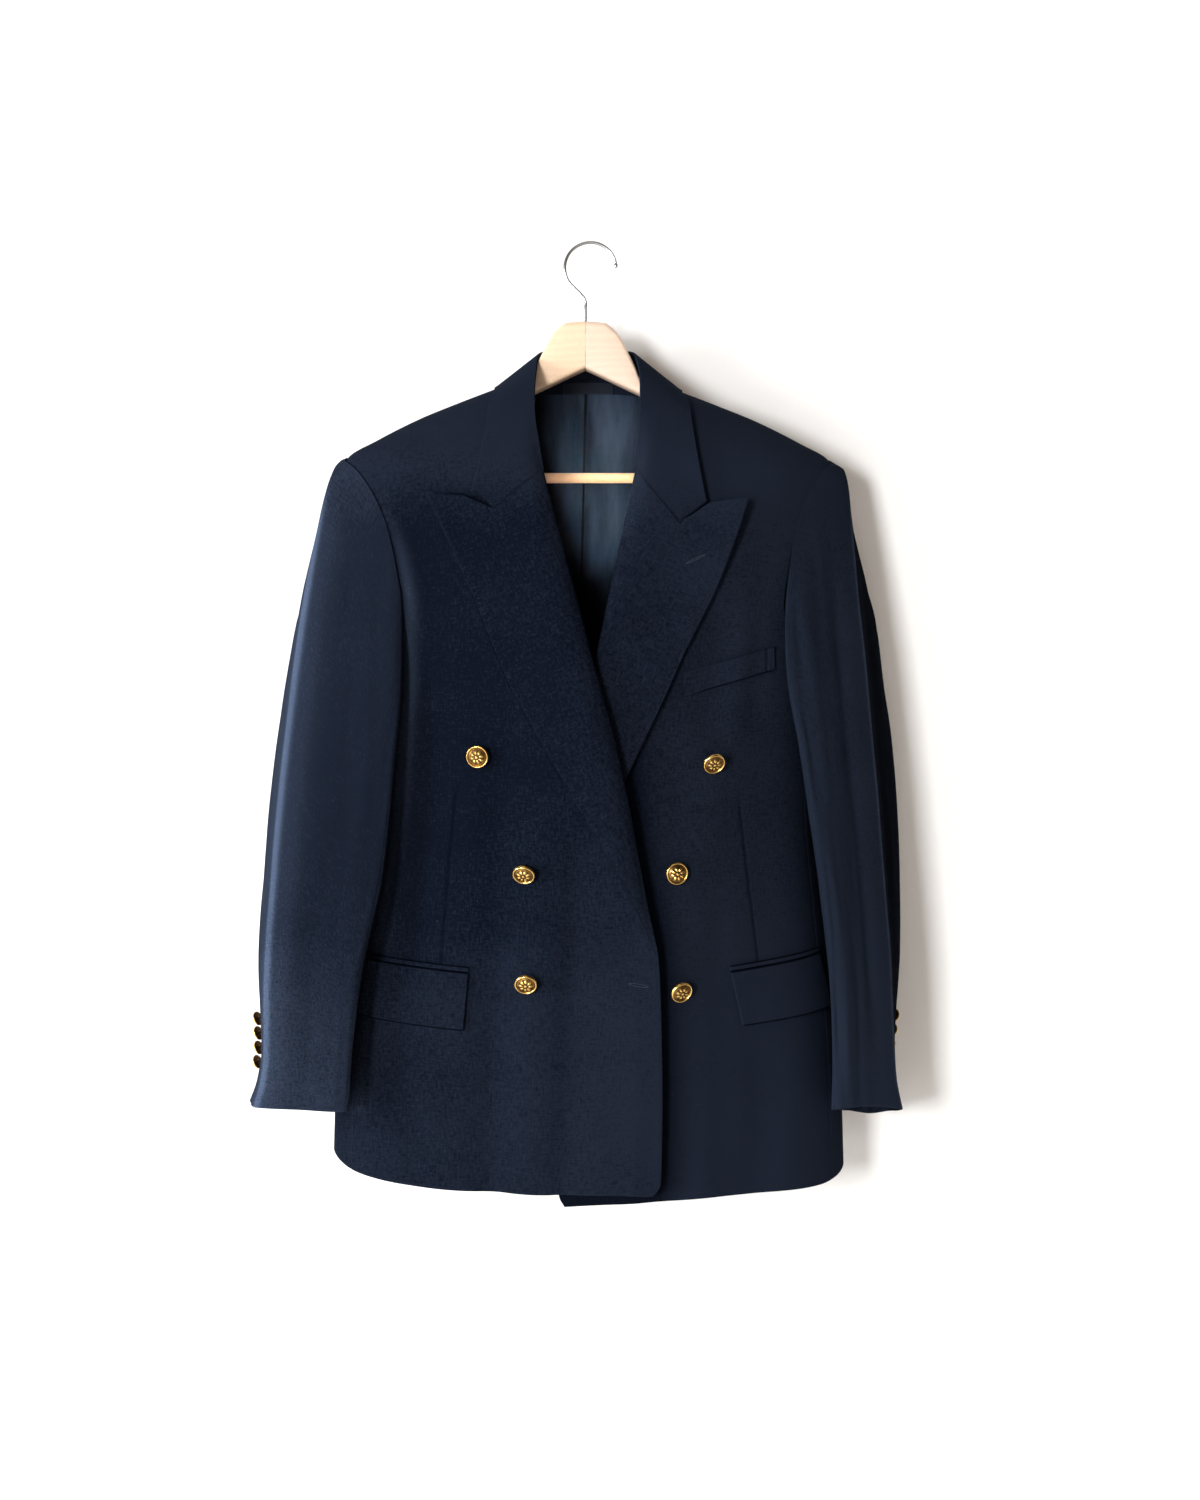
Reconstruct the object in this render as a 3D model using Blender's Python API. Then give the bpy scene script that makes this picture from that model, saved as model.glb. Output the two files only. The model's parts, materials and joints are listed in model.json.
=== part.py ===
"""A double-breasted blazer hanging on a wooden hanger.

Metres, +Z up, the jacket's front faces -Y. The origin is the inside of the hook's top, where a rail
holds it. Right and left are the wearer's: the wearer's right is at -X, so side is -1 there and +1
on the left. Cloth pieces are walls: a grid of outer points, and the same points moved in along the
form's normals. Angles go round the body from centre front (0) over the side seam (90) to centre
back (180 degrees).
"""
import math

import bmesh
import bpy
import numpy as np
from mathutils import Matrix, Vector

# ---------------------------------------------------------------- driving sizes
SEAM = 0.0006            # gap between two pieces that a seam joins
BODY_WALL = 0.0020       # fronts, side bodies and backs: cloth, canvas and lining
SLEEVE_WALL = 0.0018
LAPEL_WALL = 0.0026      # two layers of cloth with the canvas between them
COLLAR_WALL = 0.0024
LINING_WALL = 0.0010
FLAP_WALL = 0.0022
WELT_WALL = 0.0018
LAID_GAP = 0.0011        # between a panel and what lies on it
ROUNDNESS = 2.4          # exponent of the body's rounded-oblong level sections
BODY_X = 0.0015          # the body's middle
LEFT, RIGHT = 1, -1

FRONT_SEAM_TURN = 0.40   # where the two side seams meet the armhole, as turns round it
BACK_SEAM_TURN = 0.60
HEM_SIDE = {RIGHT: -0.906, LEFT: -0.931}
HEM_EASE = {RIGHT: 3.2, LEFT: 0.9}   # how the front hem nears the side's height: 1 is a straight run
LEFT_DROP = 0.0030       # the left shoulder hangs this much lower
LEFT_DROP_X, LEFT_DROP_Z = (0.020, 0.090), (-0.450, -0.260)   # where the drop comes in
HEM_BACK = -0.918
FRONT_COLUMNS, BACK_COLUMNS = 11, 9

# The body's form, a row for each level: height, half width, then y at the front, side and back
BODY_ROWS = [
    (-0.1200, 0.0350, -0.017, 0.015, 0.051),
    (-0.1340, 0.0690, -0.027, 0.012, 0.053),
    (-0.1444, 0.0940, -0.037, 0.010, 0.055),
    (-0.1580, 0.1275, -0.049, 0.006, 0.058),
    (-0.1755, 0.1685, -0.061, 0.001, 0.060),
    (-0.1970, 0.2095, -0.072, -0.004, 0.062),
    (-0.2144, 0.2380, -0.079, -0.007, 0.063),
    (-0.2300, 0.2445, -0.084, -0.007, 0.065),
    (-0.3000, 0.2430, -0.097, -0.001, 0.067),
    (-0.3600, 0.2360, -0.103, 0.004, 0.066),
    (-0.4300, 0.2290, -0.105, 0.009, 0.064),
    (-0.5500, 0.2245, -0.101, 0.014, 0.060),
    (-0.6800, 0.2310, -0.093, 0.017, 0.057),
    (-0.8000, 0.2455, -0.087, 0.020, 0.057),
    (-0.9500, 0.2612, -0.081, 0.022, 0.059),
]

# The armhole, from the shoulder tip over the front to the underarm and up the back:
# turn, angle round the body, height
ARMHOLE_ROWS = [
    (0.00, 90.0, -0.2144),
    (0.05, 68.0, -0.2260),
    (0.10, 58.0, -0.2460),
    (0.17, 50.5, -0.2800),
    (0.24, 46.8, -0.3200),
    (0.30, 46.0, -0.3580),
    (0.35, 51.0, -0.3900),
    (0.40, 64.0, -0.4150),
    (0.47, 84.0, -0.4280),
    (0.53, 100.0, -0.4280),
    (0.60, 118.0, -0.4140),
    (0.66, 129.0, -0.3850),
    (0.73, 136.0, -0.3450),
    (0.80, 137.0, -0.3050),
    (0.87, 131.0, -0.2680),
    (0.94, 113.0, -0.2340),
    (1.00, 90.0, -0.2144),
]
LEFT_ARMHOLE_SHIFT = 4.0   # the left armhole's front lies this many degrees further round
FRONT_TURNS = (0.40, 0.35, 0.30, 0.24, 0.17, 0.10, 0.05, 0.025, 0.010)
SIDE_TURNS = (0.40, 0.45, 0.50, 0.55, 0.60)
BACK_TURNS = (0.60, 0.66, 0.73, 0.80, 0.87, 0.94, 0.98)

# The neckline from the shoulder seam down the front: angle, height; the rest goes on to the gorge
FRONT_NECK_ROWS = [(90.0, -0.1325), (75.0, -0.1345), (60.0, -0.1380), (46.0, -0.1450)]
BACK_NECK_ROWS = [(180.0, -0.1275), (150.0, -0.1285), (125.0, -0.1300), (105.0, -0.1315), (90.0, -0.1325)]

# Front edges from the hem up the free edge and the roll line to the neck: height, x
RIGHT_FRONT_EDGE = [
    (-0.9300, 0.0630),
    (-0.9160, 0.0705),
    (-0.8400, 0.0717),
    (-0.7650, 0.0705),
    (-0.7050, 0.0680),
    (-0.6500, 0.0575),
    (-0.5850, 0.0450),
    (-0.5100, 0.0330),
    (-0.4300, 0.0105),
    (-0.3650, -0.0060),
    (-0.3000, -0.0240),
    (-0.2391, -0.0385),
    (-0.2000, -0.0520),
    (-0.1700, -0.0680),
]
LEFT_FRONT_EDGE = [
    (-0.9440, -0.0210),
    (-0.9300, -0.0270),
    (-0.8400, -0.0290),
    (-0.7650, -0.0320),
    (-0.7050, -0.0340),
    (-0.6500, -0.0290),
    (-0.5850, -0.0190),
    (-0.5100, -0.0080),
    (-0.4300, 0.0050),
    (-0.3650, 0.0180),
    (-0.3000, 0.0310),
    (-0.2391, 0.0440),
    (-0.2000, 0.0560),
    (-0.1700, 0.0690),
]
# Heights of the side seam's points from the hem up to the armhole
SIDE_SEAM_HEIGHTS = (-0.900, -0.830, -0.760, -0.700, -0.640, -0.570, -0.500)

# How far the right front stands off the left one at its free edge: height, distance
OVERLAP_ROWS = [
    (-0.9500, 0.0135),
    (-0.7500, 0.0160),
    (-0.5500, 0.0170),
    (-0.4400, 0.0140),
    (-0.3800, 0.0095),
    (-0.3200, 0.0050),
    (-0.2400, 0.0020),
    (-0.1400, 0.0000),
]
OVERLAP_FROM, OVERLAP_FULL = -0.130, 0.005   # x between which the right front rises

# Soft vertical folds of the fronts: top x and height, bottom x and height, half width, depth
FOLDS = [
    (-0.150, -0.270, -0.148, -0.560, 0.022, -0.0030),
    (-0.110, -0.450, -0.125, -0.930, 0.026, 0.0020),
    (-0.074, -0.400, -0.092, -0.950, 0.020, -0.0035),
    (-0.040, -0.520, -0.052, -0.960, 0.022, 0.0025),
    (-0.004, -0.520, -0.020, -0.960, 0.020, -0.0032),
    (0.128, -0.340, 0.122, -0.480, 0.020, -0.0028),
    (0.090, -0.520, 0.104, -0.960, 0.024, 0.0022),
    (0.165, -0.430, 0.172, -0.960, 0.028, -0.0026),
]

# Lapels, from the gorge down to the break: height and x at the roll line, height and x at the edge
RIGHT_LAPEL_ROWS = [
    (-0.2360, -0.0392, -0.2560, -0.1540),
    (-0.2750, -0.0300, -0.3050, -0.1310),
    (-0.3150, -0.0195, -0.3500, -0.1110),
    (-0.3650, -0.0060, -0.3980, -0.0915),
    (-0.4200, 0.0080, -0.4500, -0.0690),
    (-0.4800, 0.0245, -0.5050, -0.0390),
    (-0.5450, 0.0385, -0.5650, -0.0040),
    (-0.6100, 0.0500, -0.6220, 0.0300),
    (-0.6550, 0.0582, -0.6610, 0.0480),
    (-0.6900, 0.0655, -0.6920, 0.0620),
]
LEFT_LAPEL_ROWS = [
    (-0.2320, 0.0455, -0.2610, 0.1530),
    (-0.2750, 0.0365, -0.3050, 0.1385),
    (-0.3150, 0.0285, -0.3500, 0.1220),
    (-0.3650, 0.0180, -0.3980, 0.0990),
    (-0.4200, 0.0070, -0.4500, 0.0760),
    (-0.4800, -0.0030, -0.5050, 0.0500),
    (-0.5450, -0.0130, -0.5650, 0.0220),
    (-0.6100, -0.0240, -0.6220, -0.0060),
    (-0.6600, -0.0300, -0.6660, -0.0210),
]
# The peak's top edge: part of the way from roll line to tip, and its drop below the straight line
RIGHT_PEAK_ROWS = [(0.0, 0.0), (0.18, 0.0116), (0.413, 0.0300), (0.68, 0.0105), (1.0, 0.0)]
LEFT_PEAK_ROWS = [(0.0, 0.0), (0.09, 0.0099), (0.394, 0.0410), (0.66, 0.0142), (1.0, 0.0)]
LAPEL_COLUMNS = (0.0, 0.09, 0.20, 0.31, 0.40, 0.52, 0.68, 0.85, 1.0)
PEAK_FADE = 1.6            # rows over which the top edge's shape dies away
ROLL_RISE, ROLL_REACH = 0.0035, 0.016   # the roll's height at the fold, and how far it reaches

# The collar in front of the shoulders, from the gorge up: x and height of the neck seam, then x, y
# and height of the fold, then x and height of the outer edge
COLLAR_FRONT_ROWS = {
    RIGHT: [
        (0.0460, -0.2330, 0.0390, -0.0905, -0.2310, 0.0860, -0.2735),
        (0.0540, -0.2130, 0.0440, -0.0830, -0.2080, 0.1075, -0.2510),
        (0.0625, -0.1900, 0.0490, -0.0690, -0.1820, 0.1019, -0.2240),
        (0.0705, -0.1680, 0.0510, -0.0490, -0.1560, 0.0960, -0.1860),
        (0.0735, -0.1510, 0.0500, -0.0270, -0.1300, 0.0945, -0.1640),
    ],
    LEFT: [
        (0.0520, -0.2310, 0.0455, -0.0905, -0.2275, 0.0872, -0.2810),
        (0.0570, -0.2130, 0.0480, -0.0830, -0.2080, 0.1148, -0.2610),
        (0.0640, -0.1900, 0.0515, -0.0690, -0.1820, 0.1080, -0.2250),
        (0.0710, -0.1680, 0.0530, -0.0490, -0.1560, 0.1022, -0.1870),
        (0.0750, -0.1510, 0.0520, -0.0270, -0.1300, 0.1000, -0.1640),
    ],
}
# The collar round the shoulders and the back of the neck: angle and height of the neck seam, then
# x, y and height of the fold, then angle and height of the outer edge
COLLAR_BACK_ROWS = [
    (68.0, -0.1375, 0.0485, -0.0060, -0.1130, 70.0, -0.1520),
    (90.0, -0.1345, 0.0455, 0.0150, -0.1060, 90.0, -0.1480),
    (112.0, -0.1330, 0.0390, 0.0320, -0.1020, 112.0, -0.1490),
    (135.0, -0.1310, 0.0270, 0.0420, -0.0995, 135.0, -0.1500),
    (160.0, -0.1290, 0.0130, 0.0465, -0.0985, 160.0, -0.1510),
    (180.0, -0.1285, 0.0000, 0.0475, -0.0980, 180.0, -0.1510),
]
COLLAR_GAP = 0.0017        # between the body and the collar's underside
COLLAR_MIDDLE = 0.35       # the fall's middle, as a part of the way from neck seam to edge
COLLAR_SWELL = 0.0010      # height of the fall's middle over the neck seam
COLLAR_END_SWELL = 0.0020  # the same at the gorge, where the fall lies over the lapel's end
COLLAR_STEPS = (0.0, 0.5, 1.0, 1.6, 1.85, 2.0, 2.15, 2.4, 3.0, 3.33, 3.67, 4.0)
COLLAR_CORNER = 2          # stations from the gorge to where the collar's point is past

# Sleeves, a row for each level: height, then x and y of the front fold, the ridge, the back fold
# and the inside
SLEEVE_ROWS = {RIGHT: [
    (-0.2144, 0.195, -0.067, 0.2380, -0.007, 0.228, 0.033, 0.205, 0.023),
    (-0.2180, 0.193, -0.068, 0.2440, -0.011, 0.231, 0.034, 0.207, 0.023),
    (-0.2250, 0.191, -0.069, 0.2490, -0.015, 0.236, 0.035, 0.209, 0.023),
    (-0.2500, 0.188, -0.071, 0.2560, -0.023, 0.2505, 0.035, 0.212, 0.023),
    (-0.3000, 0.184, -0.074, 0.2640, -0.035, 0.267, 0.033, 0.218, 0.021),
    (-0.3580, 0.1785, -0.078, 0.2730, -0.047, 0.284, 0.025, 0.226, 0.015),
    (-0.4200, 0.1775, -0.087, 0.2820, -0.055, 0.295, 0.015, 0.240, 0.001),
    (-0.5100, 0.1855, -0.093, 0.2930, -0.061, 0.3060, 0.005, 0.241, -0.009),
    (-0.6200, 0.1980, -0.093, 0.3030, -0.063, 0.3160, 0.001, 0.243, -0.013),
    (-0.7200, 0.2175, -0.089, 0.3090, -0.061, 0.3225, -0.001, 0.254, -0.015),
    (-0.8000, 0.2270, -0.087, 0.3100, -0.059, 0.3195, -0.001, 0.262, -0.015),
    (-0.8300, 0.2290, -0.086, 0.3145, -0.057, 0.3240, -0.001, 0.265, -0.015),
    (-0.8600, 0.2335, -0.085, 0.3240, -0.055, 0.3350, -0.001, 0.268, -0.015),
], LEFT: [
    (-0.2144, 0.205, -0.065, 0.2380, -0.007, 0.228, 0.035, 0.205, 0.023),
    (-0.2180, 0.203, -0.066, 0.2430, -0.010, 0.231, 0.036, 0.207, 0.023),
    (-0.2250, 0.201, -0.067, 0.2520, -0.013, 0.246, 0.038, 0.209, 0.023),
    (-0.2500, 0.198, -0.069, 0.2570, -0.019, 0.2665, 0.041, 0.212, 0.023),
    (-0.3000, 0.194, -0.072, 0.2610, -0.031, 0.2790, 0.043, 0.218, 0.023),
    (-0.3580, 0.1900, -0.077, 0.2650, -0.041, 0.2895, 0.041, 0.226, 0.021),
    (-0.4200, 0.1935, -0.085, 0.2715, -0.047, 0.2975, 0.033, 0.235, 0.013),
    (-0.5000, 0.2070, -0.089, 0.2775, -0.051, 0.3060, 0.025, 0.240, 0.007),
    (-0.6000, 0.2215, -0.089, 0.2850, -0.053, 0.3115, 0.021, 0.247, 0.001),
    (-0.7000, 0.2335, -0.085, 0.2930, -0.053, 0.3115, 0.019, 0.256, -0.001),
    (-0.7700, 0.2380, -0.083, 0.2965, -0.051, 0.3045, 0.017, 0.262, -0.003),
    (-0.8200, 0.2390, -0.081, 0.3000, -0.049, 0.2985, 0.015, 0.264, -0.005),
    (-0.8700, 0.2385, -0.079, 0.3105, -0.047, 0.3000, 0.013, 0.264, -0.007),
]}
# Turns of the ridge, front fold, inside and back fold, with the middles between them
SLEEVE_CORNER_TURNS = (0.0, 0.15, 0.30, 0.415, 0.53, 0.665, 0.80, 0.90)
SLEEVE_SWELL = (0.004, 0.004, 0.006, 0.003)   # how far each middle bows out
TOP_SLEEVE_TURNS = (0.80, 0.87, 0.94, 0.98, 1.0, 1.010, 1.025, 1.05, 1.10, 1.17, 1.24, 1.30)
UNDER_SLEEVE_TURNS = (0.30, 0.35, 0.40, 0.45, 0.50, 0.55, 0.60, 0.66, 0.73, 0.80)
SLEEVE_STAND = 0.0034      # the sleeve seam lies this far outside the body at the underarm
SLEEVE_STEPS = (
    0.0, 0.006, 0.020, 0.050, 0.100, 0.170, 0.260, 0.360, 0.470, 0.590, 0.710, 0.820, 0.920, 1.0,
)
CAP_BLEND = 0.100          # the armhole's own shape dies away over this length of sleeve
CUFF_FRONT = {RIGHT: -0.8500, LEFT: -0.8470}
CUFF_BACK = {RIGHT: -0.8520, LEFT: -0.8660}

# Hip pockets: x and height of the inner and the outer end of the jet, and the flap's depth
POCKET_ROWS = {
    RIGHT: (-0.1120, -0.7110, -0.2240, -0.6990, 0.0560),
    LEFT: (0.1380, -0.7110, 0.2260, -0.6960, 0.0530),
}
FLAP_LEAN = {RIGHT: -0.0050, LEFT: 0.0120}   # how far the flap's foot moves to +X
JET_DEEP = 0.0050
POCKET_COLUMNS, POCKET_GAP = 12, 0.0012
WELT_BOTTOM = (0.0915, -0.4530, 0.1800, -0.4260)   # x and height of its two lower corners
WELT_DEEP = 0.0235
LINING_REACH = 52.0        # degrees to each side of centre back
LINING_FOOT = -0.620
LINING_PLEAT_REACH = 0.008
LINING_STEPS = (0.0, 0.03, 0.12, 0.25, 0.42, 0.60, 0.80, 1.0)
LINING_PLEAT, LINING_SLACK, LINING_GAP = 0.0030, 0.0050, 0.0016
LABEL_SIZE, LABEL_X, LABEL_TOP, LABEL_GAP = (0.053, 0.0105), 0.0010, -0.1300, 0.0008

BUTTON_RADIUS, CUFF_BUTTON_RADIUS = 0.0112, 0.0072
BUTTON_SIDES = 16
# A button's profile in parts of its radius: distance from the axis, height
BUTTON_PROFILE = [
    (0.00, 0.40), (0.45, 0.34), (0.76, 0.18), (0.88, 0.25), (1.00, 0.12), (0.92, -0.02), (0.14, -0.08),
]
FRONT_STAND, CUFF_STAND = 0.30, 0.30     # a level button's height over the cloth, in radii
FRONT_SHANK_GAP, CUFF_SHANK_GAP = 0.0003, {RIGHT: 0.0002, LEFT: -0.0005}
# Front buttons: node suffix, side, x, height, tilt down and turn to +X in degrees
FRONT_BUTTONS = [
    ("right_top", RIGHT, -0.1022, -0.5090, 10.0, 0.0),
    ("right_middle", RIGHT, -0.0575, -0.6190, 40.0, -6.0),
    ("right_bottom", RIGHT, -0.0560, -0.7235, 35.0, 0.0),
    ("left_top", LEFT, 0.1190, -0.5150, 36.0, 5.0),
    ("left_middle", LEFT, 0.0850, -0.6200, 10.0, 10.0),
    ("left_bottom", LEFT, 0.0890, -0.7330, 28.0, 20.0),
]
CUFF_BUTTON_HEIGHTS = (-0.7700, -0.7845, -0.7990, -0.8135)
CUFF_BUTTON_TILT = 22.0
CUFF_BUTTON_TURN = {RIGHT: 0.806, LEFT: 0.785}

# Hanger: x from the middle, top, bottom, y of its middle, thickness
ARM_ROWS = [
    (0.0000, -0.0775, -0.1250, 0.0000, 0.024),
    (0.0190, -0.0790, -0.1340, 0.0000, 0.024),
    (0.0260, -0.0835, -0.1374, 0.0000, 0.024),
    (0.0335, -0.0915, -0.1410, 0.0000, 0.024),
    (0.0415, -0.1070, -0.1448, -0.0002, 0.024),
    (0.0500, -0.1240, -0.1488, -0.0004, 0.024),
    (0.0540, -0.1345, -0.1507, -0.0005, 0.024),
    (0.0800, -0.1455, -0.1632, 0.0005, 0.024),
    (0.1000, 0.0, -0.1727, 0.0010, 0.025),
    (0.1275, 0.0, -0.1858, 0.0000, 0.027),
    (0.1485, 0.0, -0.1960, -0.0010, 0.030),
    (0.1685, 0.0, -0.2054, -0.0020, 0.032),
    (0.1850, 0.0, -0.2133, -0.0035, 0.034),
    (0.1856, 0.0, -0.2440, -0.0035, 0.034),
    (0.2060, 0.0, -0.2440, -0.0050, 0.034),
    (0.2220, 0.0, -0.2360, -0.0060, 0.028),
]
ARM_CHAMFER = 0.004
# The arm's rounded top and foot: part of the half thickness, and drop or rise there
ARM_TOP = [(-1.0, ARM_CHAMFER), (-0.65, 0.0008), (0.0, 0.0), (0.65, 0.0008), (1.0, ARM_CHAMFER)]
ARM_FOOT = [(1.0, ARM_CHAMFER), (0.65, 0.0), (-0.65, 0.0), (-1.0, ARM_CHAMFER)]
REST_GAP = 0.0005          # between the wood and the shoulders that lie on it
ROOF_RANGE = (-0.350, -0.120)   # heights between which the shoulders lie
HEAD_X = -0.0015
BAR_RADIUS, BAR_HEIGHT, BAR_Y = 0.0050, -0.2330, -0.0035
BAR_HALF, BAR_SIDES = 0.1849, 16

HOOK_WIRE = 0.0018         # radius
HOOK_Y = 0.0
HOOK_LOOP, HOOK_LOOP_X = 0.0255, 0.0035   # radius and middle of the loop's centre line
HOOK_START_ANGLE, HOOK_TIP_ANGLE = 215.0, 0.0   # the loop, in degrees from +X
# x and height where the wire bends from the stem to the loop
HOOK_NECK = [(-0.0016, -0.0570), (-0.0050, -0.0510)]
HOOK_BEND_Z = -0.0620      # height at which the straight stem ends
HOOK_STEPS = 18            # straight runs that make the loop
HOOK_SOCKET = 0.012        # depth to which the stem goes into the wood
HOOK_SLACK = 0.0004        # between the wire and its socket, all round


# ---------------------------------------------------------------- curves
def along(rows, column, at):
    """One column of a table at given values of its first column, on a smooth curve that keeps
    between neighbouring rows."""
    knots = np.array([row[0] for row in rows], dtype=float)
    values = np.array([row[column] for row in rows], dtype=float)
    if knots[0] > knots[-1]:
        knots, values = knots[::-1], values[::-1]
    step = np.diff(knots)
    rise = np.diff(values) / step
    slope = np.concatenate([rise[:1], np.zeros(len(rise) - 1), rise[-1:]])
    for i in range(1, len(rise)):
        before, after = rise[i - 1], rise[i]
        if before * after > 0:
            slope[i] = 2.0 * before * after / (before + after)
    at = np.clip(np.asarray(at, dtype=float), knots[0], knots[-1])
    k = np.clip(np.searchsorted(knots, at) - 1, 0, len(step) - 1)
    t = (at - knots[k]) / step[k]
    start = values[k] * (1 + 2 * t) * (1 - t) ** 2 + values[k + 1] * t * t * (3 - 2 * t)
    return start + step[k] * (slope[k] * t * (1 - t) ** 2 - slope[k + 1] * t * t * (1 - t))


def smooth_step(low, high, at):
    t = np.clip((np.asarray(at, dtype=float) - low) / (high - low), 0.0, 1.0)
    return t * t * (3.0 - 2.0 * t)


def blend(a, b, t):
    return a + (b - a) * t


def unit(vectors):
    return vectors / np.maximum(np.linalg.norm(vectors, axis=-1, keepdims=True), 1e-12)


# ---------------------------------------------------------------- the body's form
def left_drop(x, z):
    return LEFT_DROP * smooth_step(*LEFT_DROP_X, x) * smooth_step(*LEFT_DROP_Z, z)


def body_point(angle, z):
    """Points on the jacket's form; angle in radians, positive on the wearer's left."""
    angle, z = np.broadcast_arrays(np.asarray(angle, dtype=float), np.asarray(z, dtype=float))
    half, front, side, back = (along(BODY_ROWS, column, z) for column in (1, 2, 3, 4))
    across = np.sign(np.sin(angle)) * np.abs(np.sin(angle)) ** (2.0 / ROUNDNESS)
    deep = np.abs(np.cos(angle)) ** (2.0 / ROUNDNESS)
    reach = np.where(np.cos(angle) > 0, side - front, side - back)
    x = BODY_X + half * across
    return np.stack([x, side - reach * deep, z - left_drop(x, z)], axis=-1)


def body_normal(angle, z):
    turn, rise = 0.01, 0.002
    round_it = body_point(angle + turn, z) - body_point(angle - turn, z)
    up_it = body_point(angle, z + rise) - body_point(angle, z - rise)
    return unit(np.cross(round_it, up_it))


def angle_at(x, z):
    """The angle of the front's point at this x."""
    share = np.clip(np.abs(np.asarray(x) - BODY_X) / along(BODY_ROWS, 1, z), 0.0, 1.0)
    return np.sign(np.asarray(x) - BODY_X) * np.arcsin(share ** (ROUNDNESS / 2.0))


def armhole(side, turn):
    """Angle and height of a point on the armhole."""
    shift = LEFT_ARMHOLE_SHIFT if side == LEFT else 0.0
    front = np.clip(np.sin(np.pi * np.clip(np.asarray(turn) / 0.6, 0.0, 1.0)), 0.0, 1.0)
    degrees = along(ARMHOLE_ROWS, 1, turn) + shift * front
    return side * np.radians(degrees), along(ARMHOLE_ROWS, 2, turn)


def fold_relief(x, z):
    """Depth of the soft folds at a place on the fronts."""
    relief = np.zeros(np.broadcast(x, z).shape)
    for top_x, top_z, foot_x, foot_z, half_width, depth in FOLDS:
        down = (top_z - z) / (top_z - foot_z)
        fade = smooth_step(0.0, 0.3, down) * (1.0 - smooth_step(0.96, 1.2, down))
        middle = blend(top_x, foot_x, np.clip(down, 0.0, 1.0))
        relief = relief + depth * fade * np.exp(-(((x - middle) / half_width) ** 2))
    return relief


def front_lift(side, x, z):
    """How far a front stands off the body's form: the right one rises over the left one."""
    lift = fold_relief(x, z)
    if side == RIGHT:
        lift = lift + along(OVERLAP_ROWS, 1, z) * smooth_step(OVERLAP_FROM, OVERLAP_FULL, x)
    return lift


def front_point(side, x, z, above):
    """A point above a front's face, at an x and height of the form."""
    angle = angle_at(x, z)
    lift = front_lift(side, x, z) + above
    return body_point(angle, z) + body_normal(angle, z) * lift[..., None]


# ---------------------------------------------------------------- meshes
def plain_material(name, colour, roughness, metallic=0.0):
    material = bpy.data.materials.new(name)
    material.use_nodes = True
    shader = material.node_tree.nodes["Principled BSDF"]
    shader.inputs["Base Color"].default_value = (*colour, 1.0)
    shader.inputs["Roughness"].default_value = roughness
    shader.inputs["Metallic"].default_value = metallic
    material.diffuse_color = (*colour, 1.0)
    return material


def mesh_object(name, points, faces, finish, smooth_angle=50.0):
    mesh = bpy.data.meshes.new(name)
    mesh.from_pydata([tuple(point) for point in points], [], faces)
    build = bmesh.new()
    build.from_mesh(mesh)
    bmesh.ops.recalc_face_normals(build, faces=build.faces)
    bmesh.ops.triangulate(build, faces=build.faces)
    build.to_mesh(mesh)
    build.free()
    mesh.shade_smooth()
    mesh.set_sharp_from_angle(angle=math.radians(smooth_angle))
    item = bpy.data.objects.new(name, mesh)
    colour, roughness, metallic = finish
    mesh.materials.append(plain_material(name, colour, roughness, metallic))
    bpy.context.scene.collection.objects.link(item)
    return item


def wall(name, outer, inner, finish):
    """A closed wall between two grids of points, with a rim round its four edges."""
    rows, columns = outer.shape[:2]
    count = rows * columns
    points = np.concatenate([outer.reshape(-1, 3), inner.reshape(-1, 3)])
    faces = []
    for i in range(rows - 1):
        for j in range(columns - 1):
            a = i * columns + j
            quad = (a, a + 1, a + columns + 1, a + columns)
            faces.append(quad)
            faces.append(tuple(corner + count for corner in reversed(quad)))
    rim = [j for j in range(columns)]
    rim += [i * columns + columns - 1 for i in range(1, rows)]
    rim += [(rows - 1) * columns + j for j in range(columns - 2, -1, -1)]
    rim += [i * columns for i in range(rows - 2, 0, -1)]
    for here, there in zip(rim, rim[1:] + rim[:1]):
        faces.append((there, here, here + count, there + count))
    return mesh_object(name, points, faces, finish)


def drawn_in(grid, gap):
    """The grid with its four edges moved in by half a seam's gap."""
    grid = grid.copy()
    for axis in (0, 1):
        moved = np.moveaxis(grid, axis, 0)
        moved[0] += unit(moved[1] - moved[0]) * gap / 2
        moved[-1] += unit(moved[-2] - moved[-1]) * gap / 2
    return grid


def grid_normals(grid):
    down = np.gradient(grid, axis=0)
    over = np.gradient(grid, axis=1)
    return unit(np.cross(over, down))


def body_panel(name, angle, z, lift, thickness, finish):
    """A panel on the body's form, its outer face raised by lift."""
    base = body_point(angle, z)
    normal = body_normal(angle, z)
    outer = drawn_in(base + normal * lift[..., None], SEAM)
    inner = drawn_in(base + normal * (lift - thickness)[..., None], SEAM)
    return wall(name, outer, inner, finish)


def spread(start, end, columns):
    """Rows of values from start to end, at the given parts of the way."""
    return start[:, None] + (end - start)[:, None] * np.asarray(columns)[None, :]


# ---------------------------------------------------------------- finishes: colour, roughness, metallic
NAVY = ((0.013, 0.019, 0.030), 0.85, 0.0)
LINING = ((0.028, 0.038, 0.055), 0.45, 0.0)
LABEL = ((0.020, 0.026, 0.040), 0.60, 0.0)
GILT = ((0.83, 0.58, 0.22), 0.28, 1.0)
CHROME = ((0.62, 0.62, 0.62), 0.20, 1.0)
MAPLE = ((0.90, 0.72, 0.50), 0.45, 0.0)
SIDE_NAMES = {RIGHT: "right", LEFT: "left"}


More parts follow.
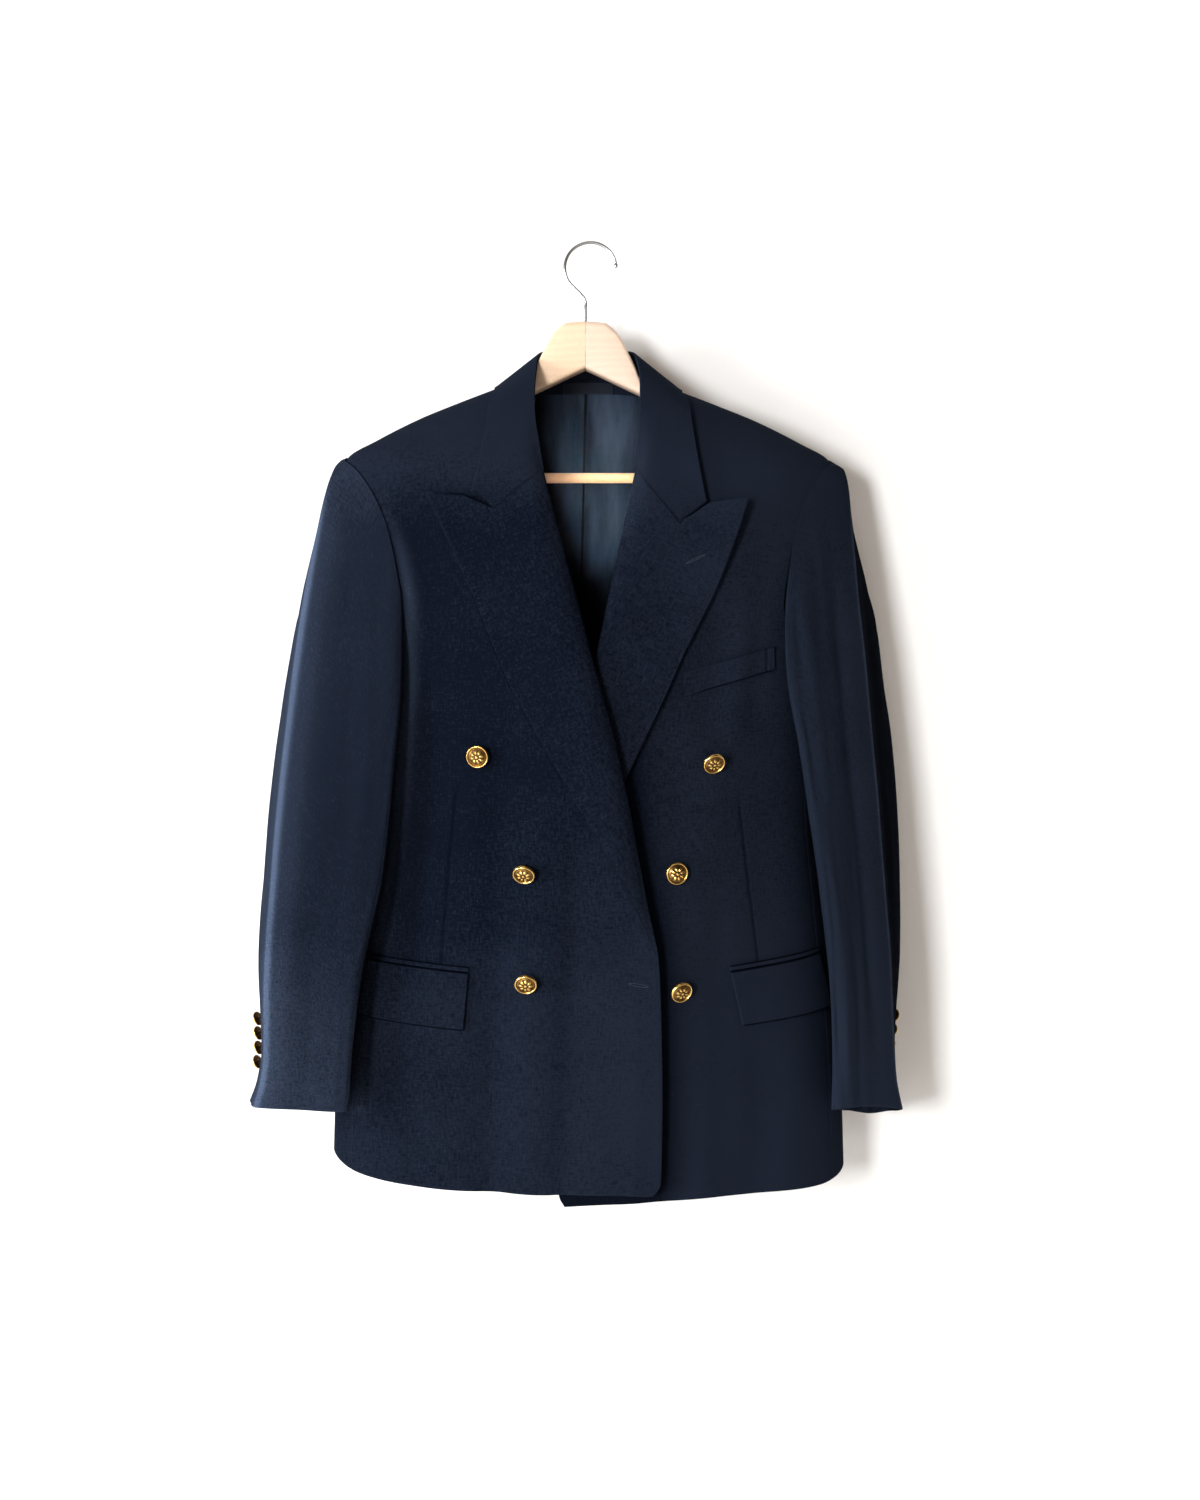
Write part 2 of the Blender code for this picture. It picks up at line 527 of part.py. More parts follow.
# ---------------------------------------------------------------- body pieces
def make_front(side, edge_rows):
    """Rows run from the front edge to the side seam, and above it to the armhole and shoulder."""
    edge_z = np.array([z for z, _ in edge_rows])
    edge_angle = angle_at(np.array([x for _, x in edge_rows]), edge_z)
    neck = FRONT_NECK_ROWS[::-1]
    inner_z = np.concatenate([edge_z, [z for _, z in neck]])
    inner_angle = np.concatenate([edge_angle, [side * math.radians(degrees) for degrees, _ in neck]])
    seam_angle, _ = armhole(side, FRONT_SEAM_TURN)
    hem_z = [HEM_SIDE[side]] + list(SIDE_SEAM_HEIGHTS)
    hole_angle, hole_z = armhole(side, np.array(FRONT_TURNS))
    tip_angle, tip_z = armhole(side, 0.0)
    outer_z = np.concatenate([hem_z, hole_z, [tip_z]])
    outer_angle = np.concatenate([np.full(len(hem_z), seam_angle), hole_angle, [tip_angle]])
    columns = np.linspace(0.0, 1.0, FRONT_COLUMNS)
    angle = spread(inner_angle, outer_angle, columns)
    z = spread(inner_z, outer_z, columns)
    z[0] = blend(inner_z[0], outer_z[0], columns ** HEM_EASE[side])
    lift = front_lift(side, body_point(angle, z)[..., 0], z)
    return body_panel(f"front_{SIDE_NAMES[side]}", angle, z, lift, BODY_WALL, NAVY)


def make_side_body(side):
    top_angle, top_z = armhole(side, np.array(SIDE_TURNS))
    levels = [HEM_SIDE[side]] + list(SIDE_SEAM_HEIGHTS)
    z = np.concatenate([np.repeat(np.array(levels)[:, None], len(top_z), axis=1), [top_z]])
    seam_angle = blend(top_angle[0], top_angle[-1], np.linspace(0.0, 1.0, len(top_z)))
    angle = np.repeat(seam_angle[None, :], len(z), axis=0)
    angle[-1] = top_angle
    return body_panel(f"side_{SIDE_NAMES[side]}", angle, z, np.zeros(z.shape), BODY_WALL, NAVY)


def make_back(side):
    """Rows run from centre back to the side seam, and above it to the armhole and shoulder."""
    seam_angle, _ = armhole(side, BACK_SEAM_TURN)
    hole_angle, hole_z = armhole(side, np.array(BACK_TURNS))
    tip_angle, tip_z = armhole(side, 1.0)
    levels = list(SIDE_SEAM_HEIGHTS)
    outer_z = np.concatenate([[HEM_SIDE[side]], levels, hole_z, [tip_z]])
    outer_angle = np.concatenate([np.full(len(levels) + 1, seam_angle), hole_angle, [tip_angle]])
    neck = BACK_NECK_ROWS[1:]
    above = np.linspace(levels[-1], BACK_NECK_ROWS[0][1], len(outer_z) - len(levels) - len(neck))[1:]
    inner_z = np.concatenate([[HEM_BACK], levels, above, [z for _, z in neck]])
    centre = np.full(len(levels) + 1 + len(above), math.pi)
    inner_angle = side * np.concatenate([centre, [math.radians(degrees) for degrees, _ in neck]])
    columns = np.linspace(0.0, 1.0, BACK_COLUMNS)
    angle = spread(inner_angle, outer_angle, columns)
    z = spread(inner_z, outer_z, columns)
    return body_panel(f"back_{SIDE_NAMES[side]}", angle, z, np.zeros(z.shape), BODY_WALL, NAVY)


def make_lining():
    """The back's lining, with a soft pleat down its middle."""
    reach = math.radians(LINING_REACH)
    angle = math.pi + np.linspace(-reach, reach, 17)
    neck_z = along(BACK_NECK_ROWS[::-1], 1, 180.0 - np.degrees(np.abs(angle - math.pi)))
    share = np.array(LINING_STEPS)
    z = blend(neck_z[None, :] - 0.0008, LINING_FOOT, share[:, None])
    angle = np.repeat(angle[None, :], len(share), axis=0)
    away = np.exp(-((body_point(angle, z)[..., 0] / LINING_PLEAT_REACH) ** 2))
    pleat = LINING_PLEAT * smooth_step(0.03, 0.20, share)[:, None] * away
    slack = LINING_SLACK * smooth_step(0.0, 0.12, share)[:, None]
    lift = -(BODY_WALL + LINING_GAP + slack + pleat)
    return body_panel("back_lining", angle, z, lift, LINING_WALL, LINING)


def make_label():
    x = np.linspace(-LABEL_SIZE[0] / 2, LABEL_SIZE[0] / 2, 7) + LABEL_X
    z = LABEL_TOP - np.linspace(0.0, LABEL_SIZE[1], 3)
    x, z = np.meshgrid(x, z)
    angle = math.pi - angle_at(x, z)
    neck_z = BACK_NECK_ROWS[0][1]
    share = (neck_z - z) / (neck_z - LINING_FOOT)
    slack = LINING_SLACK * smooth_step(0.0, 0.12, share)
    lift = -(BODY_WALL + LINING_GAP + LINING_WALL + LABEL_GAP + slack)
    return body_panel("neck_label", angle, z, lift, LINING_WALL, LABEL)


# ---------------------------------------------------------------- what lies on the fronts
def spaced_round(start_x, end_x, z, columns):
    """Rows of x, evenly spaced round the body, for the given rows of heights."""
    start, end = angle_at(start_x, z[:, 0]), angle_at(end_x, z[:, -1])
    angle = spread(start, end, columns)
    return body_point(angle, z)[..., 0]


def laid_on_front(name, side, x, z, gap, thickness, finish):
    """A wall made from a front's own points, moved out."""
    outer = drawn_in(front_point(side, x, z, gap + thickness), SEAM)
    inner = drawn_in(front_point(side, x, z, gap), SEAM)
    return wall(name, outer, inner, finish)


def make_lapel(side, rows, peak_rows):
    roll_z, roll_x, edge_z, edge_x = (np.array([row[i] for row in rows]) for i in range(4))
    part = np.array(LAPEL_COLUMNS)
    x = spread(roll_x, edge_x, part)
    drop = along(peak_rows, 1, part)
    fade = np.clip(1.0 - np.arange(len(rows)) / PEAK_FADE, 0.0, 1.0) ** 2
    z = spread(roll_z, edge_z, part) - fade[:, None] * drop[None, :]
    from_roll = np.abs(x - roll_x[:, None])
    gap = LAID_GAP + ROLL_RISE * np.exp(-((from_roll / ROLL_REACH) ** 2))
    return laid_on_front(f"lapel_{SIDE_NAMES[side]}", side, x, z, gap, LAPEL_WALL, NAVY)


def make_pocket(side):
    inner_x, inner_z, outer_x, outer_z, deep = POCKET_ROWS[side]
    part = np.linspace(0.0, 1.0, POCKET_COLUMNS)
    top_z = blend(inner_z, outer_z, part)
    name = SIDE_NAMES[side]
    z = top_z[None, :] - np.array([0.0, JET_DEEP])[:, None]
    x = spaced_round(inner_x, outer_x, z, part)
    laid_on_front(f"pocket_jet_{name}", side, x, z, np.full(x.shape, POCKET_GAP), WELT_WALL, NAVY)
    down = np.linspace(0.0, deep, 4)
    lean = FLAP_LEAN[side] * down / deep
    z = top_z[None, :] - JET_DEEP - down[:, None]
    x = spaced_round(inner_x + lean, outer_x + lean, z, part)
    laid_on_front(f"pocket_flap_{name}", side, x, z, np.full(x.shape, POCKET_GAP), FLAP_WALL, NAVY)


def make_chest_welt():
    start_x, start_z, end_x, end_z = WELT_BOTTOM
    part = np.linspace(0.0, 1.0, 6)
    up = np.linspace(0.0, WELT_DEEP, 3)
    x = np.repeat(blend(start_x, end_x, part)[None, :], 3, axis=0)
    z = blend(start_z, end_z, part)[None, :] + up[:, None]
    laid_on_front("chest_welt", LEFT, x, z, np.full(x.shape, LAID_GAP), WELT_WALL, NAVY)


# ---------------------------------------------------------------- collar
def through(points, steps):
    """Smooth curves through rows of points: points has shape (points, ..., 3)."""
    slope = np.gradient(points, axis=0)
    slope[0], slope[-1] = points[1] - points[0], points[-1] - points[-2]
    shaped = []
    for step in steps:
        k = min(int(step), len(points) - 2)
        t = step - k
        start = points[k] * (1 + 2 * t) * (1 - t) ** 2 + points[k + 1] * t * t * (3 - 2 * t)
        shaped.append(start + slope[k] * t * (1 - t) ** 2 - slope[k + 1] * t * t * (1 - t))
    return np.array(shaped)


def collar_half(side):
    """Neck seam, fold and edge from the gorge to centre back, and the fall's middle."""
    rows = COLLAR_FRONT_ROWS[side]
    seam_z = np.array([row[1] for row in rows] + [row[1] for row in COLLAR_BACK_ROWS])
    edge_z = np.array([row[6] for row in rows] + [row[6] for row in COLLAR_BACK_ROWS])
    seam_x = np.array([side * row[0] for row in rows])
    edge_x = np.array([side * row[5] for row in rows])
    behind_seam = np.radians([side * row[0] for row in COLLAR_BACK_ROWS])
    behind_edge = np.radians([side * row[5] for row in COLLAR_BACK_ROWS])
    seam_angle = np.concatenate([angle_at(seam_x, seam_z[:len(rows)]), behind_seam])
    edge_angle = np.concatenate([angle_at(edge_x, edge_z[:len(rows)]), behind_edge])
    fold = np.array([(side * row[2], row[3], row[4]) for row in rows + COLLAR_BACK_ROWS])
    lift = COLLAR_GAP + COLLAR_WALL / 2

    def above(angle, z, height):
        height = height + np.where(np.cos(angle) > 0.0, fold_relief(body_point(angle, z)[..., 0], z), 0.0)
        return body_point(angle, z) + body_normal(angle, z) * height[..., None]

    seam = above(seam_angle, seam_z, lift)
    edge = above(edge_angle, edge_z, lift)
    middle_angle = blend(seam_angle, edge_angle, COLLAR_MIDDLE)
    middle_z = blend(seam_z, edge_z, COLLAR_MIDDLE)
    middle = above(middle_angle, middle_z, lift + COLLAR_SWELL)
    middle[0] = above(middle_angle[:1], middle_z[:1], lift + COLLAR_END_SWELL)
    stand = blend(seam, fold, 0.5)
    return np.array([seam, stand, fold, middle, edge])


def make_collar():
    right, left = collar_half(RIGHT), collar_half(LEFT)
    points = np.concatenate([right, left[:, -2::-1]], axis=1)
    last = points.shape[1] - 1
    corner = list(range(COLLAR_CORNER))
    stations = corner + list(np.arange(COLLAR_CORNER, last - COLLAR_CORNER + 0.1, 0.5))
    stations += [last - step for step in reversed(corner)]
    points = np.moveaxis(through(np.moveaxis(points, 1, 0), stations), 0, 1)
    centre = through(points, COLLAR_STEPS)
    outward = grid_normals(centre)
    outer = drawn_in(centre + outward * COLLAR_WALL / 2, SEAM)
    inner = drawn_in(centre - outward * COLLAR_WALL / 2, SEAM)
    return wall("collar", outer, inner, NAVY)


# ---------------------------------------------------------------- sleeves
def sleeve_ring(side, turn, z):
    """x (outward) and y of a sleeve's outline at a height, round its four soft corners."""
    rows = SLEEVE_ROWS[side]
    ridge, front, inside, back = (
        np.stack([along(rows, column, z), along(rows, column + 1, z)], axis=-1)
        for column in (3, 1, 7, 5)
    )
    centre = (ridge + front + inside + back) / 4

    def between(a, b, swell):
        middle = (a + b) / 2
        return middle + unit(middle - centre) * swell

    corners = np.array([
        ridge, between(ridge, front, SLEEVE_SWELL[0]), front, between(front, inside, SLEEVE_SWELL[1]),
        inside, between(inside, back, SLEEVE_SWELL[2]), back, between(back, ridge, SLEEVE_SWELL[3]),
    ])
    turns = np.array(SLEEVE_CORNER_TURNS)
    count = len(turns)
    turn = np.asarray(turn) % 1.0
    k = np.searchsorted(turns, turn, side="right") - 1
    span = (np.roll(turns, -1) - turns) % 1.0
    t = ((turn - turns[k]) / span[k])[..., None]
    slope = (np.roll(corners, -1, axis=0) - np.roll(corners, 1, axis=0))
    slope = slope / (span + np.roll(span, 1)).reshape(-1, *([1] * (corners.ndim - 1)))

    def pick(array, index):
        index = np.broadcast_to(index % count, array.shape[1:-1])
        return np.take_along_axis(array, index[None, ..., None], axis=0)[0]

    here, there = pick(corners, k), pick(corners, k + 1)
    out_here, out_there = pick(slope, k), pick(slope, k + 1)
    length = span[k][..., None]
    start = here * (1 + 2 * t) * (1 - t) ** 2 + there * t * t * (3 - 2 * t)
    return start + length * (out_here * t * (1 - t) ** 2 - out_there * t * t * (1 - t))


def sleeve_point(side, turn, down):
    """Points of a sleeve's lining face; down runs from 0 at the armhole to 1 at the cuff."""
    turn, down = np.broadcast_arrays(np.asarray(turn, dtype=float), np.asarray(down, dtype=float))
    angle, hole_z = armhole(side, turn % 1.0)
    stand = SLEEVE_STAND * smooth_step(0.15, 0.35, turn % 1.0) * (1.0 - smooth_step(0.75, 0.90, turn % 1.0))
    hole = body_point(angle, hole_z) + body_normal(angle, hole_z) * stand[..., None]
    back_share = 0.5 - 0.5 * np.cos(2.0 * math.pi * (turn - 0.20))
    cuff_z = blend(CUFF_FRONT[side], CUFF_BACK[side], back_share)
    z = blend(hole_z, cuff_z, down)
    near = np.clip((hole_z - z) / CAP_BLEND, 0.0, 1.0)
    keep = ((1.0 - near) ** 2)[..., None]
    flat = sleeve_ring(side, turn, z)
    start = sleeve_ring(side, turn, hole_z)
    plan = flat + (np.stack([side * hole[..., 0], hole[..., 1]], axis=-1) - start) * keep
    z = z + (hole[..., 2] - hole_z) * keep[..., 0]
    return np.stack([side * plan[..., 0], plan[..., 1], z], axis=-1)


def sleeve_normal(side, turn, down):
    """Outward from the sleeve; the same on both sides of a seam."""
    step = 0.01
    round_it = sleeve_point(side, turn + step, down) - sleeve_point(side, turn - step, down)
    above, below = np.clip(down - step, 0.0, 1.0), np.clip(down + step, 0.0, 1.0)
    down_it = sleeve_point(side, turn, below) - sleeve_point(side, turn, above)
    return unit(np.cross(round_it, down_it)) * side


def make_sleeve_piece(name, side, turns):
    turn, down = np.meshgrid(np.array(turns), np.array(SLEEVE_STEPS))
    inner = sleeve_point(side, turn, down)
    outer = inner + sleeve_normal(side, turn, down) * SLEEVE_WALL
    return wall(f"{name}_{SIDE_NAMES[side]}", drawn_in(outer, SEAM), drawn_in(inner, SEAM), NAVY)


# ---------------------------------------------------------------- buttons
def turned(name, profile, sides, place, finish):
    """A solid turned from (radius, height) pairs that start on the axis."""
    points = [Vector((0.0, 0.0, profile[0][1]))]
    for radius, height in profile[1:]:
        for i in range(sides):
            around = 2.0 * math.pi * i / sides
            points.append(Vector((radius * math.cos(around), radius * math.sin(around), height)))
    points.append(Vector((0.0, 0.0, profile[-1][1])))
    last = len(points) - 1
    faces = []
    for i in range(sides):
        j = (i + 1) % sides
        faces.append((0, 1 + i, 1 + j))
        for ring in range(len(profile) - 2):
            a, b = 1 + ring * sides, 1 + (ring + 1) * sides
            faces.append((a + i, b + i, b + j, a + j))
        foot = 1 + (len(profile) - 2) * sides
        faces.append((foot + i, last, foot + j))
    return mesh_object(name, [place @ point for point in points], faces, finish, smooth_angle=35.0)


def facing(direction, tilt, turn):
    """A turn that takes +Z to a direction, then tilts it down and turns it to +X (degrees)."""
    level = Vector((direction[0], direction[1], 0.0)).normalized()
    level = Matrix.Rotation(math.radians(turn), 3, "Z") @ level
    sideways = level.cross(Vector((0.0, 0.0, 1.0)))
    axis = Matrix.Rotation(-math.radians(tilt), 3, sideways) @ level
    return axis.to_track_quat("Z", "Y").to_matrix().to_4x4()


def make_button(name, anchor, direction, radius, stand, gap, tilt, turn):
    """A domed button on a shank; its lower rim rests near the cloth when it tilts down."""
    lean = math.radians(tilt)
    stand = (math.sin(lean) + stand) * radius
    centre = Vector(anchor) + Vector(direction).normalized() * stand
    shank = (stand - gap) / math.cos(lean) - 0.14 * radius * math.tan(lean)
    profile = [(r * radius, h * radius) for r, h in BUTTON_PROFILE]
    profile.append((0.14 * radius, -shank))
    place = Matrix.Translation(centre) @ facing(direction, tilt, turn)
    return turned(name, profile, BUTTON_SIDES, place, GILT)


def make_front_buttons():
    for suffix, side, x, z, tilt, turn in FRONT_BUTTONS:
        x, z = np.array([x]), np.array([z])
        anchor = front_point(side, x, z, 0.0)[0]
        direction = body_normal(angle_at(x, z), z)[0]
        name, size = f"button_{suffix}", BUTTON_RADIUS
        make_button(name, anchor, direction, size, FRONT_STAND, FRONT_SHANK_GAP, tilt, turn)


def make_cuff_buttons(side):
    turn = CUFF_BUTTON_TURN[side]
    _, hole_z = armhole(side, turn)
    for number, height in enumerate(CUFF_BUTTON_HEIGHTS, start=1):
        down = (hole_z - height) / (hole_z - CUFF_BACK[side])
        outward = sleeve_normal(side, turn, down)
        here = sleeve_point(side, turn, down) + outward * SLEEVE_WALL
        direction = (outward[0], outward[1], 0.0)
        name = f"cuff_button_{SIDE_NAMES[side]}_{number}"
        size, tilt = CUFF_BUTTON_RADIUS, CUFF_BUTTON_TILT
        make_button(name, here, direction, size, CUFF_STAND, CUFF_SHANK_GAP[side], tilt, 0.0)


# ---------------------------------------------------------------- hanger
def roof(x, y):
    """Height of the body's form over a place."""
    low, high = ROOF_RANGE
    for _ in range(40):
        z = (low + high) / 2
        half, front, side, back = (float(along(BODY_ROWS, column, z)) for column in (1, 2, 3, 4))
        reach = side - front if y < side else back - side
        if (abs(x - BODY_X) / half) ** ROUNDNESS + (abs(y - side) / reach) ** ROUNDNESS > 1.0:
            high = z
        else:
            low = z
    return low - float(left_drop(x, low))


def under_roof(x, y, depth):
    """Height of a point this deep under the form's face."""
    step = 0.002
    slope_x = (roof(x + step, y) - roof(x - step, y)) / (2 * step)
    slope_y = (roof(x, y + step) - roof(x, y - step)) / (2 * step)
    return roof(x, y) - depth * math.sqrt(1.0 + slope_x**2 + slope_y**2)


def make_arm(side):
    """Half of the hanger: rounded sections from the middle joint to the tip."""
    sections = []
    for x, top, bottom, y, thickness in ARM_ROWS:
        x = HEAD_X + side * max(x, SEAM / 2)
        ring = []
        for part, drop in ARM_TOP:
            across = y + part * thickness / 2
            level = top - drop
            if top > -ARM_CHAMFER:
                level = under_roof(x, across, BODY_WALL + REST_GAP) - drop
            ring.append((x, across, level))
        for part, rise in ARM_FOOT:
            ring.append((x, y + part * thickness / 2, bottom + rise))
        sections.append(ring)
    count = len(sections[0])
    faces = [tuple(range(count)), tuple((len(sections) - 1) * count + i for i in range(count))[::-1]]
    for k in range(len(sections) - 1):
        for i in range(count):
            j = (i + 1) % count
            faces.append((k * count + i, k * count + j, (k + 1) * count + j, (k + 1) * count + i))
    points = [point for section in sections for point in section]
    arm = mesh_object(f"hanger_arm_{SIDE_NAMES[side]}", points, faces, MAPLE, smooth_angle=30.0)
    hole = bpy.data.objects.get("hook_hole") or make_hook_hole()
    cut = arm.modifiers.new("hook_hole", "BOOLEAN")
    cut.operation = "DIFFERENCE"
    cut.solver = "EXACT"
    cut.object = hole
    return arm


def make_hook_hole():
    """The cutter for the hook's socket in the two halves."""
    top = ARM_ROWS[0][1]
    radius = HOOK_WIRE + HOOK_SLACK
    build = bmesh.new()
    bmesh.ops.create_cone(
        build, cap_ends=True, segments=12, radius1=radius, radius2=radius, depth=2.0 * HOOK_SOCKET
    )
    mesh = bpy.data.meshes.new("hook_hole")
    build.to_mesh(mesh)
    build.free()
    hole = bpy.data.objects.new("hook_hole", mesh)
    hole.location = (HEAD_X, HOOK_Y, top)
    hole.hide_render = True
    hole.display_type = "WIRE"
    bpy.context.scene.collection.objects.link(hole)
    return hole


def hook_route():
    """The wire's middle from the stem's foot, round the loop to its free end."""
    foot = ARM_ROWS[0][1] - HOOK_SOCKET + 0.0005
    centre_z = HOOK_WIRE - HOOK_LOOP
    points = [Vector((HEAD_X, HOOK_Y, foot)), Vector((HEAD_X, HOOK_Y, HOOK_BEND_Z))]
    points += [Vector((x, HOOK_Y, z)) for x, z in HOOK_NECK]
    for i in range(HOOK_STEPS + 1):
        around = math.radians(blend(HOOK_START_ANGLE, HOOK_TIP_ANGLE, i / HOOK_STEPS))
        x = HOOK_LOOP_X + HOOK_LOOP * math.cos(around)
        points.append(Vector((x, HOOK_Y, centre_z + HOOK_LOOP * math.sin(around))))
    return points


def make_hook():
    curve = bpy.data.curves.new("hanger_hook", "CURVE")
    curve.dimensions = "3D"
    curve.bevel_depth = HOOK_WIRE
    curve.bevel_resolution = 2
    curve.use_fill_caps = True
    spline = curve.splines.new("POLY")
    route = hook_route()
    spline.points.add(len(route) - 1)
    for point, place in zip(spline.points, route):
        point.co = (*place, 1.0)
    hook = bpy.data.objects.new("hanger_hook", curve)
    curve.materials.append(plain_material("hanger_hook", *CHROME))
    bpy.context.scene.collection.objects.link(hook)
    return hook


def make_bar():
    """The trouser bar, between the two lugs of the arms."""
    points, faces = [], []
    for end in (-1, 1):
        for i in range(BAR_SIDES):
            around = 2.0 * math.pi * i / BAR_SIDES
            y, z = BAR_Y + BAR_RADIUS * math.cos(around), BAR_HEIGHT + BAR_RADIUS * math.sin(around)
            points.append((HEAD_X + end * BAR_HALF, y, z))
    for i in range(BAR_SIDES):
        j = (i + 1) % BAR_SIDES
        faces.append((i, j, BAR_SIDES + j, BAR_SIDES + i))
    faces.append(tuple(range(BAR_SIDES)))
    faces.append(tuple(range(BAR_SIDES, 2 * BAR_SIDES))[::-1])
    return mesh_object("hanger_bar", points, faces, MAPLE)


def clear_scene():
    for item in list(bpy.data.objects):
        bpy.data.objects.remove(item, do_unlink=True)


def main():
    clear_scene()
    for side, edge_rows, lapel_rows, peak_rows in (
        (RIGHT, RIGHT_FRONT_EDGE, RIGHT_LAPEL_ROWS, RIGHT_PEAK_ROWS),
        (LEFT, LEFT_FRONT_EDGE, LEFT_LAPEL_ROWS, LEFT_PEAK_ROWS),
    ):
        make_front(side, edge_rows)
        make_side_body(side)
        make_back(side)
        make_lapel(side, lapel_rows, peak_rows)
        make_pocket(side)
        make_sleeve_piece("top_sleeve", side, TOP_SLEEVE_TURNS)
        make_sleeve_piece("under_sleeve", side, UNDER_SLEEVE_TURNS)
        make_cuff_buttons(side)
        make_arm(side)
    make_chest_welt()
    make_collar()
    make_lining()
    make_label()
    make_front_buttons()
    make_bar()
    make_hook()


main()
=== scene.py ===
"""The looks of a double-breasted blazer on a wooden hanger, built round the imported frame.

Metres, +Z up, the jacket's front faces -Y. Right and left are the wearer's: side is -1 at -X and +1
at +X. Every cloth piece is a closed wall whose edges are turned round, on the same form as its node.
"""
import json
import math

import bmesh
import bpy
import numpy as np
from mathutils import Matrix, Vector

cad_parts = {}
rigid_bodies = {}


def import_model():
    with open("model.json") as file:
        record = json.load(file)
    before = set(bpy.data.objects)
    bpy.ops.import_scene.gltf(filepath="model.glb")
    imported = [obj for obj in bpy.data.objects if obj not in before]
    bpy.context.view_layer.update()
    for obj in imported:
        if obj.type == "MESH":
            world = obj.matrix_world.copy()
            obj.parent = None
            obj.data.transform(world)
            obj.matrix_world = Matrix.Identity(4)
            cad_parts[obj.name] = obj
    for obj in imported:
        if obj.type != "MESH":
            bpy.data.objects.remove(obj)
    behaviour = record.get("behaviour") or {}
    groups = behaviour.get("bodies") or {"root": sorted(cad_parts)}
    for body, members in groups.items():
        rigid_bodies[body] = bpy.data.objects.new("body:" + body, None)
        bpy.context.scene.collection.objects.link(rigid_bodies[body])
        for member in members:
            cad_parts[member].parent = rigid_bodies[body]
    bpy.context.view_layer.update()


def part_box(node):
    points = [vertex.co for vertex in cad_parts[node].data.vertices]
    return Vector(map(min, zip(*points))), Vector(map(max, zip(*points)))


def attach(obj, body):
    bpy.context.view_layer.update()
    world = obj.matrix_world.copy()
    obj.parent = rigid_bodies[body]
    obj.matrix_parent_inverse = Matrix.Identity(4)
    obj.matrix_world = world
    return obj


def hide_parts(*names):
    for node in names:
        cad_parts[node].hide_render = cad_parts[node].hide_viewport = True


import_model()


# ---- driving sizes
SEAM = 0.0006  # gap between two pieces that a seam joins
BODY_WALL = 0.002  # fronts, side bodies and backs: cloth, canvas and lining
SLEEVE_WALL = 0.0018
LAPEL_WALL = 0.0026  # two layers of cloth with the canvas between them
COLLAR_WALL = 0.0024
LINING_WALL = 0.001
FLAP_WALL = 0.0022
WELT_WALL = 0.0018
LAID_GAP = 0.0011  # between a panel and what lies on it
ROUNDNESS = 2.4  # exponent of the body's rounded-oblong level sections
BODY_X = 0.0015  # the body's middle
LEFT, RIGHT = 1, -1
SIDE_NAMES = {RIGHT: "right", LEFT: "left"}

# The hem of the fronts and the front halves of the sides: x, height
HEM_ROWS = {
    RIGHT: [
        (-0.261, -0.895), (-0.256, -0.899), (-0.25, -0.904), (-0.242, -0.9095), (-0.23, -0.915),
        (-0.212, -0.9195), (-0.174, -0.9246), (-0.132, -0.9273), (-0.09, -0.9284), (-0.04, -0.9286),
        (0.03, -0.9285), (0.063, -0.93),
    ],
    LEFT: [
        (-0.021, -0.944), (-0.008, -0.9422), (0.0485, -0.9389), (0.111, -0.9346), (0.167, -0.9326),
        (0.208, -0.9308), (0.23, -0.9285), (0.243, -0.925), (0.252, -0.92), (0.26, -0.912),
    ],
}
LEFT_DROP = 0.003  # the left shoulder hangs this much lower
LEFT_DROP_X, LEFT_DROP_Z = (0.02, 0.09), (-0.45, -0.26)  # where the drop comes in
HEM_BACK, HEM_BEHIND = -0.918, -0.913  # at centre back and at the seams of the back
HEM_LEVEL = -0.91  # height at which the hem's x are taken
HEM_TURNS = (88.0, 112.0)  # degrees between which the front's hem runs into the back's

# The body's form, a row for each level: height, half width, then y at the front, side and back
BODY_ROWS = [
    (-0.12, 0.035, -0.017, 0.015, 0.051), (-0.134, 0.069, -0.027, 0.012, 0.053),
    (-0.1444, 0.094, -0.037, 0.01, 0.055), (-0.158, 0.1275, -0.049, 0.006, 0.058),
    (-0.1755, 0.1685, -0.061, 0.001, 0.06), (-0.197, 0.2095, -0.072, -0.004, 0.062),
    (-0.2144, 0.238, -0.079, -0.007, 0.063), (-0.23, 0.2445, -0.084, -0.007, 0.065),
    (-0.3, 0.243, -0.097, -0.001, 0.067), (-0.36, 0.236, -0.103, 0.004, 0.066),
    (-0.43, 0.229, -0.105, 0.009, 0.064), (-0.55, 0.2265, -0.101, 0.014, 0.06),
    (-0.68, 0.2385, -0.093, 0.017, 0.057), (-0.8, 0.2515, -0.087, 0.02, 0.057),
    (-0.95, 0.256, -0.081, 0.022, 0.059),
]

# The armhole, from the shoulder tip over the front to the underarm and up the back:
# turn, angle round the body, height
ARMHOLE_ROWS = [
    (0.0, 90.0, -0.2144), (0.05, 68.0, -0.226), (0.1, 58.0, -0.246), (0.17, 50.5, -0.28),
    (0.24, 46.8, -0.32), (0.3, 46.0, -0.358), (0.35, 51.0, -0.39), (0.4, 64.0, -0.415),
    (0.47, 84.0, -0.428), (0.53, 100.0, -0.428), (0.6, 118.0, -0.414), (0.66, 129.0, -0.385),
    (0.73, 136.0, -0.345), (0.8, 137.0, -0.305), (0.87, 131.0, -0.268), (0.94, 113.0, -0.234),
    (1.0, 90.0, -0.2144),
]
LEFT_ARMHOLE_SHIFT = 4.0  # the left armhole's front lies this many degrees further round
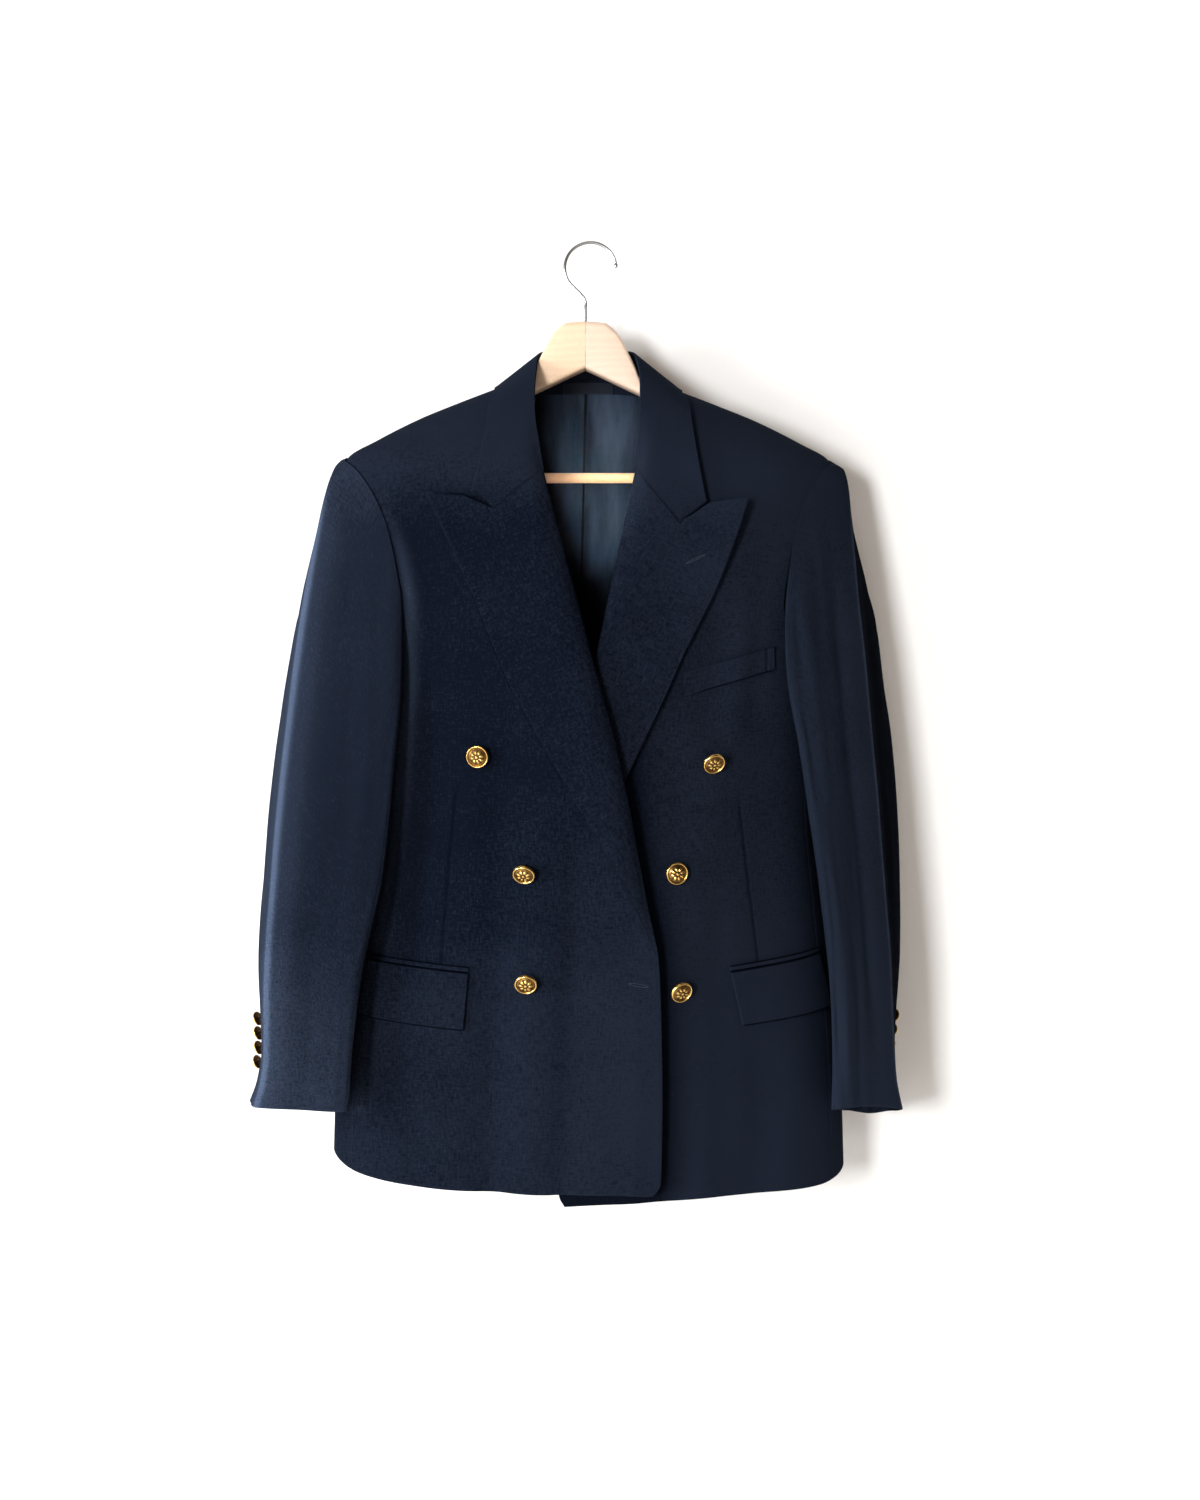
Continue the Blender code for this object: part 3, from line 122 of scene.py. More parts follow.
# Turns at the rows of a front and of a back that lie round the armhole
FRONT_TURNS = (0.4, 0.35, 0.3, 0.24, 0.17, 0.1, 0.05, 0.025, 0.01, 0.0)
BACK_TURNS = (0.6, 0.66, 0.73, 0.8, 0.87, 0.94, 0.98, 1.0)

# The neckline from the shoulder seam down the front: angle, height; the rest goes on to the gorge
FRONT_NECK_ROWS = [(90.0, -0.1325), (75.0, -0.1345), (60.0, -0.138), (46.0, -0.145)]
BACK_NECK_ROWS = [(180.0, -0.1275), (150.0, -0.1285), (125.0, -0.13), (105.0, -0.1315), (90.0, -0.1325)]

# Front edges from the hem up the free edge and the roll line to the neck: height, x
FRONT_EDGE = {RIGHT: [
    (-0.93, 0.063), (-0.916, 0.0705), (-0.84, 0.0717), (-0.765, 0.0705), (-0.705, 0.068),
    (-0.65, 0.0575), (-0.585, 0.045), (-0.51, 0.033), (-0.43, 0.0105), (-0.365, -0.006),
    (-0.3, -0.024), (-0.2391, -0.0385), (-0.2, -0.052), (-0.17, -0.068),
], LEFT: [
    (-0.944, -0.021), (-0.93, -0.027), (-0.84, -0.029), (-0.765, -0.032), (-0.705, -0.034),
    (-0.65, -0.029), (-0.585, -0.019), (-0.51, -0.008), (-0.43, 0.005), (-0.365, 0.018),
    (-0.3, 0.031), (-0.2391, 0.044), (-0.2, 0.056), (-0.17, 0.069),
]}
# Heights of the side seam's points from the hem up to the armhole
SIDE_SEAM_HEIGHTS = (-0.89, -0.83, -0.76, -0.7, -0.64, -0.57, -0.5)
SEAM_CORNER = len(SIDE_SEAM_HEIGHTS) + 1  # the row where a side seam meets the armhole

# How far the right front stands off the left one at its free edge: height, distance
OVERLAP_ROWS = [
    (-0.95, 0.0135), (-0.75, 0.016), (-0.55, 0.017), (-0.44, 0.014), (-0.38, 0.0095),
    (-0.32, 0.005), (-0.24, 0.002), (-0.14, 0.0),
]
OVERLAP_FROM, OVERLAP_FULL = -0.13, 0.005  # x between which the right front rises

# Soft vertical folds of the fronts: top x and height, bottom x and height, half width, depth
FOLDS = [
    (-0.15, -0.27, -0.148, -0.56, 0.022, -0.003), (-0.11, -0.45, -0.125, -0.93, 0.026, 0.002),
    (-0.074, -0.4, -0.092, -0.95, 0.02, -0.0035), (-0.04, -0.52, -0.052, -0.96, 0.022, 0.0025),
    (-0.004, -0.52, -0.02, -0.96, 0.02, -0.0032), (0.128, -0.34, 0.122, -0.48, 0.02, -0.0028),
    (0.09, -0.52, 0.104, -0.96, 0.024, 0.0022), (0.165, -0.43, 0.172, -0.96, 0.028, -0.0026),
]

# Lapels, from the gorge down to the break: height and x at the roll line, height and x at the edge
LAPEL_ROWS = {RIGHT: [
    (-0.236, -0.0392, -0.256, -0.154), (-0.275, -0.03, -0.305, -0.131),
    (-0.315, -0.0195, -0.35, -0.111), (-0.365, -0.006, -0.398, -0.0915),
    (-0.42, 0.008, -0.45, -0.069), (-0.48, 0.0245, -0.505, -0.039),
    (-0.545, 0.0385, -0.565, -0.004), (-0.61, 0.05, -0.622, 0.03),
    (-0.655, 0.0582, -0.661, 0.048), (-0.69, 0.0655, -0.692, 0.062),
], LEFT: [
    (-0.232, 0.0455, -0.261, 0.153), (-0.275, 0.0365, -0.305, 0.1385),
    (-0.315, 0.0285, -0.35, 0.122), (-0.365, 0.018, -0.398, 0.099),
    (-0.42, 0.007, -0.45, 0.076), (-0.48, -0.003, -0.505, 0.05),
    (-0.545, -0.013, -0.565, 0.022), (-0.61, -0.024, -0.622, -0.006),
    (-0.66, -0.03, -0.666, -0.021),
]}
# The peak's top edge: part of the way from roll line to tip, and its drop below the straight line
PEAK_ROWS = {
    RIGHT: [(0.0, 0.0), (0.18, 0.0116), (0.413, 0.03), (0.68, 0.0105), (1.0, 0.0)],
    LEFT: [(0.0, 0.0), (0.09, 0.0099), (0.394, 0.041), (0.66, 0.0142), (1.0, 0.0)],
}
PEAK_FADE = 1.6  # rows over which the top edge's shape dies away

# The collar in front of the shoulders, from the gorge up: x and height of the neck seam, then x, y
# and height of the fold, then x and height of the outer edge
COLLAR_FRONT_ROWS = {
    RIGHT: [
        (0.046, -0.233, 0.039, -0.0905, -0.231, 0.086, -0.2735),
        (0.054, -0.213, 0.044, -0.083, -0.208, 0.1075, -0.251),
        (0.0625, -0.19, 0.049, -0.069, -0.182, 0.1019, -0.224),
        (0.0705, -0.168, 0.051, -0.049, -0.156, 0.096, -0.186),
        (0.0735, -0.151, 0.05, -0.027, -0.13, 0.0945, -0.164),
    ],
    LEFT: [
        (0.052, -0.231, 0.0455, -0.0905, -0.2275, 0.0872, -0.281),
        (0.057, -0.213, 0.048, -0.083, -0.208, 0.1148, -0.261),
        (0.064, -0.19, 0.0515, -0.069, -0.182, 0.108, -0.225),
        (0.071, -0.168, 0.053, -0.049, -0.156, 0.1022, -0.187),
        (0.075, -0.151, 0.052, -0.027, -0.13, 0.1, -0.164),
    ],
}
# The collar round the shoulders and the back of the neck: angle and height of the neck seam, then
# x, y and height of the fold, then angle and height of the outer edge
COLLAR_BACK_ROWS = [
    (68.0, -0.1375, 0.0485, -0.006, -0.113, 56.0, -0.15),
    (90.0, -0.1345, 0.0455, 0.015, -0.106, 75.0, -0.145),
    (112.0, -0.133, 0.039, 0.032, -0.102, 100.0, -0.144),
    (135.0, -0.131, 0.027, 0.042, -0.0995, 128.0, -0.1465),
    (160.0, -0.129, 0.013, 0.0465, -0.0985, 155.0, -0.15),
    (180.0, -0.1285, 0.0, 0.0475, -0.098, 180.0, -0.151),
]
COLLAR_GAP = 0.0017  # between the body and the collar's underside
COLLAR_MIDDLE = 0.35  # the fall's middle, as a part of the way from neck seam to edge
COLLAR_SWELL = 0.001  # height of the fall's middle over the neck seam
COLLAR_END_SWELL = 0.002  # the same at the gorge, where the fall lies over the lapel's end

# Sleeves, a row for each level: height, then x and y of the front fold, the ridge, the back fold
# and the inside
SLEEVE_ROWS = {RIGHT: [
    (-0.2144, 0.195, -0.067, 0.238, -0.007, 0.228, 0.033, 0.205, 0.023),
    (-0.218, 0.193, -0.068, 0.244, -0.011, 0.231, 0.034, 0.207, 0.023),
    (-0.225, 0.191, -0.069, 0.249, -0.015, 0.236, 0.035, 0.209, 0.023),
    (-0.25, 0.188, -0.071, 0.256, -0.023, 0.2505, 0.035, 0.212, 0.023),
    (-0.3, 0.184, -0.074, 0.264, -0.035, 0.267, 0.033, 0.218, 0.021),
    (-0.358, 0.1785, -0.078, 0.273, -0.047, 0.284, 0.025, 0.226, 0.015),
    (-0.42, 0.1775, -0.087, 0.282, -0.055, 0.295, 0.015, 0.24, 0.001),
    (-0.51, 0.1855, -0.093, 0.293, -0.061, 0.306, 0.005, 0.241, -0.009),
    (-0.62, 0.198, -0.093, 0.303, -0.063, 0.316, 0.001, 0.243, -0.013),
    (-0.72, 0.2175, -0.089, 0.309, -0.061, 0.3225, -0.001, 0.254, -0.015),
    (-0.8, 0.227, -0.087, 0.31, -0.059, 0.3195, -0.001, 0.262, -0.015),
    (-0.83, 0.229, -0.086, 0.3145, -0.057, 0.324, -0.001, 0.265, -0.015),
    (-0.86, 0.2335, -0.085, 0.324, -0.055, 0.335, -0.001, 0.268, -0.015),
], LEFT: [
    (-0.2144, 0.205, -0.065, 0.238, -0.007, 0.228, 0.035, 0.205, 0.023),
    (-0.218, 0.203, -0.066, 0.243, -0.01, 0.231, 0.036, 0.207, 0.023),
    (-0.225, 0.201, -0.067, 0.252, -0.013, 0.246, 0.038, 0.209, 0.023),
    (-0.25, 0.198, -0.069, 0.257, -0.019, 0.268, 0.041, 0.212, 0.023),
    (-0.3, 0.194, -0.072, 0.261, -0.031, 0.2822, 0.043, 0.218, 0.023),
    (-0.358, 0.19, -0.077, 0.265, -0.041, 0.2888, 0.041, 0.226, 0.021),
    (-0.42, 0.1935, -0.085, 0.2715, -0.047, 0.2936, 0.033, 0.235, 0.013),
    (-0.5, 0.207, -0.089, 0.2775, -0.051, 0.303, 0.025, 0.24, 0.007),
    (-0.6, 0.2215, -0.089, 0.285, -0.053, 0.3098, 0.021, 0.247, 0.001),
    (-0.7, 0.2335, -0.085, 0.293, -0.053, 0.3115, 0.019, 0.256, -0.001),
    (-0.77, 0.238, -0.083, 0.2965, -0.051, 0.3045, 0.017, 0.262, -0.003),
    (-0.82, 0.239, -0.081, 0.3, -0.049, 0.2985, 0.015, 0.264, -0.005),
    (-0.87, 0.2385, -0.079, 0.3105, -0.047, 0.3, 0.013, 0.264, -0.007),
]}
# Turns of the ridge, front fold, inside and back fold, with the middles between them
SLEEVE_CORNER_TURNS = (0.0, 0.15, 0.3, 0.415, 0.53, 0.665, 0.8, 0.9)
SLEEVE_SWELL = (0.004, 0.004, 0.006, 0.003)  # how far each middle bows out
TOP_SLEEVE_TURNS = (0.8, 0.87, 0.94, 0.98, 1.0, 1.01, 1.025, 1.05, 1.1, 1.17, 1.24, 1.3)
UNDER_SLEEVE_TURNS = (0.3, 0.35, 0.4, 0.45, 0.5, 0.55, 0.6, 0.66, 0.73, 0.8)
SLEEVE_STAND = 0.0034  # the sleeve seam lies this far outside the body at the underarm
SLEEVE_STEPS = (
    0.0, 0.006, 0.02, 0.05, 0.1, 0.17, 0.26, 0.36, 0.47, 0.59, 0.71, 0.82, 0.92, 1.0,
)
CAP_BLEND = 0.1  # the armhole's own shape dies away over this length of sleeve
CUFF_FRONT = {RIGHT: -0.85, LEFT: -0.847}
CUFF_BACK = {RIGHT: -0.852, LEFT: -0.866}

# Hip pockets: x and height of the inner and the outer end of the jet, and the flap's depth
POCKET_ROWS = {
    RIGHT: (-0.112, -0.711, -0.224, -0.699, 0.056),
    LEFT: (0.138, -0.711, 0.226, -0.696, 0.053),
}
FLAP_LEAN = {RIGHT: -0.005, LEFT: 0.012}  # how far the flap's foot moves to +X
JET_DEEP = 0.005
POCKET_GAP = 0.0012  # between the front and the jets and flaps on it
WELT_BOTTOM = (0.0915, -0.453, 0.18, -0.426)  # x and height of its two lower corners
WELT_DEEP = 0.0235
LINING_REACH = 52.0  # degrees to each side of centre back
LINING_FOOT = -0.62
LINING_GAP = 0.0016  # between the back and the lining at the neck
LINING_SLACK = 0.005  # how much further off the lining hangs below it
LABEL_SIZE = (0.053, 0.0105)
LABEL_X, LABEL_TOP = 0.001, -0.13
LABEL_GAP, LABEL_WALL = 0.0008, 0.0008

BUTTON_RADIUS, CUFF_BUTTON_RADIUS = 0.0112, 0.0072
FRONT_STAND, CUFF_STAND = 0.3, 0.3  # a level button's height over the cloth, in radii
# Front buttons: node suffix, side, x, height, then tilt down, turn to +X and spin in degrees
FRONT_BUTTONS = [
    ("right_top", RIGHT, -0.1022, -0.509, 10.0, 0.0, 12.0),
    ("right_middle", RIGHT, -0.0575, -0.619, 40.0, -6.0, -25.0),
    ("right_bottom", RIGHT, -0.056, -0.7235, 35.0, 0.0, 40.0),
    ("left_top", LEFT, 0.119, -0.515, 36.0, 5.0, 5.0),
    ("left_middle", LEFT, 0.085, -0.62, 10.0, 10.0, 18.0),
    ("left_bottom", LEFT, 0.089, -0.733, 28.0, 20.0, -10.0),
]
CUFF_BUTTON_HEIGHTS = (-0.77, -0.7845, -0.799, -0.8135)
CUFF_BUTTON_TILT, CUFF_BUTTON_SPIN = 22.0, 20.0  # degrees; the spin grows from one to the next
CUFF_SHANK_GAP = -0.0005  # the cuff buttons' shanks go into the cloth
CUFF_BUTTON_TURN = {RIGHT: 0.806, LEFT: 0.785}

# Hanger: x from the middle, top, bottom, y of its middle, thickness
ARM_ROWS = [
    (0.0, -0.0775, -0.125, 0.0, 0.024), (0.019, -0.079, -0.134, 0.0, 0.024),
    (0.026, -0.0835, -0.1374, 0.0, 0.024), (0.0335, -0.0915, -0.141, 0.0, 0.024),
    (0.0415, -0.107, -0.1448, -0.0002, 0.024), (0.05, -0.124, -0.1488, -0.0004, 0.024),
    (0.054, -0.1345, -0.1507, -0.0005, 0.024), (0.08, -0.1455, -0.1632, 0.0005, 0.024),
    (0.1, 0.0, -0.1727, 0.001, 0.025), (0.1275, 0.0, -0.1858, 0.0, 0.027),
    (0.1485, 0.0, -0.196, -0.001, 0.03), (0.1685, 0.0, -0.2054, -0.002, 0.032),
    (0.185, 0.0, -0.2133, -0.0035, 0.034), (0.1856, 0.0, -0.244, -0.0035, 0.034),
    (0.206, 0.0, -0.244, -0.005, 0.034), (0.222, 0.0, -0.236, -0.006, 0.028),
]
REST_GAP = 0.0005  # between the wood and the shoulders that lie on it
ROOF_RANGE, ROOF_HALVINGS = (-0.35, -0.12), 36  # heights between which the shoulders are looked for
HEAD_X = -0.0015

HOOK_WIRE = 0.0018  # radius
HOOK_Y = 0.0
HOOK_LOOP, HOOK_LOOP_X = 0.0255, 0.0035  # radius and middle of the loop's centre line
HOOK_START_ANGLE, HOOK_TIP_ANGLE = 215.0, 0.0  # the loop, in degrees from +X
# x and height where the wire bends from the stem to the loop
HOOK_NECK = [(-0.0016, -0.057), (-0.005, -0.051)]
HOOK_STEM = (-0.07, -0.064)  # heights up to which the stem is straight
HOOK_SOCKET = 0.012  # depth to which the stem goes into the wood
HOOK_BALL = 0.0023  # radius of the ball at its end
HOOK_RINGS, HOOK_SIDES = 170, 24
BAR_RINGS, BAR_SIDES = 60, 40
BAR_EASE = 0.995  # the bar lies this much inside its node


# ---- curves
def bend(here, there, leaving, arriving, t, length=1.0):
    """The smooth curve between two knots, from its slope as it leaves one and arrives at the other."""
    start = here * (1 + 2 * t) * (1 - t) ** 2 + there * t * t * (3 - 2 * t)
    return start + length * (leaving * t * (1 - t) ** 2 - arriving * t * t * (1 - t))


def along(rows, column, at):
    """One column of a table at given values of its first column, on a smooth curve that keeps
    between neighbouring rows."""
    knots = np.array([row[0] for row in rows], dtype=float)
    values = np.array([row[column] for row in rows], dtype=float)
    if knots[0] > knots[-1]:
        knots, values = knots[::-1], values[::-1]
    step = np.diff(knots)
    rise = np.diff(values) / step
    slope = np.concatenate([rise[:1], np.zeros(len(rise) - 1), rise[-1:]])
    for i in range(1, len(rise)):
        before, after = rise[i - 1], rise[i]
        if before * after > 0:
            slope[i] = 2.0 * before * after / (before + after)
    at = np.clip(np.asarray(at, dtype=float), knots[0], knots[-1])
    k = np.clip(np.searchsorted(knots, at) - 1, 0, len(step) - 1)
    t = (at - knots[k]) / step[k]
    return bend(values[k], values[k + 1], slope[k], slope[k + 1], t, step[k])


def smooth_step(low, high, at):
    t = np.clip((np.asarray(at, dtype=float) - low) / (high - low), 0.0, 1.0)
    return t * t * (3.0 - 2.0 * t)


def blend(a, b, t):
    return a + (b - a) * t


def hump(at, middle, half):
    """1 at the middle, falling away to both sides like a bell."""
    return np.exp(-(((at - middle) / half) ** 2))


def unit(vectors):
    return vectors / np.maximum(np.linalg.norm(vectors, axis=-1, keepdims=True), 1e-12)


# ---- the body's form
def left_drop(x, z):
    return LEFT_DROP * smooth_step(*LEFT_DROP_X, x) * smooth_step(*LEFT_DROP_Z, z)


def body_point(angle, z):
    """Points on the jacket's form; angle in radians, positive on the wearer's left."""
    angle, z = np.broadcast_arrays(np.asarray(angle, dtype=float), np.asarray(z, dtype=float))
    half, front, side, back = (along(BODY_ROWS, column, z) for column in (1, 2, 3, 4))
    across = np.sign(np.sin(angle)) * np.abs(np.sin(angle)) ** (2.0 / ROUNDNESS)
    deep = np.abs(np.cos(angle)) ** (2.0 / ROUNDNESS)
    reach = np.where(np.cos(angle) > 0, side - front, side - back)
    x = BODY_X + half * across
    return np.stack([x, side - reach * deep, z - left_drop(x, z)], axis=-1)


def body_normal(angle, z):
    turn, rise = 0.01, 0.002
    round_it = body_point(angle + turn, z) - body_point(angle - turn, z)
    up_it = body_point(angle, z + rise) - body_point(angle, z - rise)
    return unit(np.cross(round_it, up_it))


def off_body(angle, z, height):
    """Points that stand off the form by these heights."""
    return body_point(angle, z) + body_normal(angle, z) * height[..., None]


def angle_at(x, z):
    """The angle of the front's point at this x."""
    share = np.clip(np.abs(np.asarray(x) - BODY_X) / along(BODY_ROWS, 1, z), 0.0, 1.0)
    return np.sign(np.asarray(x) - BODY_X) * np.arcsin(share ** (ROUNDNESS / 2.0))


def armhole(side, turn):
    """Angle and height of a point on the armhole."""
    shift = LEFT_ARMHOLE_SHIFT if side == LEFT else 0.0
    front = np.clip(np.sin(np.pi * np.clip(np.asarray(turn) / 0.6, 0.0, 1.0)), 0.0, 1.0)
    degrees = along(ARMHOLE_ROWS, 1, turn) + shift * front
    return side * np.radians(degrees), along(ARMHOLE_ROWS, 2, turn)


# ---- meshes
RIM_STEPS = 5  # points round a turned edge, from face to face
SEAM_LAP = 0.00012  # how far two seamed edges run into each other, so no light comes through
FLUSH_LAP = 0.0008  # the same where a seam is pressed flat


def grid_normals(grid):
    down = np.gradient(grid, axis=0)
    over = np.gradient(grid, axis=1)
    return unit(np.cross(over, down))


def spread(start, end, columns):
    """Rows of values from start to end, at the given parts of the way."""
    return start[:, None] + (end - start)[:, None] * np.asarray(columns)[None, :]


def grid_quads(rows, columns):
    a = (np.arange(rows - 1)[:, None] * columns + np.arange(columns - 1)[None, :]).reshape(-1)
    return np.stack([a, a + 1, a + columns + 1, a + columns], axis=-1)


def border_of(rows, columns):
    """Rows and columns of a grid's border, once round, and of the points next to them inside."""
    down, over = np.arange(rows), np.arange(columns)
    i = np.concatenate([0 * over, down[1:], 0 * over[1:] + rows - 1, down[-2:0:-1]])
    j = np.concatenate([over, 0 * down[1:] + columns - 1, over[-2::-1], 0 * down[-2:0:-1]])
    return i, j, np.clip(i, 1, rows - 2), np.clip(j, 1, columns - 2)


def shifted_in(grid, gaps):
    """The grid with its first row, last row, first column and last column moved in."""
    grid = grid.copy()
    for axis, (first, last) in enumerate((gaps[:2], gaps[2:])):
        moved = np.moveaxis(grid, axis, 0)
        moved[0] += unit(moved[1] - moved[0]) * np.asarray(first)[..., None]
        moved[-1] += unit(moved[-2] - moved[-1]) * np.asarray(last)[..., None]
    return grid


def lengths(points, axis=0):
    """Distances along a path, or along one way of a grid, from its start."""
    run = np.cumsum(np.linalg.norm(np.diff(points, axis=axis), axis=-1), axis=axis)
    return np.insert(run, 0, 0.0, axis=axis)


def arc_map(grid):
    """Distances over and down a grid, in metres, from its middle column."""
    over = lengths(grid, 1)
    return np.stack([over - over[:, over.shape[1] // 2][:, None], lengths(grid)], axis=-1)


def edge_distance(grid):
    """How far each point lies from the nearest edge, over and down the grid."""
    starts = [lengths(grid, axis) for axis in (0, 1)]
    return np.minimum(*(np.minimum(start, np.take(start, [-1], axis=axis) - start)
                        for axis, start in enumerate(starts)))


def ring_quads(rings, count):
    """Faces between closed rings of points, each next to the one before."""
    first = np.arange(rings - 1)[:, None] * count
    a = (first + np.arange(count)[None, :]).reshape(-1)
    b = (first + (np.arange(count) + 1)[None, :] % count).reshape(-1)
    return np.stack([a, b, b + count, a + count], axis=-1).tolist()


def new_mesh(name, points, faces, edges=()):
    mesh = bpy.data.meshes.new(name)
    mesh.from_pydata(points, edges, faces)
    return mesh


def placed(name, mesh, finish):
    item = bpy.data.objects.new(name, mesh)
    mesh.materials.append(finish)
    bpy.context.scene.collection.objects.link(item)
    return item


def closed(name, mesh, finish):
    """The object of a closed mesh, its faces turned outwards and shaded smooth."""
    build = bmesh.new()
    build.from_mesh(mesh)
    bmesh.ops.recalc_face_normals(build, faces=build.faces)
    build.to_mesh(mesh)
    build.free()
    mesh.shade_smooth()
    return placed(name, mesh, finish)


def cloth_wall(name, outer, inner, finish, chart, painted_light=0.0):
    """A closed wall between two grids, its four edges turned round, with the cloth's own map and
    painted light: above 0 painted paler as if more lit, below 0 painted darker as shade."""
    rows, columns = outer.shape[:2]
    i, j, near_i, near_j = border_of(rows, columns)
    middle, half = (outer + inner) / 2, (outer - inner) / 2
    rim_middle, rim_half = middle[i, j], half[i, j]
    away = rim_middle - middle[near_i, near_j]
    along_half = unit(rim_half)
    away = unit(away - along_half * np.sum(away * along_half, axis=-1, keepdims=True))
    reach = np.linalg.norm(rim_half, axis=-1, keepdims=True)
    count, round_it = rows * columns, len(i)
    points = [outer.reshape(-1, 3), inner.reshape(-1, 3)]
    rings = [i * columns + j]
    for step in range(1, RIM_STEPS):
        turn = math.pi * step / RIM_STEPS
        points.append(rim_middle + rim_half * math.cos(turn) + away * reach * math.sin(turn))
        rings.append(2 * count + (step - 1) * round_it + np.arange(round_it))
    rings.append(count + i * columns + j)
    quads = grid_quads(rows, columns)
    faces = [quads, quads[:, ::-1] + count]
    for here, there in zip(rings[:-1], rings[1:]):
        faces.append(np.stack([np.roll(here, -1), here, there, np.roll(there, -1)], axis=-1))
    faces = np.concatenate(faces)
    points = np.concatenate(points)
    mesh = new_mesh(name, points.tolist(), faces.tolist())
    flat = chart.reshape(-1, 2)
    rim_flat = np.tile(chart[i, j], (RIM_STEPS - 1, 1))
    chart_points = np.concatenate([flat, flat, rim_flat])
    layer = mesh.uv_layers.new(name="cloth")
    layer.data.foreach_set("uv", chart_points[faces.reshape(-1)].reshape(-1).astype(np.float32))
    distance = edge_distance(middle).reshape(-1)
    distance = np.concatenate([distance, distance, np.zeros(round_it * (RIM_STEPS - 1))])
    painted_light = np.broadcast_to(painted_light, (rows, columns))
    painted_light = np.concatenate([painted_light.reshape(-1), painted_light.reshape(-1), np.tile(painted_light[i, j], RIM_STEPS - 1)])
    for key, values in (("edge", distance), ("painted_light", painted_light)):
        mesh.attributes.new(key, "FLOAT", "POINT").data.foreach_set("value", values.astype(np.float32))
    return closed(name, mesh, finish)


def tube(name, path, radii, sides, finish):
    """A round bar along a path of points, closed at both ends; its radius may change on the way."""
    tangent = unit(np.gradient(path, axis=0))
    side = unit(np.cross(tangent, [0.0, 1.0, 0.0]))
    up = np.cross(side, tangent)
    around = np.linspace(0.0, 2.0 * math.pi, sides, endpoint=False)
    ring = side[:, None] * np.cos(around)[None, :, None] + up[:, None] * np.sin(around)[None, :, None]
    body = path[:, None] + ring * radii[:, None, None]
    points = np.concatenate([body.reshape(-1, 3), path[:1], path[-1:]])
    first, last = len(points) - 2, len(points) - 1
    foot = (len(path) - 1) * sides
    caps = [(first, (k + 1) % sides, k) for k in range(sides)]
    caps += [(last, foot + k, foot + (k + 1) % sides) for k in range(sides)]
    mesh = new_mesh(name, points.tolist(), ring_quads(len(path), sides) + caps)
    return closed(name, mesh, finish)


# ---- finishes
def joined(operation, reflected=False):
    """A method of Value that joins two values with a Math node."""
    def method(self, other):
        return self.maths(operation, *((other, self) if reflected else (self, other)))

    return method


class Value:
    """A number that changes over a surface; arithmetic on it adds Math nodes."""

    def __init__(self, finish, socket):
        self.finish, self.socket = finish, socket

    def maths(self, operation, *values):
        return self.finish.value("ShaderNodeMath", {"operation": operation}, dict(enumerate(values)))

    __add__, __radd__ = joined("ADD"), joined("ADD", True)
    __sub__, __rsub__ = joined("SUBTRACT"), joined("SUBTRACT", True)
    __mul__, __rmul__ = joined("MULTIPLY"), joined("MULTIPLY", True)
    most, least, below = joined("MAXIMUM"), joined("MINIMUM"), joined("LESS_THAN")

    def __neg__(self):
        return self.maths("MULTIPLY", self, -1.0)

    def sine(self):
        return self.maths("SINE", self)

    def size(self):
        return self.maths("ABSOLUTE", self)

    def wave(self, pitch):
        """A sine that repeats at this distance."""
        return (self * (2.0 * math.pi / pitch)).sine()

    def ramp(self, low, high):
        """0 below low, 1 above high, and smooth between them."""
        sockets = {"Value": self, "From Min": low, "From Max": high}
        return self.finish.value("ShaderNodeMapRange", {"interpolation_type": "SMOOTHSTEP"}, sockets)


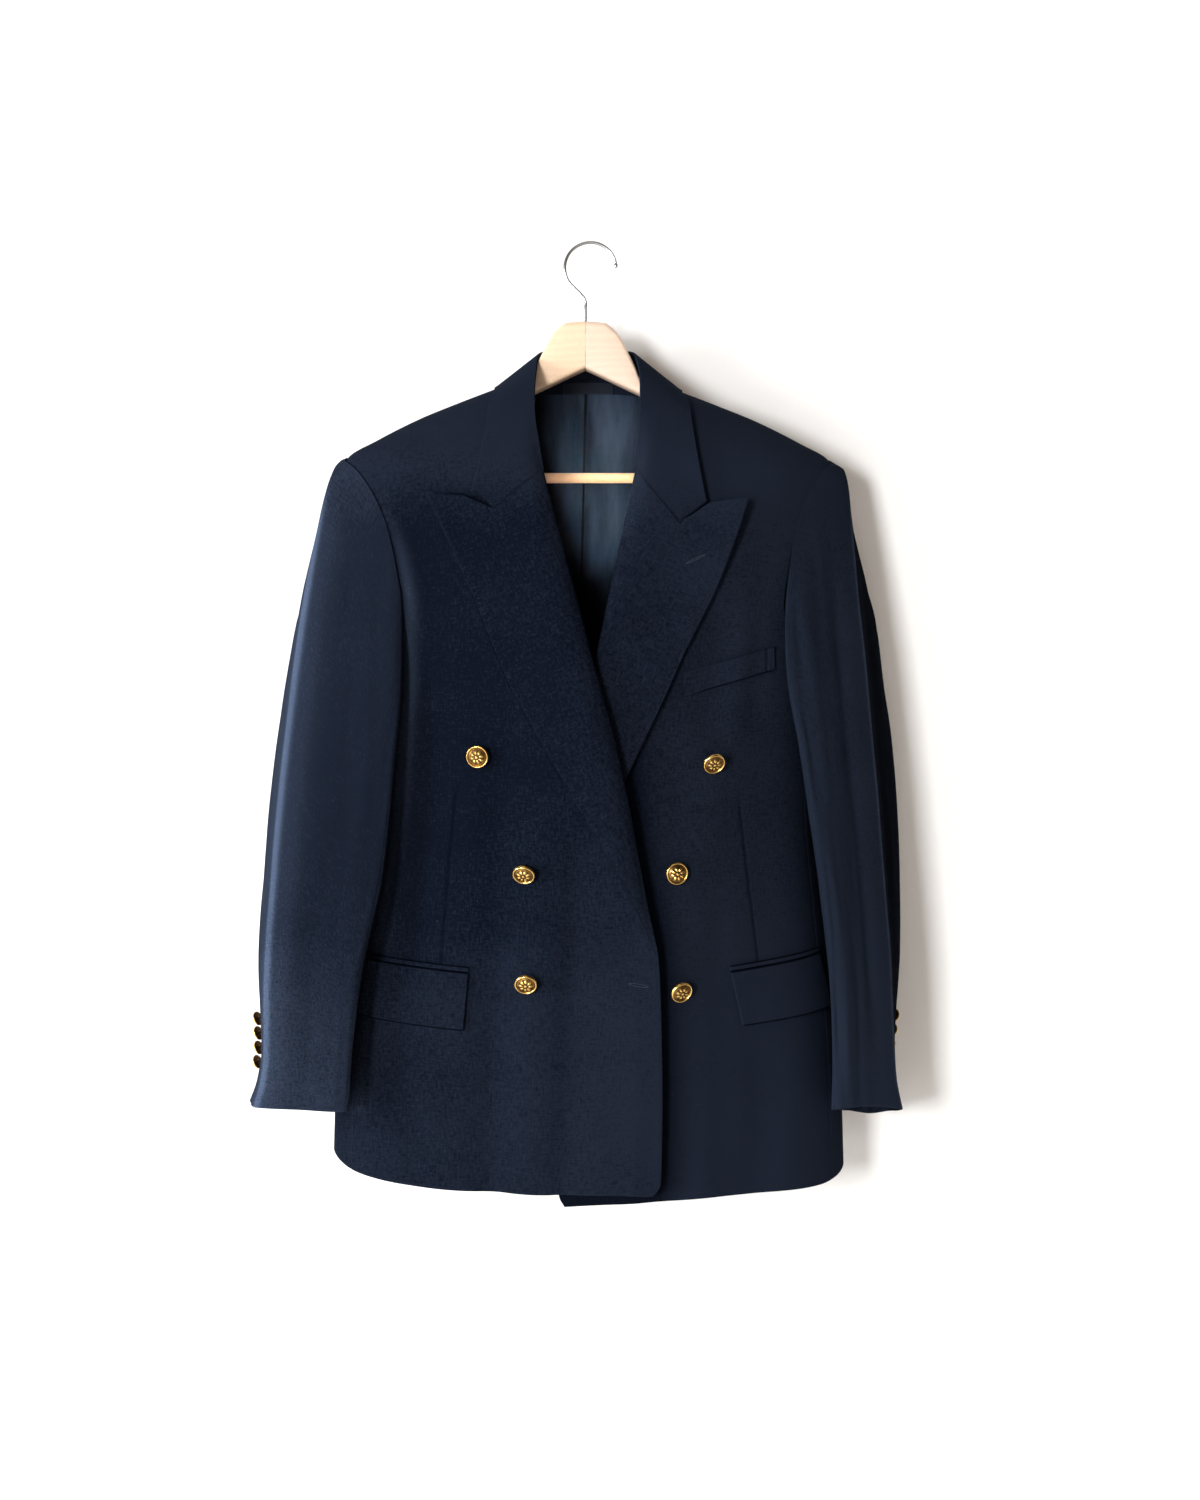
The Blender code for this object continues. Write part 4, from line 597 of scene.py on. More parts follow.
class Finish:
    """A material round one Principled shader."""

    def __init__(self, name, **fixed):
        self.material = bpy.data.materials.new(name)
        self.material.use_nodes = True
        self.tree = self.material.node_tree
        self.shader = self.tree.nodes["Principled BSDF"]
        for socket, value in fixed.items():
            self.put(self.shader.inputs[socket.replace("_", " ")], value)

    def put(self, socket, value):
        if isinstance(value, Value):
            self.tree.links.new(value.socket, socket)
        elif isinstance(value, bpy.types.NodeSocket):
            self.tree.links.new(value, socket)
        else:
            socket.default_value = value

    def node(self, kind, settings=None, sockets=None):
        node = self.tree.nodes.new(kind)
        for key, value in (settings or {}).items():
            setattr(node, key, value)
        for key, value in (sockets or {}).items():
            self.put(node.inputs[key], value)
        return node

    def value(self, kind, settings=None, sockets=None, output=0):
        return Value(self, self.node(kind, settings, sockets).outputs[output])

    def place(self):
        return self.node("ShaderNodeTexCoord").outputs["Object"]

    def chart(self):
        return self.node("ShaderNodeUVMap", {"uv_map": "cloth"}).outputs["UV"]

    def parts(self, vector):
        split = self.node("ShaderNodeSeparateXYZ", None, {"Vector": vector})
        return [Value(self, socket) for socket in split.outputs]

    def stretched(self, vector, scale):
        sockets = {"Vector": vector, "Scale": scale}
        return self.node("ShaderNodeMapping", {"vector_type": "POINT"}, sockets).outputs[0]

    def noise(self, vector, scale, detail=2.0, roughness=0.5):
        sockets = {"Vector": vector, "Scale": scale, "Detail": detail, "Roughness": roughness}
        return self.value("ShaderNodeTexNoise", {"noise_dimensions": "3D"}, sockets)

    def streaks(self, vector, scale, detail=2.0, roughness=0.5):
        """Noise drawn out along one way of the cloth or the wood."""
        return self.noise(self.stretched(vector, scale), 1.0, detail, roughness)

    def cells(self, vector, scale):
        sockets = {"Vector": vector, "Scale": scale}
        return self.value("ShaderNodeTexVoronoi", {"feature": "F1"}, sockets)

    def bell(self, value, middle, half):
        """1 at the middle, falling away smoothly to both sides."""
        return 1.0 - ((value - middle).size() * (0.5 / half)).ramp(0.0, 1.0)

    def attribute(self, name):
        return Value(self, self.node("ShaderNodeAttribute", {"attribute_name": name}).outputs["Fac"])

    def mixed(self, share, first, second):
        node = self.node("ShaderNodeMix", {"data_type": "RGBA"})
        self.put(node.inputs[0], share)
        self.put(node.inputs[6], first)
        self.put(node.inputs[7], second)
        return node.outputs[2]

    def set(self, socket, value):
        self.put(self.shader.inputs[socket], value)

    def bump(self, height, distance, strength=1.0):
        sockets = {"Height": height, "Distance": distance, "Strength": strength}
        self.set("Normal", self.node("ShaderNodeBump", None, sockets).outputs["Normal"])


def colour(red, green, blue):
    return (red, green, blue, 1.0)


TWILL_PITCH, THREAD_PITCH, LABEL_RIB = 0.00085, 0.00045, 0.0006
# The wool's colours for painted light and for painted shade, and the fluff on it
PAINTED_LIGHT_DEEP, PAINTED_LIGHT_PALE = colour(0.018, 0.027, 0.05), colour(0.072, 0.098, 0.158)
PAINTED_SHADE, FLUFF = colour(0.0009, 0.0015, 0.0038), colour(0.16, 0.2, 0.27)


def make_wool(name, deep, pale):
    """Fine navy twill: threads, a diagonal rib, mottled dye, fluff, pale edges that are partly wear and
    partly painted highlight, and painted light and shade.
    """
    wool = Finish(name, Sheen_Weight=0.008, Sheen_Roughness=0.22,
                  Sheen_Tint=colour(0.4, 0.62, 1.0), Specular_IOR_Level=0.004)
    chart = wool.chart()
    over, down, _ = wool.parts(chart)
    rib = (over * 0.85 + down).wave(TWILL_PITCH)
    warp = over.wave(THREAD_PITCH)
    weft = down.wave(THREAD_PITCH)
    streak_down = wool.streaks(chart, (900.0, 90.0, 1.0))
    streak_over = wool.streaks(chart, (90.0, 900.0, 1.0))
    mottle = wool.noise(chart, 330.0, 3.0, 0.6)
    broad = wool.noise(wool.place(), 14.0, 3.0, 0.55)
    across, _, height = wool.parts(wool.place())
    # Painted light: paler towards the shoulders, the foot and +X, and darker across the chest, as the
    # light falls.
    painted_light_fall = 1.6 * height.ramp(-0.31, -0.17) + 0.65 * (1.0 - height.ramp(-0.8, -0.58)) - 0.54
    painted_light_fall = painted_light_fall + 1.3 * across.ramp(-0.18, 0.28) - 0.13
    # Pale edges: partly wear, partly a painted highlight along them.
    edge = 1.0 - wool.attribute("edge").ramp(0.0004, 0.0018)
    tone = 0.5 + 1.8 * (mottle - 0.5) + 1.3 * (streak_down - 0.5) + 1.1 * (streak_over - 0.5)
    tone = tone + 0.06 * rib
    tone = (tone + 0.8 * (broad - 0.5) + 0.25 * edge + 0.8 * painted_light_fall).most(0.0)
    # Painted light above 0 and painted shade below 0, marked on each piece.
    painted_light = wool.attribute("painted_light")
    painted_lit_colour = wool.mixed(tone + 0.25 - 0.8 * painted_light_fall, PAINTED_LIGHT_DEEP, PAINTED_LIGHT_PALE)
    base = wool.mixed(painted_light.most(0.0), wool.mixed(tone, deep, pale), painted_lit_colour)
    base = wool.mixed((-painted_light).most(0.0), base, PAINTED_SHADE)
    fluff = wool.cells(chart, 85.0).below(0.03) * wool.noise(chart, 40.0, 0.0).ramp(0.54, 0.6)
    wool.set("Base Color", wool.mixed(fluff * 0.30, base, FLUFF))
    wool.set("Roughness", 0.74 + 0.16 * mottle)
    relief = 0.45 * mottle + 0.2 * rib + 0.12 * (warp * weft) + 0.25 * (streak_down + streak_over)
    wool.bump(relief, 0.00026, 0.85)
    return wool.material


NECK_BAND = -0.1405  # above this height the lining gives way to a band of the navy cloth


def make_satin():
    """The back's slippery lining, with fine warp lines, painted sheen streaks, painted shade along the
    pleat and painted shadow over its left side.
    """
    satin = Finish("satin_lining", Sheen_Weight=0.02, Sheen_Roughness=0.30, Specular_IOR_Level=0.012)
    chart = satin.chart()
    threads = satin.streaks(chart, (1400.0, 60.0, 1.0))
    crinkle = satin.streaks(chart, (60.0, 14.0, 1.0), 3.0, 0.6)
    height = satin.parts(chart)[1]
    navy_band = height.ramp(NECK_BAND - 0.0006, NECK_BAND)
    over, _, rise = satin.parts(satin.place())
    ripple = satin.streaks(chart, (14.0, 7.0, 1.0), 2.0, 0.6)
    sway = 0.03 * (satin.streaks(chart, (5.0, 16.0, 1.0)) - 0.5)
    # Painted sheen: two broad highlight streaks, one each side of the middle.
    bands = satin.bell(over + sway, -0.022, 0.019) + 0.95 * satin.bell(over + sway, 0.026, 0.021)
    bands = bands * (0.3 + 1.1 * ripple)
    # Painted shade along the pleat.
    lean = over - 0.024 * (rise + 0.138)
    pleat = 0.9 * satin.bell(lean, -0.0013, 0.0009) + 0.35 * satin.bell(lean, 0.0018, 0.004)
    sheen = (0.3 + 0.7 * bands + 1.3 * (crinkle - 0.5) + 0.3 * (threads - 0.5) - pleat).most(0.0)
    # Painted shadow: the lining darkens towards its left side, more so lower down.
    left = over + 0.34 * (rise + 0.19).least(0.0)
    sheen = sheen * left.ramp(-0.056, -0.03)
    silk = satin.mixed(sheen, colour(0.0012, 0.0019, 0.0032), colour(0.027, 0.0405, 0.068))
    satin.set("Base Color", satin.mixed(navy_band, silk, colour(0.006, 0.009, 0.017)))
    satin.set("Roughness", 0.38 + 0.14 * threads)
    satin.bump(0.25 * threads + crinkle, 0.0009, 0.8)
    return satin.material


LABEL_DEEP, LABEL_PALE = colour(0.003, 0.0044, 0.009), colour(0.0095, 0.0132, 0.023)


def make_label_weave():
    """A woven label left plain: fine ribs and a denser edge."""
    weave = Finish("label_weave", Roughness=0.6, Specular_IOR_Level=0.12)
    chart = weave.chart()
    rib = weave.parts(chart)[1].wave(LABEL_RIB)
    thread = weave.streaks(chart, (1500.0, 200.0, 1.0))
    edge = 1.0 - weave.attribute("edge").ramp(0.0006, 0.0012)
    tone = 0.3 + 0.15 * rib + 0.3 * thread + 0.45 * edge
    weave.set("Base Color", weave.mixed(tone, LABEL_DEEP, LABEL_PALE))
    weave.bump(0.5 * rib + thread, 0.00012, 0.7)
    return weave.material


def make_gilt():
    """Polished gilt brass, browned in the hollows of its relief, with fine scratches."""
    gilt = Finish("gilt_brass", Metallic=1.0)
    place = gilt.place()
    hollow = gilt.attribute("hollow")
    smear = gilt.noise(place, 260.0, 3.0, 0.6)
    scratch = gilt.streaks(place, (2600.0, 400.0, 900.0))
    gold = gilt.mixed(smear, colour(0.96, 0.66, 0.24), colour(0.78, 0.46, 0.12))
    browned = hollow.ramp(0.15, 0.65) * 0.96
    gilt.set("Base Color", gilt.mixed(browned, gold, colour(0.085, 0.036, 0.010)))
    gilt.set("Roughness", 0.15 + 0.10 * smear + 0.22 * hollow + 0.05 * scratch)
    gilt.bump(0.6 * smear + 0.3 * scratch, 0.0001, 0.6)
    return gilt.material


def make_chrome():
    chrome = Finish("bright_chrome", Metallic=1.0)
    place = chrome.place()
    haze = chrome.noise(place, 120.0, 3.0, 0.6)
    drawn = chrome.streaks(place, (400.0, 400.0, 60.0))
    chrome.set("Base Color", chrome.mixed(haze, colour(0.60, 0.61, 0.62), colour(0.44, 0.45, 0.46)))
    chrome.set("Roughness", 0.10 + 0.12 * haze + 0.05 * drawn)
    chrome.bump(drawn, 0.00005, 0.5)
    return chrome.material


def make_maple(name, pale, warm):
    """Clear-lacquered pale wood with its grain along X."""
    wood = Finish(name, Coat_Weight=0.18, Coat_Roughness=0.25)
    place = wood.place()
    sway = wood.streaks(place, (10.0, 30.0, 30.0))
    _, y, z = wood.parts(place)
    growth = ((z * 900.0 + y * 500.0 + sway * 16.0)).sine()
    fibre = wood.streaks(place, (90.0, 1500.0, 1500.0), 3.0, 0.6)
    pores = wood.streaks(place, (260.0, 2600.0, 2600.0), 1.0).ramp(0.62, 0.74)
    tone = 0.3 + 0.13 * growth + 0.4 * fibre + 0.3 * (sway - 0.5)
    base = wood.mixed(tone, pale, warm)
    wood.set("Base Color", wood.mixed(pores * 0.35, base, colour(0.46, 0.28, 0.14)))
    wood.set("Roughness", 0.36 + 0.16 * fibre)
    wood.bump(0.3 * growth + fibre, 0.00009, 0.6)
    return wood.material


def make_thread(name, tint):
    thread = Finish(name, Roughness=0.7, Specular_IOR_Level=0.15)
    twist = thread.noise(thread.place(), 1800.0, 2.0)
    thread.set("Base Color", thread.mixed(twist, tint, colour(*(1.7 * part for part in tint[:3]))))
    thread.bump(twist, 0.00008, 0.6)
    return thread.material


BOUNCE = colour(1.0, 0.82, 0.66)  # light that a large room gives back


def make_backdrop():
    """White paint that shows only its front, so the jacket can be seen from behind."""
    paint = Finish("white_wall", Roughness=0.9, Emission_Strength=0.115, Emission_Color=BOUNCE)
    grain = paint.noise(paint.place(), 40.0, 3.0, 0.6)
    paint.set("Base Color", paint.mixed(grain, colour(0.86, 0.86, 0.855), colour(0.90, 0.90, 0.895)))
    paint.bump(grain, 0.0002, 0.2)
    clear = paint.node("ShaderNodeBsdfTransparent")
    behind = paint.node("ShaderNodeNewGeometry").outputs["Backfacing"]
    ways = {0: behind, 1: paint.shader.outputs[0], 2: clear.outputs[0]}
    choice = paint.node("ShaderNodeMixShader", None, ways)
    paint.tree.links.new(choice.outputs[0], paint.tree.nodes["Material Output"].inputs["Surface"])
    return paint.material


WOOL = make_wool("navy_twill", colour(0.0032, 0.0049, 0.0101), colour(0.0112, 0.0154, 0.0266))
SATIN = make_satin()
LABEL_WEAVE = make_label_weave()
GILT = make_gilt()
CHROME = make_chrome()
# The arms' one wood in two copies, painted light: the -X half painted warmer and darker as if turned from
# the light, the +X half paler.
MAPLE_LIT_HALF = make_maple("maple_lit_half", colour(0.87, 0.68, 0.54), colour(0.78, 0.55, 0.40))
MAPLE_SHADED_HALF = make_maple("maple_shaded_half", colour(0.94, 0.69, 0.49), colour(0.84, 0.57, 0.37))
MAPLE_BAR = make_maple("maple_bar", colour(0.98, 0.60, 0.34), colour(0.92, 0.52, 0.26))
THREAD = make_thread("navy_thread", colour(0.0100, 0.0150, 0.0250))
HOLE_THREAD = make_thread("buttonhole_thread", colour(0.0175, 0.0265, 0.0355))
WALL_PAINT = make_backdrop()


# ---- drape that the cloth shows
# More soft folds of the fronts: top x and height, bottom x and height, half width, depth
FINE_FOLDS = [
    (-0.168, -0.25, -0.164, -0.5, 0.011, -0.0012), (0.176, -0.28, 0.16, -0.47, 0.012, -0.0022),
    (0.186, -0.33, 0.184, -0.4, 0.005, -0.0014), (-0.136, -0.5, -0.15, -0.9, 0.012, 0.0007),
    (-0.058, -0.56, -0.072, -0.96, 0.01, 0.0008), (-0.022, -0.6, -0.036, -0.96, 0.009, 0.001),
    (0.02, -0.64, 0.01, -0.96, 0.012, -0.001), (0.05, -0.7, 0.046, -0.96, 0.012, 0.0012),
    (0.122, -0.56, 0.138, -0.96, 0.014, -0.001),
]
# Waves that cloth keeps after wear: length across, length down, turn, start, depth
SLACK_WAVES = [
    (0.19, 0.62, 0.3, 0.4, 0.0006), (0.11, 0.45, -0.2, 2.1, 0.00045),
    (0.071, 0.26, 0.45, 4.4, 0.00028), (0.047, 0.33, -0.6, 1.2, 0.00018),
    (0.031, 0.14, 0.8, 5.3, 0.00009),
]


def slack(over, down, amount=1.0):
    """Small uneven waves, from distances over and down the cloth."""
    total = np.zeros(np.broadcast(over, down).shape)
    for across, length, turn, start, depth in SLACK_WAVES:
        wave = np.sin(2 * math.pi * (over / across + turn * down / length) + start)
        total = total + depth * wave * np.cos(2 * math.pi * down / length + 1.7 * start)
    return total * amount


ARMHOLE_CLEAR = 0.035  # the fronts' folds come in over this distance from the armhole's seam
ARMHOLE_END = (-0.4, -0.47)  # heights between which they no longer fade towards it
FOLD_GAIN = 1.5


def clear_of_armhole(x, z):
    """0 at the armhole's seam and 1 a little way in front of it."""
    rows = [(height, degrees) for _, degrees, height in ARMHOLE_ROWS[:9]]
    angle = np.radians(along(rows, 1, z) + LEFT_ARMHOLE_SHIFT / 2)
    reach = along(BODY_ROWS, 1, z) * np.sin(angle) ** (2.0 / ROUNDNESS)
    clear = smooth_step(0.0, ARMHOLE_CLEAR, reach - np.abs(x - BODY_X))
    return np.maximum(clear, smooth_step(*ARMHOLE_END, z))


def ridges(folds, x, z, fade_from=0.92):
    """Soft folds from a table, each fading out from this share of its length on."""
    relief = np.zeros(np.broadcast(x, z).shape)
    for top_x, top_z, foot_x, foot_z, half_width, depth in folds:
        down = (top_z - z) / (top_z - foot_z)
        fade = smooth_step(0.0, 0.3, down) * (1.0 - smooth_step(fade_from, 1.2, down))
        middle = blend(top_x, foot_x, np.clip(down, 0.0, 1.0))
        relief = relief + depth * fade * hump(x, middle, half_width)
    return relief


def drape(x, z):
    folds = FOLD_GAIN * ridges(FOLDS, x, z, 0.96) + ridges(FINE_FOLDS, x, z) + slack(x, z)
    return folds * clear_of_armhole(x, z)


def front_rise(side, x, z):
    """How far a front's cloth stands off the body's form, folds and all."""
    rise = drape(x, z)
    if side == RIGHT:
        rise = rise + along(OVERLAP_ROWS, 1, z) * smooth_step(OVERLAP_FROM, OVERLAP_FULL, x)
    return rise


def on_front(side, x, z, above):
    return off_body(angle_at(x, z), z, front_rise(side, x, z) + above)


def by_index(values, at):
    """A smooth curve through values at whole steps."""
    return along(list(enumerate(values)), 1, at)


# ---- body pieces
ROWS_A_STEP = 11  # fine rows between two rows of the tables
DART_TOP = {RIGHT: (-0.1235, -0.524), LEFT: (0.1455, -0.536)}  # x and height
DART_FOOT = {RIGHT: (-0.14, -0.716), LEFT: (0.168, -0.712)}
DART_PART = 0.55  # the dart's place among a front's columns
DART_RANGE = (0.3, 0.75)  # and how far it may move over, as a part of the front's width
FRONT_ACROSS = 0.3  # metres across a front, about
DART_FADES = (0.03, 0.012)  # lengths over which the dart's top and foot fade
DART_SIDES = (-0.006, -0.003, -0.0012, 0.0, 0.0012, 0.003, 0.006)
DART_DEEP, DART_WIDE = {RIGHT: 0.0012, LEFT: 0.0007}, 0.0013
FRONT_MESH, SIDE_MESH, BACK_MESH = 76, 34, 60  # columns of each panel
SIDE_ROWS, SIDE_STRAIGHT = 70, 0.85  # a side body's rows, and the part of them below the armhole


def dart_x(side, z):
    (top_x, top_z), (foot_x, foot_z) = DART_TOP[side], DART_FOOT[side]
    return top_x + (foot_x - top_x) * (top_z - z) / (top_z - foot_z)


def hem_height(side, angle):
    """The hem's height round a side, from the front's own curve to the back's."""
    front = along(HEM_ROWS[side], 1, body_point(angle, HEM_LEVEL)[..., 0])
    return blend(front, HEM_BEHIND, smooth_step(*HEM_TURNS, np.degrees(np.abs(angle))))


def side_edge(side, at, turns):
    """Angles and heights at rows up a side seam from the hem, then round the armhole."""
    seam_angle, seam_top = armhole(side, turns[0])
    levels = [hem_height(side, seam_angle), *SIDE_SEAM_HEIGHTS, float(seam_top)]
    hole_angle, hole_z = armhole(side, np.interp(at, SEAM_CORNER + np.arange(len(turns)), turns))
    z = np.where(at <= SEAM_CORNER, np.interp(at, np.arange(len(levels)), levels), hole_z)
    return np.where(at <= SEAM_CORNER, seam_angle, hole_angle), z


def hole_gap(at, under):
    """How far a panel's outer edge draws in at its side seam, and at the armhole's seam."""
    return blend(BODY_WALL / 2 - SEAM_LAP, under, smooth_step(SEAM_CORNER, SEAM_CORNER + 0.4, at))


def front_chart(side):
    """Angles and heights over a front, with a column that follows its dart."""
    edge_rows = FRONT_EDGE[side]
    neck = FRONT_NECK_ROWS[::-1]
    edge_z = [z for z, _ in edge_rows] + [z for _, z in neck]
    last_edge = len(edge_rows) - 1
    last = len(edge_z) - 1
    at = np.linspace(0.0, last, last * ROWS_A_STEP + 1)
    inner_z = by_index(edge_z, at)
    inner_x = by_index([x for _, x in edge_rows], np.minimum(at, last_edge))
    neck_angles = [side * math.radians(degrees) for degrees, _ in neck]
    turn_in = angle_at(np.array([edge_rows[-1][1]]), np.array([edge_rows[-1][0]]))[0]
    neck_angle = by_index([turn_in] + neck_angles, np.maximum(at - last_edge, 0.0))
    inner_angle = np.where(at <= last_edge, angle_at(inner_x, inner_z), neck_angle)
    outer_angle, outer_z = side_edge(side, at, FRONT_TURNS)
    near = DART_PART + np.array(DART_SIDES) / FRONT_ACROSS
    before = np.linspace(0.0, near[0], int(FRONT_MESH * DART_PART))[:-1]
    after = np.linspace(near[-1], 1.0, int(FRONT_MESH * (1 - DART_PART)))[1:]
    columns = np.concatenate([before, near, after])
    z_there = blend(inner_z, outer_z, DART_PART)
    dart_angle = angle_at(dart_x(side, z_there), z_there)
    share = (dart_angle - inner_angle) / (outer_angle - inner_angle + 1e-9 * side)
    share = np.clip(share, *DART_RANGE)
    shares = np.where(
        columns[None, :] < DART_PART,
        columns[None, :] / DART_PART * share[:, None],
        share[:, None] + (columns[None, :] - DART_PART) / (1 - DART_PART) * (1 - share[:, None]),
    )
    angle = inner_angle[:, None] + (outer_angle - inner_angle)[:, None] * shares
    z = inner_z[:, None] + (outer_z - inner_z)[:, None] * shares
    hem = along(HEM_ROWS[side], 1, body_point(angle[0], HEM_LEVEL)[..., 0])
    fade = np.clip(1.0 - at, 0.0, 1.0)[:, None]
    z = z + (hem - z[0])[None, :] * fade
    return angle, z


UNDER_SLEEVE = 0.0025  # how far a body panel goes on under the sleeve's seam
ROLL_TUCK = 0.0034  # how far a front's edge draws in behind the rolled lapel
OVER_SHADE = 0.7  # how dark the painted shadow is that the over front's edge throws on the under front
DARKEST = -0.9  # the darkest painted shade
ROLL_FROM = {RIGHT: 4.6, LEFT: 5.2}  # the front edge's row where the lapel's roll starts


# Height and x of a band of the right front, beside its sleeve, painted paler where the sleeve's shadow
# falls
BESIDE_SLEEVE = [
    (-0.88, -0.233), (-0.78, -0.2275), (-0.68, -0.2125), (-0.59, -0.1975), (-0.49, -0.188),
    (-0.425, -0.182), (-0.37, -0.182), (-0.31, -0.191), (-0.26, -0.21),
]


BESIDE_PALE, BESIDE_OUT, BESIDE_HALF = 0.2, 0.011, 0.0075  # how pale, how far to +X, half width
BESIDE_TOP, BESIDE_FOOT = (-0.24, -0.36), (-0.868, -0.845)  # heights between which it fades


# Painted light: a pale band on the right front just beside the sleeve, where the sleeve's shadow falls.
def beside_sleeve(x, z, side):
    if side == LEFT:
        return 0.0
    band = BESIDE_PALE * hump(x - along(BESIDE_SLEEVE, 1, z), BESIDE_OUT, BESIDE_HALF)
    return band * smooth_step(*BESIDE_TOP, z) * smooth_step(*BESIDE_FOOT, z)


def panel(name, angle, z, rise, thickness, gaps, finish, chart, painted_light=0.0):
    """A wall whose face stands off the form by rise, with its back a thickness under it."""
    outer, inner = (shifted_in(off_body(angle, z, height), gaps) for height in (rise, rise - thickness))
    return cloth_wall(name, outer, inner, finish, chart, painted_light)


def make_front(side):
    angle, z = front_chart(side)
    x = body_point(angle, z)[..., 0]
    rise = front_rise(side, x, z)
    top, foot = DART_TOP[side][1], DART_FOOT[side][1]
    in_dart = smooth_step(foot - DART_FADES[1], foot, z) * (1.0 - smooth_step(top - DART_FADES[0], top, z))
    dart = in_dart * hump(x, dart_x(side, z), DART_WIDE)
    rise = rise - DART_DEEP[side] * dart
    at = np.arange(len(z)) / ROWS_A_STEP
    tuck = blend(BODY_WALL / 2, ROLL_TUCK, smooth_step(ROLL_FROM[side], ROLL_FROM[side] + 0.5, at))
    hole = hole_gap(at, -UNDER_SLEEVE if side == RIGHT else BODY_WALL / 2 - FLUSH_LAP)
    # Painted light beside the right sleeve, and painted shade along the dart.
    painted_light = beside_sleeve(x, z, side) - 0.5 * dart
    if side == LEFT:
        # Painted shadow of the over front's edge on the under front, from the waist down.
        from_edge = np.maximum(x - along(FRONT_EDGE[RIGHT], 1, z) - 0.004, 0.0)
        painted_light = painted_light - OVER_SHADE * (1.0 - smooth_step(-0.52, -0.44, z)) * hump(from_edge, 0.0, 0.017)
    gaps = (BODY_WALL / 2, 0.0, tuck, hole)
    return panel(f"front_{SIDE_NAMES[side]}", angle, z, rise, BODY_WALL, gaps, WOOL,
                 np.stack([x, z], axis=-1), np.maximum(painted_light, DARKEST))


# Soft folds of the back and of its lining, as those of the fronts
BACK_FOLDS = [
    (0.03, -0.33, 0.045, -0.93, 0.022, 0.003), (0.085, -0.45, 0.105, -0.93, 0.026, -0.0034),
    (0.14, -0.4, 0.15, -0.93, 0.024, 0.0028), (0.19, -0.44, 0.2, -0.93, 0.018, -0.0022),
    (-0.035, -0.36, -0.05, -0.93, 0.02, 0.0026), (-0.095, -0.43, -0.108, -0.93, 0.027, -0.0036),
    (-0.15, -0.42, -0.155, -0.93, 0.022, 0.0026), (-0.195, -0.45, -0.2, -0.93, 0.018, -0.002),
]


def back_rise(angle, z):
    """The back's folds, which die away towards the side seams."""
    x = body_point(angle, z)[..., 0]
    return ridges(BACK_FOLDS, x, z) * smooth_step(112.0, 135.0, np.degrees(np.abs(angle)))


def make_side_body(side):
    top_turn = np.linspace(FRONT_TURNS[0], BACK_TURNS[0], SIDE_MESH)
    top_angle, top_z = armhole(side, top_turn)
    even = blend(top_angle[0], top_angle[-1], np.linspace(0.0, 1.0, SIDE_MESH))
    share = np.linspace(0.0, 1.0, SIDE_ROWS)
    low = SIDE_SEAM_HEIGHTS[-1]
    hem = hem_height(side, even)
    start_z = hem[None, :] + (low - hem[None, :]) * np.minimum(share / SIDE_STRAIGHT, 1.0)[:, None]
    up = np.clip((share - SIDE_STRAIGHT) / 0.15, 0.0, 1.0)
    z = blend(start_z, top_z[None, :], up[:, None])
    angle = blend(even[None, :], top_angle[None, :], up[:, None])
    base = body_point(angle, z)
    seam_x = base[:, :1, 0]
    front_share = np.linspace(1.0, 0.0, SIDE_MESH)[None, :] ** 2
    rise = front_rise(side, np.repeat(seam_x, SIDE_MESH, axis=1), z) * front_share
    back_share = np.linspace(0.0, 1.0, SIDE_MESH)[None, :] ** 2
    rise = rise + back_rise(np.repeat(angle[:, -1:], SIDE_MESH, axis=1), z) * back_share
    gaps = (BODY_WALL / 2, -UNDER_SLEEVE, BODY_WALL / 2 - SEAM_LAP, BODY_WALL / 2 - SEAM_LAP)
    chart = np.stack([base[..., 1] * -side, z], axis=-1)
    return panel(f"side_{SIDE_NAMES[side]}", angle, z, rise, BODY_WALL, gaps, WOOL, chart)


def make_back(side):
    neck = BACK_NECK_ROWS[1:]
    last = len(SIDE_SEAM_HEIGHTS) + len(BACK_TURNS)
    above = np.linspace(SIDE_SEAM_HEIGHTS[-1], BACK_NECK_ROWS[0][1], len(BACK_TURNS) + 1 - len(neck))[1:]
    knots_z = np.concatenate([[HEM_BACK], SIDE_SEAM_HEIGHTS, above, [z for _, z in neck]])
    centre = len(knots_z) - len(neck) - 1
    at = np.linspace(0.0, last, last * ROWS_A_STEP + 1)
    inner_z = by_index(knots_z, at)
    degrees = by_index([180.0] + [turned for turned, _ in neck], np.maximum(at - centre, 0.0))
    inner_angle = side * np.radians(degrees)
    outer_angle, outer_z = side_edge(side, at, BACK_TURNS)
    columns = np.linspace(0.0, 1.0, BACK_MESH)
    angle = spread(inner_angle, outer_angle, columns)
    z = spread(inner_z, outer_z, columns)
    gaps = (BODY_WALL / 2, 0.0, BODY_WALL / 2 - SEAM_LAP, hole_gap(at, -UNDER_SLEEVE))
    chart = np.stack([body_point(angle, z)[..., 0], z], axis=-1)
    return panel(f"back_{SIDE_NAMES[side]}", angle, z, back_rise(angle, z), BODY_WALL, gaps, WOOL, chart)


LINING_FOLDS = [
    (0.012, -0.14, 0.008, -0.42, 0.006, 0.002), (0.026, -0.15, 0.02, -0.33, 0.005, -0.0018),
    (0.036, -0.15, 0.034, -0.3, 0.005, 0.0022), (-0.018, -0.16, -0.02, -0.4, 0.007, 0.0016),
    (-0.034, -0.15, -0.028, -0.42, 0.006, -0.0016), (0.048, -0.17, 0.04, -0.44, 0.008, -0.002),
    (-0.05, -0.15, -0.046, -0.3, 0.007, 0.0015),
]


